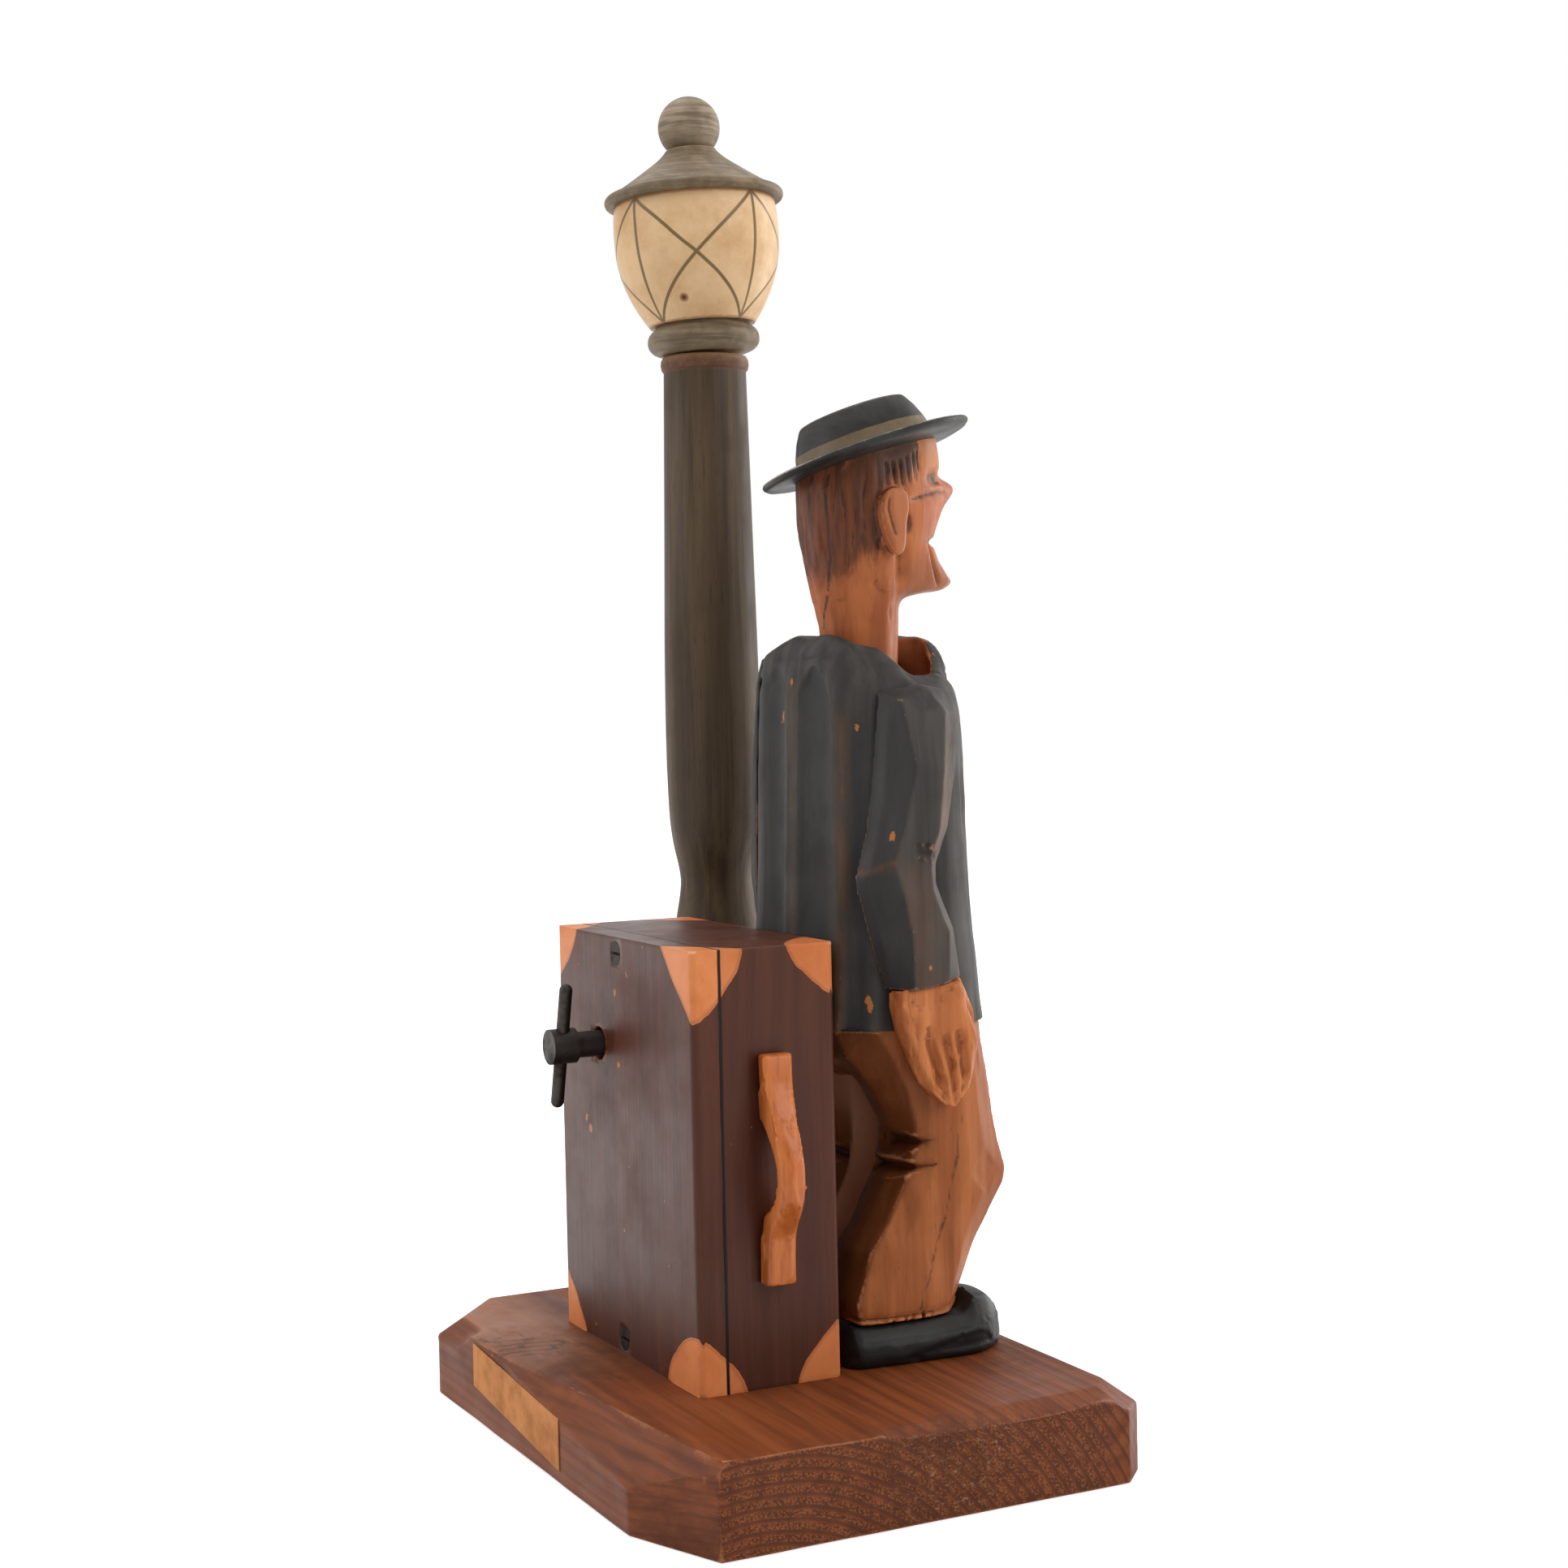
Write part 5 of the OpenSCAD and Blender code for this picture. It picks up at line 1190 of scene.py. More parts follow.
def flakes(obj, chips):
    """How close each point is to a flaked place: 1 at its middle, 0.5 at its border."""
    co = points(obj) - MAN
    near = np.zeros(len(co))
    for spot, size in chips:
        middle = co[np.linalg.norm(co - spot, axis=1).argmin()]
        gap = np.linalg.norm((co - middle) * (1, 1, 0.6), axis=1)
        near = np.maximum(near, np.clip(1 - gap / (2 * size), 0, 1))
    return near


def cut_flutes(obj, outside):
    """Long gouge channels down the back, with ridges between them, and a flat towards the sleeve."""
    x, _, z = (points(obj) - MAN).T
    facing = np.clip((normals(obj)[:, 1] - 0.15) * 2.5, 0, 1) * outside
    depth = np.zeros(len(x))
    for middle, half, deep in FLUTES:
        off = x - (middle + 0.6 * np.sin(z / 31 + middle))
        share = np.clip(1 - (off / half) ** 2, 0, 1)
        cap = np.clip((FLUTE_TOP - np.abs(off) ** 2 / half / 1.2 - z) / 2.2, 0, 1)
        depth = np.maximum(depth, share * cap * deep)
    side = np.clip(1 - (np.abs(-x - 25.4) / 3.2) ** 2, 0, 1) * 1.5 * ease((192 - z) / 16)
    cut = (depth + side) * facing
    push(obj, -cut)
    ridge = np.clip(1 - np.abs(x + 21.6) / 2.6, 0, 1) * facing * (z < 186)
    middle_ridge = 0.35 * np.clip(1 - np.abs(x - 1.2) / 4, 0, 1) * facing * (z < 192)
    store(obj, "rub", ridge + middle_ridge)
    # Channel depth, painted as shade in the flutes
    store(obj, "painted_shade", np.clip(cut / 1.2, 0, 1))


# Shallow cut along the collar's dropped rim, painted dark as shade
COLLAR_RIM = [
    (-13.4, -21, 200.2), (-14.6, -27, 195), (-16.4, -32, 190), (-17, -37, 188.8), (-16.4, -42.4, 189.4),
    (-11, -48.4, 193),
]


def cut_collar(obj):
    """Knife line under the collar roll at the back, a shallow cut along its rim, and knife flats on the
    shoulders; the share of the cuts is painted as shade.
    """
    back, front, half = (v[0] for v in jacket_at(np.array([COLLAR_Z])))
    x = np.array([23, 16, 8, 0, -7, -13, -18])
    y = (back + front) / 2 + (back - front) / 2 * (1 - (np.abs(x) / half) ** 3.2) ** (1 / 3.2)
    z = np.array([200.6, 198.6, 198.0, 198.2, 198.0, 199.2, 199.6])
    nick = 0.55 * carve(obj, in_man(np.stack([x, y, z], 1)), width=2.0, depth=1.9, taper=0.15)
    for k in range(6):
        start = 15.6 - 0.9 * k
        stroke = in_man([(start, -6.6, 199.6), (start - 0.9, -5.6, 197 - 0.3 * k)])
        nick = np.maximum(nick, carve(obj, stroke, width=0.7, depth=0.8, taper=0))
    nick = np.maximum(nick, 0.5 * carve(obj, in_man(COLLAR_RIM), width=1.5, depth=0.9))
    whittle(obj, facet=10, stretch=(1, 1, 1), depth=0.7, sink=0.1, seed=21, share=above(obj, 188, 5))
    return nick


def front_path(*places):
    """Places on the jacket's plain front, from how far across and how high they are."""
    x, z = np.array(places, float).T
    back, front, half = jacket_at(z)
    bow = (1 - np.abs(x / half) ** 2.2) ** (1 / 2.2)
    return in_man(np.stack([x, (back + front) / 2 - (back - front) / 2 * bow, z], 1))


def cut_front(obj):
    """Lapels and a front edge on the side that the picture barely shows."""
    forward = (0, -1, 0)
    front_edge = front_path((-3.4, 93), (-3, 112), (-2.4, 132), (-1, 160))
    lines = carve(obj, front_edge, width=1.6, depth=1.3, taper=0.02, facing=forward)
    for side in (-1, 1):
        fold = front_path((-1, 159), (side * 6, 168), (side * 11, 179), (side * 16, 193))
        notch = front_path((side * 11, 179), (side * 14.5, 178), (side * 17.6, 179.6))
        for path, width, depth, taper in ((fold, 1.7, 1.5, 0.06), (notch, 1.2, 1.1, 0.1)):
            lines = np.maximum(lines, carve(obj, path, width, depth, taper, forward))
        for x, z in ((12, 104), (19, 112), (7, 108), (20, 138)):
            path = front_path((side * x, z), (side * (x + 1), z + 20), (side * x, z + 38))
            carve(obj, path, width=4.2, depth=1.0, taper=0.4, facing=forward, form="soft")
    return lines


def jacket_paint():
    def bare_collar(s, color):
        """Painted shade in the flutes and on the back facets of the sleeves, rubbed ridges, flakes, painted
        shade in the knife cuts, and raw and singed wood where the neck hole was cut.
        """
        ragged = s.plus(s.attr("raw"), s.sway(s.noise(160, 4, 0.6), 0.5))
        wood = s.mix(s.noise(300, 3, 0.6), (176, 104, 60), (118, 64, 34))
        patchy = s.noise(70, 4, 0.7, 0, s.mapped((1, 1, 0.4)))
        painted_shade = s.times(s.attr("painted_shade"), s.step(patchy, 0.3, 0.6, 0.4, 0.85))
        # Painted shade in the flutes and on the sleeves' back facets
        color = s.mix(painted_shade, color, (43, 43, 43))
        rub = s.times(s.attr("rub"), s.step(patchy, 0.36, 0.62, 0.15, 0.9))
        color = s.mix(rub, color, (96, 66, 46))
        chip = s.plus(s.attr("chip"), s.sway(s.noise(520, 4, 0.75), 1.0))
        color = s.mix(s.step(chip, 0.48, 0.6), color, (168, 104, 58))
        # Painted shade in the knife cuts
        color = s.mix(s.times(s.attr("nick"), 0.85), color, (24, 22, 21))
        color = s.mix(s.step(ragged, 0.3, 0.42), color, (30, 24, 20))
        return s.mix(s.step(ragged, 0.44, 0.62), color, wood)

    tones = (66, 62, 58), (47, 44, 42), (136, 98, 74)
    return painted_wood("jacket_charcoal", *tones, "z", roughness=0.6, wear=0.4, extra=bare_collar)


# Sleeve corners from the shoulder to the cuff, each row round the arm: inner back, back, outer ridge,
# outer front, front, inner front, inner
RIGHT_SLEEVE = [
    [(-26.4, -16.4, 188), (-27.4, -17.4, 188.2), (-29, -20.4, 188.4), (-29, -28, 190.2),
     (-28.8, -36, 188.8), (-28.2, -36.4, 188.6), (-27.4, -26, 188.6)],
    [(-27.2, -15.8, 186), (-31, -17.6, 186.2), (-35, -19.4, 185.6), (-32.6, -28.6, 189.4),
     (-30.4, -37.8, 187.2), (-28.7, -38.4, 187), (-28.7, -25, 187)],
    [(-27.4, -15.2, 181), (-32, -17, 181), (-36.6, -20, 180.6), (-37.6, -32, 182.6), (-31, -40, 181.4),
     (-28.7, -40.8, 181), (-28.7, -21, 181)],
    [(-27.2, -13.6, 166), (-33, -15.8, 166.4), (-39.8, -21.7, 167), (-39.1, -30.4, 166),
     (-31.3, -38.5, 166), (-28.7, -39.2, 166), (-28.7, -20.4, 166)],
    [(-27.2, -11.6, 150), (-33, -12.6, 150), (-39.7, -17.4, 150.4), (-39.1, -28.6, 150),
     (-31.3, -35.6, 150), (-28.7, -36.6, 150), (-28.7, -20.4, 150)],
    [(-27.8, -8.6, 139.6), (-33.6, -9.4, 140), (-38.4, -14.7, 141), (-39.6, -26.4, 145.4),
     (-31.4, -33.8, 146), (-28.7, -34.6, 146), (-28.7, -20, 142)],
    [(-27.8, -7.6, 136.6), (-32.6, -8.6, 136.8), (-39.4, -15.6, 137), (-38.6, -26, 139),
     (-31.6, -31.6, 140.4), (-28.7, -32.6, 140.6), (-28.7, -20, 139)],
    [(-28.6, -8, 132), (-33, -9.4, 131.6), (-40.2, -17.3, 131), (-38.9, -26.6, 133), (-33, -30.6, 134.6),
     (-28.7, -32, 135), (-28.7, -20, 133)],
    [(-28.7, -10.8, 121), (-33.4, -12.2, 120.5), (-39.7, -19.7, 119.6), (-37.9, -32, 121), (-33, -36, 122),
     (-28.7, -37.6, 122), (-28.7, -24, 121)],
    [(-28.7, -15.4, 105.9), (-32, -16.6, 105.7), (-38.4, -20.4, 105.4), (-38, -31.2, 107),
     (-34, -37.4, 108), (-28.7, -39, 108.2), (-28.7, -27, 107)],
]
# The left sleeve lies flush with the back of the jacket: its back corners from the shoulder down
LEFT_BACK = [
    [(25.8, -10.2, 200.2), (26.6, -10.4, 200.2), (27.6, -13, 199.8)],
    [(27.4, -8.2, 198.2), (29, -8.3, 198.4), (31.2, -13, 197.8)],
    [(28.7, -6.9, 191), (31.4, -7.6, 191), (36.4, -13, 190.6)],
    [(28.7, -5.9, 170), (32.8, -6.8, 170), (39.4, -13.6, 170)],
    [(28.7, -5.3, 150), (33.4, -6.1, 150), (39.8, -12, 150)],
    [(28.7, -5, 139.6), (33.8, -5.7, 140), (39.4, -11.4, 141)],
    [(28.7, -5, 135), (33.8, -5.6, 135.4), (39.6, -13, 136)],
    [(28.7, -5.2, 131), (33.6, -5.9, 131), (40, -13.6, 131)],
    [(28.7, -6, 121), (33.4, -7, 120.5), (39.6, -15.4, 119.6)],
    [(28.7, -9.4, 105.9), (32, -10.8, 105.7), (38.4, -16, 105.4)],
]
LEFT_TOP = [
    [(27.8, -26, 200.4), (27, -33, 199.4), (25.8, -33.4, 199.2), (25.6, -24, 199.4)],
    [(31.8, -26.6, 198.4), (29.8, -35.6, 196.6), (28.4, -36, 196.2), (28.2, -23, 196.6)],
    [(37.4, -30.4, 188), (31, -39, 188), (28.7, -39.6, 188), (28.7, -20.6, 188)],
]


def sleeve_corners(side):
    corners = np.array(RIGHT_SLEEVE, float)
    if side == "left":
        corners[:, :, 0] *= -1
        corners[:, :3] = LEFT_BACK
        corners[:3, 3:] = LEFT_TOP
    return in_man(corners)


def clear_of_jacket(obj):
    """Moves any point that lies in the jacket block out to its surface."""
    co = points(obj) - MAN
    reach = jacket_reach(co)[0]
    inside = (reach < 1) & (np.abs(co[:, 0]) < SLEEVE_X)
    out_x = np.sign(co[:, 0]) * np.minimum(np.abs(co[:, 0]) / np.maximum(reach, 0.2), SLEEVE_X)
    co[:, 0] = np.where(inside, out_x, co[:, 0])
    set_points(obj, co + MAN)


# Crease behind the elbow
ELBOW_FOLD = [(27.8, -8.2, 138), (33, -9, 138.6), (38.8, -14.9, 141.4)]


def make_sleeves(paint):
    for side, sign, seed in (("right", -1, 4), ("left", 1, 5)):
        obj = facet_loft(side + "_carved_sleeve", sleeve_corners(side), 7, 8)
        smooth(remesh(obj, 0.7), 1)
        co = points(obj) - MAN
        x, _, z = co.T
        free = np.clip((np.abs(x) - SLEEVE_X - 0.5) / 1.5, 0, 1)
        chop = field(co * (1, 1, 0.3), 13, seed) * 0.14 + field(co * (1, 1, 0.5), 5, seed + 9) * 0.05
        push(obj, chop * free)
        nick = cut_elbow(obj, sign)
        clear_of_jacket(obj)
        out = normals(obj)
        bare = ease((out @ np.array([sign * 0.72, -0.69, 0]) - 0.86) / 0.08) * (z > 140)
        fold, _ = along_path(co, np.array(ELBOW_FOLD) * (sign, 1, 1))
        below = ease((139 - z) / 2)
        # Facets that face the back are painted darker as shade
        shaded_side = ease((out[:, 1] - 0.34) / 0.28) * (0.75 + 0.25 * below) * ease((190 - z) / 8)
        worn = 0.4 * ease((150 - z) / 14) * (1 - shaded_side) + np.clip(1.2 - fold / 0.9, 0, 1)
        store(obj, "raw", np.zeros(len(co)))
        store(obj, "painted_shade", shaded_side)
        store(obj, "rub", np.clip(bare * 0.55 + worn, 0, 1))
        joined = ease((31 - np.abs(x)) / 2) * ease((z - 152) / 8)
        store(obj, "edge", np.minimum(store_edges(obj) - nick, 1 - joined))
        # Share of the notch and its splits, painted as shade
        store(obj, "nick", nick)
        if side == "right":
            store(obj, "chip", flakes(obj, SLEEVE_CHIPS))
        mount(decimate(obj, 0.45), "stand", "jacket_paint", paint, side + "_sleeve")


def cut_elbow(obj, sign):
    """Torn notch in the crook of the arm, with splits that run from it."""
    notch = [(39.6, -20.8, 144.4), (39, -24.8, 143.2), (37, -29.4, 141.4)]
    tear = carve(obj, mirrored(notch, sign), width=1.6, depth=1.2)
    for k, (y, z) in enumerate(((-21.6, 145.6), (-22.6, 141.4), (-24.6, 146), (-26.2, 141))):
        split = mirrored([(39.6, -23.4, 143.4), (39.4, y, z)], sign)
        tear = np.maximum(tear, carve(obj, split, width=0.9, depth=1.5 - 0.2 * k, taper=0))
    return tear


# Hand outline from the back of the cuff round by the fingertips: forward and up
HAND_OUTLINE = [
    (-16.6, 105.6), (-16.9, 97), (-18.4, 92), (-21.4, 85.4), (-25.2, 78), (-29.2, 74.6), (-31.6, 72.4),
    (-33.4, 71.9), (-35.4, 71.6), (-37.6, 74.4), (-39.6, 76.6), (-41, 79.4), (-41.2, 84.5), (-42.4, 90.8),
    (-41.2, 97), (-39.4, 102), (-37.2, 107.7),
]
FINGER_CUTS = [
    [(-24.8, 95.5), (-25.2, 91.6), (-28.7, 82.3), (-31.9, 71)],
    [(-30.4, 93), (-32.1, 87.3), (-34.4, 79.2), (-35.8, 70)],
    [(-35, 94), (-36, 88.2), (-37.4, 81.5), (-38.2, 73)],
]
HAND_IN, HAND_OUT = 28.95, 36.6
# Slices of a hand from the palm out: place across and size of the outline
HAND_SLICES = [
    (HAND_IN, 0.9), (HAND_IN + 1.2, 1.0), (HAND_OUT - 2.4, 1.0), (HAND_OUT - 0.8, 0.93), (HAND_OUT, 0.84),
]
THUMB_CUT = [(36, -38, 103), (35, -39.8, 96), (34, -40.6, 91)]
PALM_CUT = [(36, -20.4, 104), (36.2, -21.4, 96), (35, -22.6, 88)]


def make_hands(skin):
    outline = spline(HAND_OUTLINE, 4)
    middle = np.array([-30.5, 92])
    for side, sign, seed in (("right", -1, 7), ("left", 1, 8)):
        rings = []
        for x, grow in HAND_SLICES:
            shape = middle + (outline - middle) * grow
            shape[:, 1] = np.minimum(shape[:, 1], np.interp(-shape[:, 0], [16, 38], [105.6, 107.8]))
            level = np.where(outline[:, 1] > 104, outline[:, 1], shape[:, 1])
            lean = np.clip((92 - level) / 20, 0, 1) * 1.6 * (x > HAND_IN + 2)
            rings.append(np.stack([x - lean, shape[:, 0], level], 1))
        obj = smooth(remesh(loft(side + "_carved_hand", mirrored(rings, sign)), 0.55), 2)
        whittle(obj, facet=5, stretch=(1, 1, 0.4), depth=0.35, sink=0.05, seed=seed)
        outward = (sign, 0, 0)
        for cut in FINGER_CUTS:
            between = mirrored([(35.6, *at) for at in cut], sign)
            tip = mirrored([(x, *cut[-1]) for x in (HAND_IN, HAND_OUT)], sign)
            carve(obj, between, width=2.2, depth=2.6, taper=0.14, facing=outward)
            carve(obj, tip, width=1.3, depth=1.6, taper=0)
        carve(obj, mirrored(THUMB_CUT, sign), width=2.2, depth=0.8, taper=0.3, facing=outward)
        carve(obj, mirrored(PALM_CUT, sign), width=1.0, depth=0.5, facing=outward)
        co = points(obj)
        co[:, 0] = MAN[0] + sign * np.maximum(sign * (co[:, 0] - MAN[0]), HAND_IN)
        set_points(obj, co)
        store_edges(obj)
        mount(decimate(obj, 0.5), "stand", "skin_wood", skin, side + "_hand")


# Trouser leg: height, back ridge, back, front ridge, front, outer and inner plane
LEG = [
    (12.1, -7.2, -6.4, -35, -41, 29.4, 5.6), (17.8, -6.4, -5.6, -36, -42.4, 29.4, 5.6),
    (31.5, -11, -9.4, -41, -49.2, 28.7, 5), (39, -16.7, -14.6, -45, -54, 28.2, 4.5),
    (46, -20.5, -18.4, -48, -59.2, 27.9, 4), (50, -22.6, -20.6, -48.8, -60, 27.8, 4),
    (58, -25.6, -23, -48.5, -57.6, 27.9, 3.5), (65, -26.6, -23.2, -47.5, -56.2, 28.1, 3),
    (76, -24, -17.4, -46.5, -54.4, 28.3, 2.6), (85.4, -19.8, -9.6, -46, -53, 28.4, 2),
    (93.9, -14, -5.6, -45.5, -52, 28.4, 2),
]
# Seat between the legs: height, back, front, half width and squareness
SEAT = [(78, -18, -44, 13.5, 2.6), (85, -7.6, -48.6, 21.5, 2.8), (93.9, -5, -50.5, 24.5, 3)]


def leg_corners(sign):
    rings = []
    for z, ridge, back, edge, front, outer, inner in LEG:
        if sign > 0:
            fuller = 3.5 * float(ease(1 - abs(z - 66) / 22))
            ridge, back = ridge + fuller, back + fuller
        w = outer - inner
        deep = edge - ridge
        outside = [(outer - 2.2, ridge), (outer, ridge + 0.3 * deep), (outer, ridge + 0.72 * deep)]
        in_front = [(outer - 2, edge), (outer - 0.36 * w, front), (inner + 0.3 * w, front)]
        inside = [(inner + 1.5, edge), (inner, (ridge + edge) / 2), (inner + 1.5, ridge)]
        behind = [(inner + 0.3 * w, back), (outer - 0.42 * w, back)]
        rings.append([(x, y, z) for x, y in outside + in_front + inside + behind])
    return mirrored(rings, sign)


def make_trousers():
    legs = [facet_loft("carved_trousers", leg_corners(sign), 3, 4) for sign in (-1, 1)]
    seat = loft("seat", in_man([section(*row) for row in SEAT]))
    obj = smooth(remesh(join(legs + [seat]), 0.8), 1)
    for sign in (-1, 1):
        cut_leg(obj, sign)
    wobble(obj, size=12, height=0.16, seed=9, stretch=(1, 1, 0.5))
    store_edges(obj)
    store(obj, "line", leg_lines(obj))
    co, out = points(obj) - MAN, normals(obj)
    # Back faces get darker stain with painted shade; the far leg's inner side gets a painted highlight
    store(obj, "behind", ease((out[:, 1] - 0.15) / 0.45) * np.where(co[:, 0] > 0, 0.55, 1))
    store(obj, "inner", ease((-out[:, 0] - 0.3) / 0.4) * (co[:, 0] > 0))
    mount(decimate(obj, 0.4), "stand", "trouser_wood", trouser_stain(), "trousers")


def wedge(obj, mouth, apex, half, depth):
    """Chip cut with a knife: widest and deepest at its mouth, running out to a point."""
    co, out = points(obj), normals(obj)
    way = apex - mouth
    t = ((co - mouth) @ way) / (way @ way)
    off = co - mouth - np.clip(t, -0.25, 1)[:, None] * way
    height = np.maximum(half * (1 - np.clip(t, 0, 1)), 0.05)
    share = ease(1 - np.abs(off[:, 2]) / height) * ease((9 - np.linalg.norm(off[:, :2], axis=1)) / 3)
    share = share * (t < 1) * ease((t + 0.6) / 0.3)
    into = np.array([-way[0] * 0.1, way[1] * 0.55, 0]) / max(abs(way[1]), 1e-6)
    facing = np.clip((out @ np.array([np.sign(mouth[0] - MAN[0]) * 0.5, 0.86, 0])) * 3 + 0.6, 0, 1)
    move = (depth * (1 - np.clip(t, 0, 1)) * share * facing)[:, None]
    set_points(obj, co + move * into / np.linalg.norm(into))


# Creases behind the knee: mouth, apex, half height and depth
KNEE_CUTS = [
    ((18, -24.2, 60.8), (25.6, -33.8, 61.8), 4.6, 5.0), ((17, -23.4, 53.6), (28, -36.8, 55.4), 3.0, 4.2),
]
# Shallow folds of the leg: path, width and depth
LEG_FOLDS = [
    ([(28, -47, 54), (24, -54, 47)], 5, 0.8), ([(28, -44, 88), (27, -48, 78)], 4, 0.6),
    ([(28.3, -30, 38), (28.6, -34, 24)], 5, 0.5),
]
HEM = [
    (8, -5, 14.4), (20, -5.6, 14.2), (27.6, -7.4, 13.9), (29.2, -16, 13.9), (29.2, -30, 13.8),
    (27.4, -36, 14.4), (22, -41.4, 15.6), (12, -41.4, 15.6),
]


def cut_leg(obj, sign):
    """Knee creases, cut as deep wedges from behind, and a turn-up line with knife nicks above the shoe."""
    for mouth, apex, half, depth in KNEE_CUTS:
        wedge(obj, mirrored(mouth, sign), mirrored(apex, sign), half, depth)
    for path, width, depth in LEG_FOLDS:
        carve(obj, mirrored(path, sign), width, depth, taper=0.4, form="round")
    carve(obj, mirrored(HEM, sign), width=0.8, depth=0.7, taper=0.05)
    rng = np.random.default_rng(31)
    for k in range(9):
        y = -10.5 - 3.1 * k + rng.uniform(-0.6, 0.6)
        nick = [(29.2, y, 11.6), (29.2, y - 0.4, 11.6 + rng.uniform(1.4, 2.6))]
        carve(obj, mirrored(nick, sign), width=0.7, depth=0.9, taper=0)


SEAM = [(28, -40.1, 67.9), (28, -38.9, 57.5), (28, -35.2, 43), (28.6, -29.1, 25.9), (29.3, -24.6, 14.2)]


def leg_lines(obj):
    """Closeness to the pencilled side seam, 0 to 1."""
    co = points(obj)
    near = np.zeros(len(co))
    for sign in (-1, 1):
        gap, _ = along_path(co, mirrored(SEAM, sign))
        near = np.maximum(near, np.clip(1 - gap / 1.5, 0, 1))
    return near


def trouser_stain():
    """Brown stain, darker behind as stain with painted shade, paler inside the far leg as a painted
    highlight, with painted shade in the cuts and a pencilled side seam.
    """
    s = Shader("trouser_stain", 0.55, specular=0.15)
    fine, broad = grain(s, "z", 800)
    blotch = s.noise(48, 4, 0.6)
    speck = s.noise(420, 4, 0.7)
    pores = s.noise(1500, 2, 0.6, 0, s.mapped((1, 1, 0.25)))
    seam = s.times(s.step(s.attr("line"), 0.45, 0.85), s.step(s.noise(260, 3, 0.6), 0.3, 0.55, 0.25, 0.75))
    tint = s.mix(s.step(broad, 0.3, 0.7), (140, 77, 40), (170, 101, 57))
    tint = s.mix(s.step(fine, 0.52, 0.8, 0, 0.5), tint, (112, 60, 30))
    tint = s.mix(s.step(blotch, 0.5, 0.74, 0, 0.5), tint, (138, 76, 40))
    # Darker behind: stain with painted shade; paler inner side of the far leg: painted highlight
    tint = s.mix(s.times(s.attr("behind"), 0.6), tint, (76, 37, 15))
    tint = s.mix(s.times(s.attr("inner"), 0.75), tint, (190, 136, 108))
    tint = s.mix(s.ridges(speck, 0.4, 0.42, 0.8, 0.6), tint, (206, 144, 98))
    # Painted shade in the cuts and the knee wedges
    tint = s.mix(s.cuts(speck, 0.2, 0.55, 0.75), tint, (62, 30, 12))
    tint = s.mix(s.step(pores, 0.66, 0.76, 0, 0.5), tint, (70, 36, 18))
    tint = s.mix(seam, tint, (66, 40, 26))
    height = s.add((fine, 0.6), (speck, 0.3), (seam, -0.6))
    return s.finish(tint, s.step(blotch, 0.3, 0.7, 0.48, 0.62), height, 0.2)


def round_toe(obj, side):
    """Draws the front of the shoe in to a rounded toe."""
    low, high = box_mm(side + "_shoe")
    co = points(obj)
    start, length = low[1] + 17, 17
    share = np.clip((start - co[:, 1]) / length, 0, 1)
    middle = (low[0] + high[0]) / 2
    across = np.clip(np.abs(co[:, 0] - middle) / ((high[0] - low[0]) / 2), 0, 1)
    co[:, 2] += 2.2 * ease((co[:, 2] - low[2] - 3) / 5) * (1 - across**2) * 4 * share * (1 - share)
    co[:, 0] = middle + (co[:, 0] - middle) * np.sqrt(1 - 0.55 * share**2)
    set_points(obj, co)


# Cuts of a shoe, the arch, the sole's edge and the tongue: path, width, depth and taper
SHOE_CUTS = [
    ([(31.2, -19, 0.6), (31.2, -22, 1.4), (31.2, -26, 0.4)], 1.8, 1.5, 0.2),
    ([(31.2, -7, 3.2), (31.2, -20, 3), (31.2, -36, 3.1), (30, -46, 3.4), (24, -54, 3.8)], 0.8, 0.5, 0.05),
    ([(27, -41.6, 12), (20, -45, 15.4), (10, -43, 14)], 1.2, 0.6, 0.2),
]


def make_shoes():
    tones = (34, 31, 30), (20, 18, 17), (62, 56, 52)
    black = painted_wood("shoe_black", *tones, "y", roughness=0.42, wear=0.2)
    for side, sign, seed in (("right", -1, 10), ("left", 1, 11)):
        obj = smooth(remesh(copy_node(side + "_shoe", side + "_carved_shoe"), 0.8), 5)
        round_toe(obj, side)
        upper = np.clip((points(obj)[:, 2] - MAN[2] - 1.2) / 2, 0, 1)
        whittle(obj, facet=16, stretch=(1, 0.6, 1), depth=0.3, sink=0.04, seed=seed, share=upper)
        for path, width, depth, taper in SHOE_CUTS:
            carve(obj, mirrored(path, sign), width, depth, taper)
        store_edges(obj)
        mount(decimate(obj, 0.5), "stand", "shoe_paint", black, side + "_shoe")


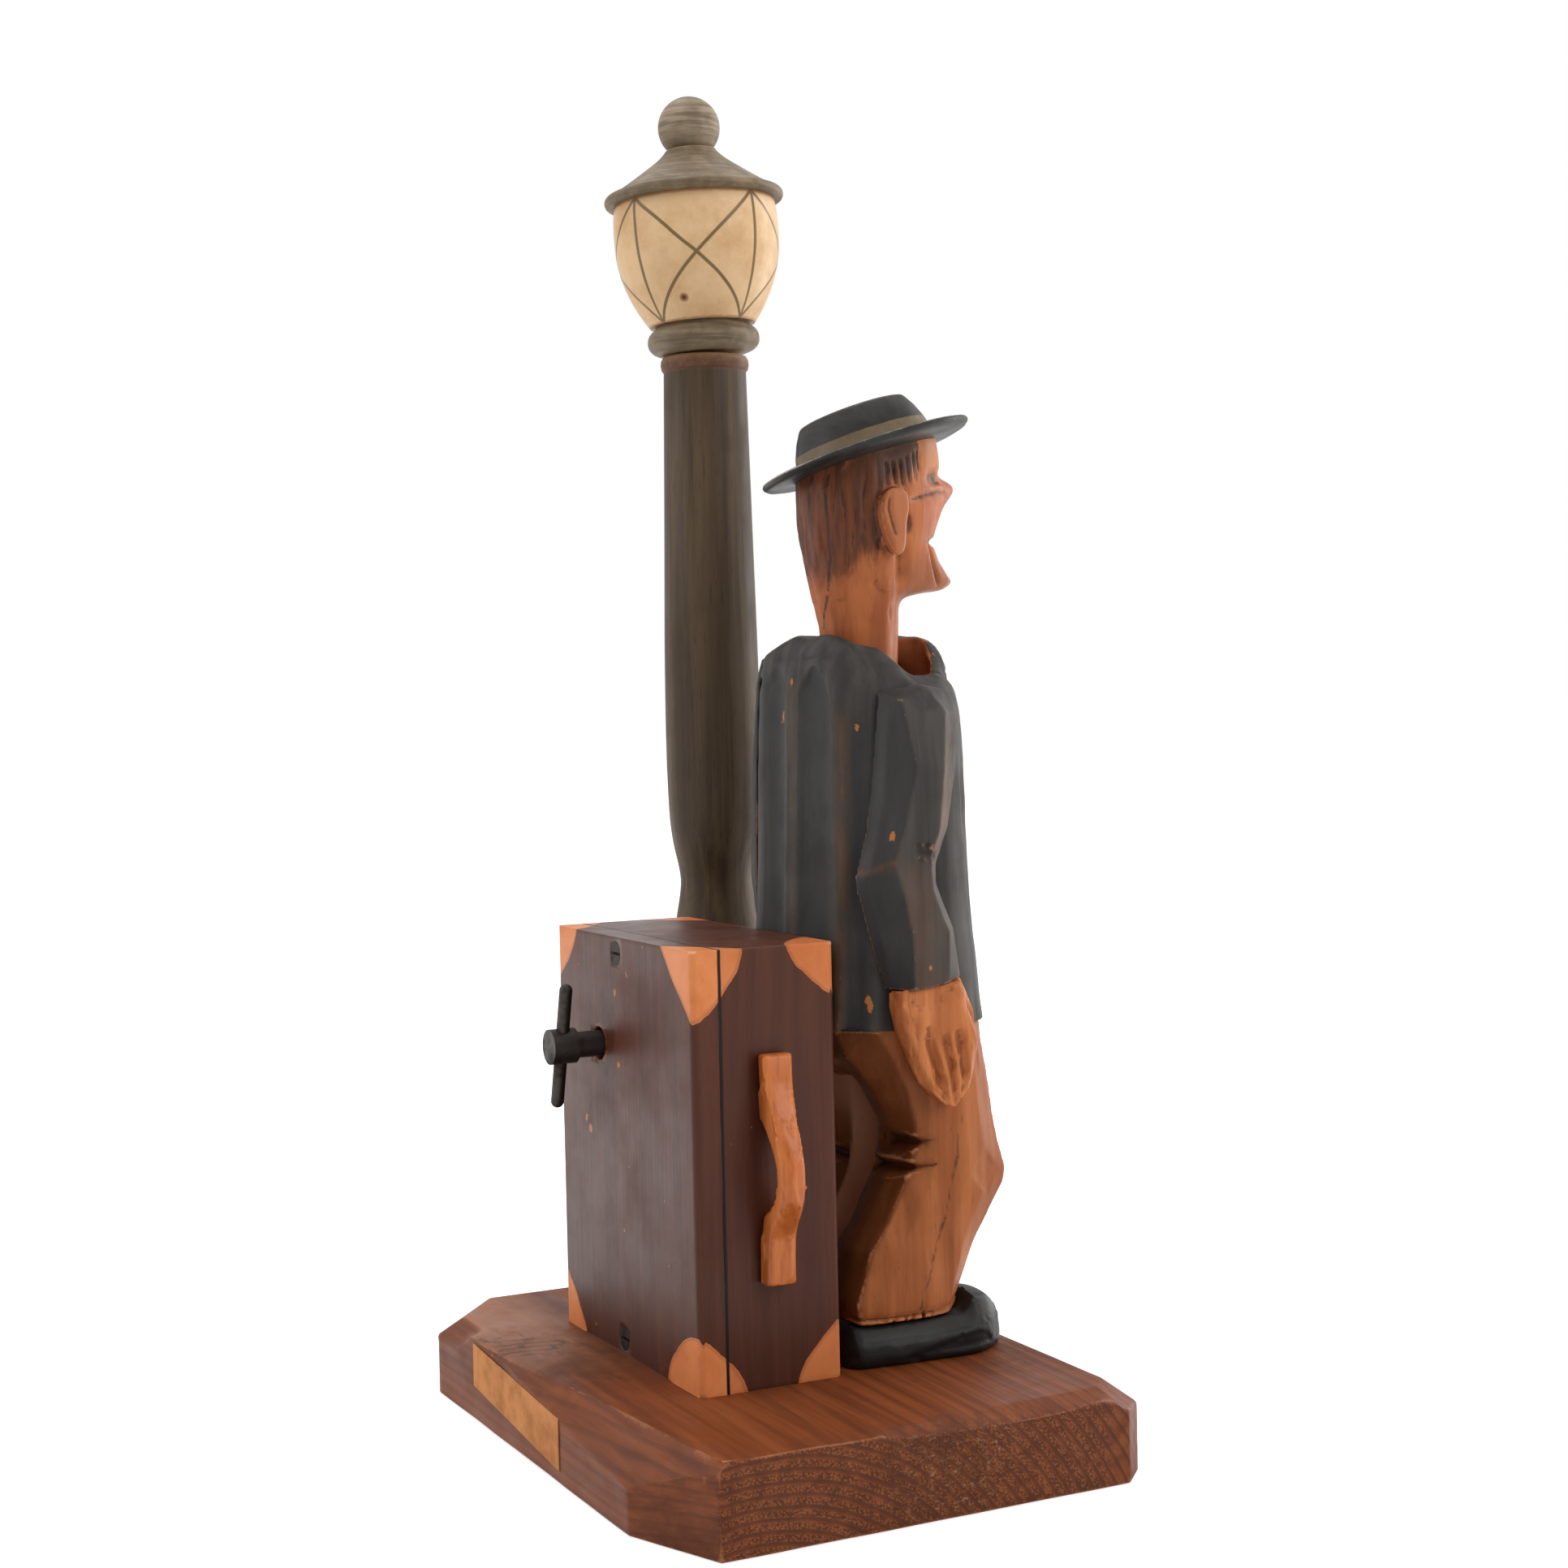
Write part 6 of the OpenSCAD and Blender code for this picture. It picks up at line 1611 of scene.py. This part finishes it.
# Head: height, back, half width, then the face from temple to nose as pairs of half width and forward place
HEAD = [
    (192.5, -15, 10.6, (9.6, -30.4), (7.4, -33.6), (5.2, -35.4), (2.6, -36.2), (0.6, -36.3)),
    (206.5, -14.4, 11.2, (10.2, -30.6), (8, -33.8), (5.4, -35.8), (2.8, -36.8), (0.6, -37)),
    (212.5, -13.2, 11.8, (10.4, -31), (8.2, -34), (5.6, -36), (3, -37), (0.6, -37.2)),
    (215.0, -12.6, 12.4, (10.6, -32), (8.6, -35), (6.2, -37.6), (3.4, -39), (0.6, -39.4)),
    (216.4, -12.2, 12.8, (11, -33), (9.4, -37), (7.8, -41.6), (4.4, -44.6), (0.8, -45.4)),
    (217.4, -12, 13.1, (11.4, -33), (10, -38), (8.6, -44), (5.6, -50), (1, -52.6)),
    (219.8, -11.4, 13.9, (12, -33.4), (10.8, -38.4), (9.2, -45), (6.2, -52.4), (1.2, -56.2)),
    (222.4, -10.9, 14.7, (13, -33.6), (11.8, -38.6), (9.8, -45), (6.4, -51.2), (1.2, -54)),
    (225.6, -10.3, 15.4, (13.8, -33.8), (12.4, -38.8), (10.2, -44.6), (6.6, -49), (1.2, -51.2)),
    (228.4, -9.9, 15.8, (14.6, -34), (13, -39), (10.6, -44), (6.8, -47.8), (1.2, -49.6)),
    (230.6, -9.6, 16, (15, -34), (13.2, -39), (10.8, -43.4), (6.8, -46.8), (1.2, -48.2)),
    (232.6, -9.4, 16.2, (15.3, -34), (13.4, -39.4), (10.8, -43.8), (6.8, -47.4), (1, -48.8)),
    (236.4, -9, 16.5, (15.6, -34.2), (13.6, -40), (10.8, -45), (6.4, -49), (1, -50.6)),
    (240.4, -8.7, 16.8, (15.8, -34.4), (13.6, -40.4), (10.4, -46), (5.8, -51), (1, -53)),
    (244, -8.6, 16.8, (15.8, -34.6), (13.4, -40.8), (9.8, -47.2), (5, -53.4), (1.2, -56)),
    (246.6, -8.6, 16.8, (15.8, -34.8), (13.2, -41), (9.4, -47.6), (4.4, -53.6), (1.4, -57.6)),
    (248.4, -8.7, 16.7, (15.6, -35), (13, -41.2), (9, -47.4), (4, -52.4), (1.2, -56.6)),
    (250.4, -8.9, 16.5, (15.4, -35), (12.8, -41.4), (9, -47.2), (4.4, -50.2), (1.2, -52.6)),
    (253, -9.2, 16.2, (15, -35.4), (12.6, -42), (9, -48), (4.8, -50.8), (1, -51.6)),
    (258, -10, 15.6, (14.4, -36), (12, -42.4), (8.6, -48), (4.6, -50.4), (1, -51)),
    (264, -11.6, 14.4, (13.2, -36), (11, -42), (8, -46.8), (4.4, -49), (1, -49.6)),
    (270.5, -13.4, 13.2, (12, -36), (10, -41), (7.4, -45.4), (4, -47.4), (1, -48)),
]
SKULL_MIDDLE, SKULL_SQUARE = -28.6, 2.3
EAR = [
    (-29.8, 245.8), (-26.4, 245.4), (-23.6, 242.8), (-22.6, 238.8), (-23.4, 234.3), (-25.2, 229.8),
    (-27.4, 226.6), (-29.6, 226.4), (-31, 228.4), (-31.4, 232.2), (-31.8, 236.2), (-32.6, 240.4),
    (-32.2, 244.2),
]


def head_table(steps):
    """Rows of the head table as plain numbers, with smooth rows between them."""
    return spline([[*row[:3], *np.ravel(row[3:])] for row in HEAD], steps)


def head_ring(row):
    """Closed outline at one height: rounded behind, drawn through the face's corners in front."""
    z, back, half = row[:3]
    face = np.array(row[3:]).reshape(-1, 2)
    behind, between = 34, 5
    across, deep = superellipse(np.linspace(0, math.pi, behind), SKULL_SQUARE)
    skull = np.stack([half * across, SKULL_MIDDLE + (back - SKULL_MIDDLE) * deep], 1)
    corners = np.vstack([[-half, SKULL_MIDDLE], face * (-1, 1), face[::-1], [half, SKULL_MIDDLE]])
    shares = np.arange(between)[:, None] / between
    front = [a + (b - a) * shares for a, b in zip(corners, corners[1:])]
    outline = np.vstack([skull[:-1], *front])
    return np.column_stack([outline, np.full(len(outline), z)])


DOWEL_AT, DOWEL_TILT = (0.0, -29.7, 257.0), -22.0
HAT_AT, HAT_TILT, HAT_ROLL = (0.0, -29.2, 255.8), -15.4, 8.8


def dowel_matrix():
    at = Matrix.Translation(Vector(MAN + DOWEL_AT) * MM)
    return at @ Matrix.Rotation(math.radians(DOWEL_TILT), 4, "X")


def hat_matrix():
    """The hat sits askew on its dowel."""
    at = Matrix.Translation(Vector(MAN + HAT_AT) * MM) @ Matrix.Rotation(math.radians(HAT_TILT), 4, "X")
    return at @ Matrix.Rotation(math.radians(HAT_ROLL), 4, "Y")


def rod(radius, low, high):
    """Round cutter along the local Z axis."""
    return lathe("cutter", [(0.01, low), (radius, low), (radius, high), (0.01, high)], 32)


def dowel_bore(top):
    """Cutter for the hat dowel's hole, up to this height."""
    return place(rod(3.05, -9, top), dowel_matrix())


def head_solid():
    """Skull, face, neck, ears and the tongue that hangs in the collar, fused."""
    pieces = [loft("carved_head", in_man([head_ring(row) for row in head_table(4)]))]
    outline = spline(EAR, 3)
    centre = outline.mean(0)
    for sign in (-1, 1):
        rings = []
        for x, grow in ((14, 0.86), (18.4, 0.98), (19.4, 0.95), (19.9, 0.8)):
            shape = centre + (outline - centre) * grow
            flare = (outline[:, 0] + 32.4) / 10 * 1.4 if x > 15 else np.zeros(len(outline))
            rings.append(np.column_stack([x + flare, shape]))
        pieces.append(loft("ear", mirrored(rings, sign)))
    pieces.append(block(in_man((-8, -36, 157)), in_man((8, -18, 194))))
    return remesh(join(pieces), 0.66)


def make_head():
    obj = smooth(head_solid(), 1)
    behind = above(obj, 206, 4) * ease((points(obj)[:, 1] - MAN[1] + 34) / 4)
    whittle(obj, facet=10, stretch=(1, 1, 0.45), depth=0.3, sink=0.02, seed=12, share=behind)
    smooth(obj, 1)
    cut_face(obj)
    cut_hair(obj)
    slab = place(block((-60, -60, -1.15), (60, 60, 60)), hat_matrix())
    pin_at = Matrix.Translation(Vector(in_man((0, -27, 165))) * MM) @ Matrix.Rotation(math.pi / 2, 4, "Y")
    decimate(obj, 0.5)
    cut_away(obj, [slab, dowel_bore(12), place(rod(1.75, -30, 30), pin_at)])
    store_edges(obj)
    store_hair(obj)
    mount(crisp(obj, 60), "head", "skin_wood", face_stain(), "head")


# Knife cuts of one side of the face: path, width, depth, taper and form
FACE_CUTS = [
    ([(16.2, -34.6, 242.2), (13.4, -40.8, 243.6), (9.8, -47, 245), (5.6, -52, 245.8)], 1.3, 1.0, 0.25, "V"),
    ([(13.6, -41, 248.4), (8.8, -47.4, 249.5), (4.6, -50.4, 249.4)], 3.4, 1.6, 0.45, "soft"),
    ([(12, -43, 247.7), (8.8, -47, 248.1), (6, -49.6, 248.2)], 0.7, 0.6, 0.25, "V"),
    ([(10.8, -43.4, 231.4), (7, -46.8, 231), (-0.6, -48.2, 230.8)], 1.5, 1.3, 0.1, "V"),
    ([(10.6, -43.4, 231.6), (9.8, -46, 224.4), (8.2, -49, 217)], 1.4, 1.6, 0.1, "V"),
    ([(16, -31.6, 232), (14.4, -33, 225), (11.6, -34.4, 216)], 3.6, 1.8, 0.4, "soft"),
    ([(16.4, -33.9, 239.4), (16.3, -34, 235.6), (16.2, -33.9, 231.8)], 2.6, 1.3, 0.5, "soft"),
    ([(17, -21.2, 243), (17, -21.1, 238), (17, -22.6, 231), (16.6, -26.4, 226.4)], 1.5, 1.1, 0.25, "V"),
    ([(20.4, -25.8, 244.2), (20.7, -25.3, 239.3), (20.4, -27.7, 231.4)], 1.4, 0.9, 0.25, "V"),
]


def cut_face(obj):
    """Knife lines of cheek, mouth, jaw, ears and eyes, the same on both sides."""
    for sign in (-1, 1):
        for path, width, depth, taper, form in FACE_CUTS:
            carve(obj, mirrored(path, sign), width, depth, taper, form=form)


LOCKS = [
    [(15.8, -27, 253), (16.8, -27.2, 246)], [(15.9, -29.4, 253.4), (16.8, -29.7, 246.4)],
    [(15.8, -31.9, 254), (16.7, -32.3, 246)], [(15.4, -34.4, 255), (16.4, -34.9, 246.6)],
    [(14.8, -36.8, 256), (15.6, -37.2, 247.6)], [(13.8, -38.8, 257), (14.6, -39, 250)],
]


def cut_hair(obj):
    """Deep-cut locks over the ears and thin knife strokes down the back of the head."""
    for sign in (-1, 1):
        for lock in LOCKS:
            carve(obj, mirrored(lock, sign), width=1.0, depth=1.1, taper=0.15)
    rng = np.random.default_rng(17)
    rings = head_table(4)
    for k in range(30):
        angle = rng.uniform(0.02, math.pi - 0.02)
        top, low = rng.uniform(240, 258), rng.uniform(222, 234)
        path = []
        for z in np.linspace(top, low, 5):
            back, half = (np.interp(z, rings[:, 0], rings[:, i]) for i in (1, 2))
            across, deep = superellipse(angle + 0.04 * math.sin(z * 0.3 + k), SKULL_SQUARE)
            path.append((half * across, SKULL_MIDDLE + (back - SKULL_MIDDLE) * deep, z))
        width, depth = rng.uniform(0.7, 1.1), rng.uniform(0.15, 0.4)
        carve(obj, in_man(path), width, depth, taper=0.4)


# Long crack down the back of the head and the short one beside it
CRACK = [
    (-9.6, -11, 250), (-9.2, -11.4, 240.3), (-8.2, -12.1, 225.6), (-5.1, -12.9, 216.6), (0.2, -14.5, 206.4),
]
SLIT = [(-4.4, -9.4, 249), (-3.2, -9.1, 241.9), (-1.6, -9, 235.1)]
# Lower edge of the hair from the face to the back: place and height
HAIR_LINE = [
    (-60, 320), (-39.6, 320), (-39, 252), (-38, 248), (-33, 246.6), (-25, 246.2), (-24.4, 228), (-22, 226),
    (-18, 224.6), (-15.6, 223), (-13, 219), (-9, 219.5),
]


def closeness(co, spot, size):
    """1 at a spot, falling to 0 at the surface of an ellipsoid of this size round it."""
    return np.clip(1 - np.linalg.norm((co - spot) / size, axis=1), 0, 1)


def store_hair(obj):
    """Keeps each point's height over the hair's lower edge, and its share in ears, eyes, blush and cracks, in
    the painted shade under the jaw and in the ear hole.
    """
    co = points(obj) - MAN
    x, y, z = co.T
    wide = np.abs(x)
    on_ear = (wide > 17.4) & (z < 247.2) & (y < -21.6)
    hair = np.where(on_ear, -12, np.clip(z - np.interp(y, *np.transpose(HAIR_LINE)), -12, 12))
    both_sides = np.stack([wide, y, z], 1)
    nose = closeness(co, (0, -57, 246.6), (5.5, 5, 4))
    cheeks = closeness(both_sides, (11, -45, 239.6), (8, 9, 6))
    flat = np.array([1, 0, 1])
    gap, _ = along_path(co * flat, CRACK * flat)
    slit, along = along_path(co * flat, SLIT * flat)
    lines = np.clip(1 - np.minimum(gap, slit / (1.6 - 0.9 * along)) / 1.2, 0, 1)
    groove = np.interp(z, [231.4, 239.3, 244.2], [-27.7, -25.3, -25.8])
    hole = np.hypot((y + 33.9) / 2.4, (z - 235.6) / 3.9)
    for name, values in {
        "hair": hair,
        "dark_hair": ease((-y - 13) / 11) * (wide > 6),
        "locks": (y < -24) & (z > 245.4) & (hair > 0),
        "blush": np.clip(nose * 1.4 + cheeks * 0.8, 0, 1),
        "eyes": closeness(both_sides, (7.6, -47.2, 248.7), 2.2),
        "crack": lines * (y > -22) * (z > 205),
        "ear": on_ear,
        "ear_back": ease((y - groove) / 1.2) * on_ear,
        "hole": np.clip(1 - hole, 0, 1) * (wide > 12),
        # Painted shade under the jaw
        "jaw": ease((229 - z) / 6) * ease((-33 - y) / 4),
    }.items():
        store(obj, name, values)


def face_stain():
    """Warm stained wood, paler upward with a painted highlight on top and painted shade on the neck, under
    the jaw, in the ear hole and in the cuts, with streaky dark hair brushed over it.
    """
    s = Shader("face_stain", 0.48)
    fine, broad = grain(s, "z", 800)
    z = s.split(s.here)[2]
    speck = s.noise(420, 3, 0.7)
    edge = s.attr("edge")

    def rising(low, high, a, b):
        """Smooth step between two heights over the figure's foot."""
        return s.step(z, (MAN[2] + low) * MM, (MAN[2] + high) * MM, a, b)

    tint = s.mix(s.step(broad, 0.3, 0.7), (140, 73, 37), (174, 99, 56))
    tint = s.mix(s.step(fine, 0.5, 0.8, 0, 0.45), tint, (108, 56, 30))
    # Paler upward, with a painted highlight on the top of the head, leaving the neck darker as painted shade
    tint = s.mix(rising(208, 232, 0, 0.35), tint, (178, 106, 64))
    tint = s.mix(rising(245, 256, 0, 0.5), tint, (196, 130, 82))
    # The jaw share is painted shade under the jaw
    for name, share, tone in (
        ("blush", 0.45, (184, 84, 58)), ("jaw", 0.4, (130, 84, 62)),
        ("ear", 0.4, (180, 114, 80)), ("ear_back", 0.6, (142, 76, 38)),
    ):
        tint = s.mix(s.times(s.attr(name), share), tint, tone)
    tint = s.mix(s.ridges(speck, 0.4, 0.46, 0.85, 0.5), tint, (200, 130, 84))
    # Painted shade in the cuts, weaker on the neck
    tint = s.mix(s.times(s.cuts(speck, 0.18, 0.55, 0.8), rising(214, 226, 0.2, 1)), tint, (70, 34, 18))
    tint = s.mix(s.step(s.attr("eyes"), 0.35, 0.5), tint, (38, 24, 18))
    # Painted shade in the ear hole
    hole = s.plus(s.attr("hole"), s.sway(speck, 0.4))
    tint = s.mix(s.step(hole, 0.1, 0.5, 0, 0.8), tint, (70, 34, 15))
    streak = s.noise(420, 4, 0.65, 0.3, s.mapped((1, 1, 0.07)))
    wisps = s.noise(160, 5, 0.7, 0.4, s.mapped((1, 1, 0.16)))
    ragged = s.plus(s.attr("hair"), s.sway(wisps, 22))
    hair = s.mix(s.step(streak, 0.34, 0.66), (56, 31, 21), (106, 57, 35))
    dark = s.times(s.attr("dark_hair"), s.step(wisps, 0.36, 0.6, 0.9, 0.35))
    hair = s.mix(dark, hair, (46, 28, 21))
    # Painted shade in the hair's cuts
    hair = s.mix(s.step(s.minus(0.0, edge), 0.1, 0.4, 0, 0.8), hair, (28, 18, 14))
    # Deep-cut locks: painted shade in their grooves
    hair = s.mix(s.attr("locks"), hair, s.mix(s.step(edge, -0.1, 0.35), (22, 15, 12), (66, 44, 35)))
    tint = s.mix(s.step(ragged, -2.5, 4, 0, 0.9), tint, hair)
    crack = s.step(s.attr("crack"), 0.5, 0.8, 0, 0.75)
    tint = s.mix(crack, tint, (44, 24, 16))
    height = s.add((fine, 0.6), (streak, 0.5), (speck, 0.2), (crack, -0.8))
    return s.finish(tint, s.step(speck, 0.3, 0.7, 0.42, 0.56), height, 0.2)


BAND_TOP = 5.6
HAT_PROFILE = [
    (0.02, -1.14), (28, -1.1), (30, -0.6), (31, 0.2), (31.2, 0.8), (30.9, 1.35), (30, 1.6), (26, 1.45),
    (22.2, 1.3), (20.9, 1.5), (20.4, 2.2), (19.6, 5.4), (19.5, 5.7), (17.9, 9.6), (16.2, 12.5),
    (15.6, 13.2), (14.6, 13.5), (12, 13.3), (6, 13.1), (0.02, 13.05),
]


def make_hat():
    obj = place(lathe("carved_hat", HAT_PROFILE, 120), hat_matrix())
    cut_away(obj, [dowel_bore(7)])
    up = np.array(hat_matrix().inverted())
    across, deep, height = ((points(obj) * MM) @ up[:3, :3].T + up[:3, 3]).T / MM
    reach = np.hypot(across, deep)
    rim = np.clip(1 - np.hypot(reach - 30.8, height - 1.3) / 0.8, 0, 1)
    top_edge = np.clip(1 - np.hypot(reach - 15.4, height - 13.2) / 0.9, 0, 1)
    tips = 1 + 0.6 * ease((np.abs(deep) - 24) / 5)
    store(obj, "edge", 0.62 * np.maximum(rim * tips, top_edge))
    store(obj, "band", np.where((reach < 21.2) & (height > 1.2), np.clip(BAND_TOP - height, -3, 3), -3))
    mount(crisp(obj, 34), "head", "hat_paint", hat_paint(), "hat")


def hat_paint():
    def band(s, color):
        """Olive ribbon painted round the foot of the crown."""
        cloth = s.mix(s.noise(380, 4, 0.6), (122, 104, 80), (92, 76, 56))
        ragged = s.plus(s.attr("band"), s.sway(s.noise(200, 3, 0.6), 0.6))
        return s.mix(s.step(ragged, -0.12, 0.12), color, cloth)

    tones = (48, 46, 44), (30, 28, 26), (160, 150, 138)
    return painted_wood("hat_black", *tones, "x", roughness=0.45, wear=0.3, extra=band)


def make_figure():
    make_jacket()
    make_sleeves(bpy.data.materials["jacket_charcoal"])
    make_hands(bare_wood("skin_stain", (196, 120, 70), (166, 94, 50), (104, 53, 26), "z", 0.5))
    make_trousers()
    make_shoes()
    make_head()
    make_hat()


# Carried-over nodes


def finish_nodes():
    """Metal and plain-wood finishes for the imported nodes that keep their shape."""
    finishes = {
        "brass": metal("brass_plate", (206, 170, 104), (150, 112, 60), 0.28),
        "movement_steel": metal("bright_steel", (178, 178, 180), (120, 118, 116), 0.25),
        "screw_steel": metal("dull_steel", (50, 43, 39), (24, 19, 17), 0.5),
        "key_iron": metal("key_iron", (64, 58, 55), (34, 29, 26), 0.42, tarnish=0.8),
        "vane_metal": metal("vane_sheet", (205, 205, 208), (150, 150, 150), 0.3),
        "plain_wood": bare_wood("dowel_wood", (206, 166, 116), (180, 136, 88), (126, 86, 48), "z", 0.7),
    }
    for part in frame["record"]["subparts"]:
        material = finishes.get(part["material_slot"])
        if material:
            surface = nodes[part["node"]].data.materials
            surface.clear()
            surface.append(material)


# Stage


WHITE = (1, 1, 1, 1)
# How strongly the white surroundings light the pieces
FILL = 0.32


def make_stage():
    size = 6.0
    mesh = bpy.data.meshes.new("floor")
    corners = [(-size, -size, 0), (size, -size, 0), (size, size, 0), (-size, size, 0)]
    mesh.from_pydata(corners, [], [(0, 1, 2, 3)])
    floor = link("floor", mesh)
    s = Shader("floor_white", 0.9, specular=0.0)
    glow = s.times(s.eye_ray(), s.step(s.away((0, 0, 0)), 170, 420, 0.5, 1.0))
    grey = (0.86, 0.86, 0.86, 1)
    s.look({"Base Color": grey, "Emission Color": WHITE, "Emission Strength": glow})
    mesh.materials.append(s.material)


def make_world():
    world = bpy.data.worlds.new("studio")
    bpy.context.scene.world = world
    world.use_nodes = True
    world.node_tree.nodes.clear()
    g = Graph(world.node_tree)
    fill, shown = (g.node("Background", {"Color": WHITE, "Strength": power})[0] for power in (FILL, 1.0))
    both = g.node("MixShader", {0: g.eye_ray(), 1: fill, 2: shown})
    g.node("OutputWorld", {0: both[0]})


def make_light(name, at, aim, size, power):
    lamp = bpy.data.lights.new(name, "AREA")
    lamp.shape = "RECTANGLE"
    lamp.size, lamp.size_y = size
    lamp.energy = power
    obj = link(name, lamp)
    obj.location = at
    obj.rotation_euler = (Vector(aim) - Vector(at)).to_track_quat("-Z", "Y").to_euler()
    obj.visible_camera = False


def make_lights():
    make_light("left_softbox", (0.4, 1.15, 0.7), (0, 0, 0.2), (0.8, 1.0), 7)
    make_light("front_softbox", (-0.95, -0.55, 0.75), (0, 0, 0.18), (0.8, 0.8), 8)
    make_light("top_softbox", (0.1, 0.1, 1.3), (0, 0, 0.2), (1.0, 1.0), 7)
    make_light("right_strip", (0.15, -1.15, 0.5), (0, -0.02, 0.2), (0.4, 0.9), 6)


CAMERA_AT = (-631.2, 303.9, 211.4)
CAMERA_TURN = (243.4, 1.99, -1.26)
CAMERA_LENS = 55.66


def make_camera():
    azimuth, elevation, roll = (math.radians(a) for a in CAMERA_TURN)
    level = math.cos(elevation)
    back = Vector((math.sin(azimuth) * level, -math.cos(azimuth) * level, math.sin(elevation)))
    right = (-back).cross(Vector((0, 0, 1))).normalized()
    up = right.cross(-back)
    across = right * math.cos(roll) + up * math.sin(roll)
    upward = up * math.cos(roll) - right * math.sin(roll)
    camera = link("camera", bpy.data.cameras.new("camera"))
    turn = Matrix((across, upward, back)).transposed().to_4x4()
    camera.matrix_world = Matrix.Translation(Vector(CAMERA_AT) * MM) @ turn
    camera.data.lens = CAMERA_LENS
    camera.data.sensor_width = 36
    camera.data.clip_start = 0.01
    bpy.context.scene.camera = camera


make_camera()
make_base()
make_label()
make_post()
make_lantern()
make_globe()
make_suitcase()
make_handle()
make_figure()
finish_nodes()
make_stage()
make_world()
make_lights()
bpy.context.scene.view_settings.view_transform = "Standard"
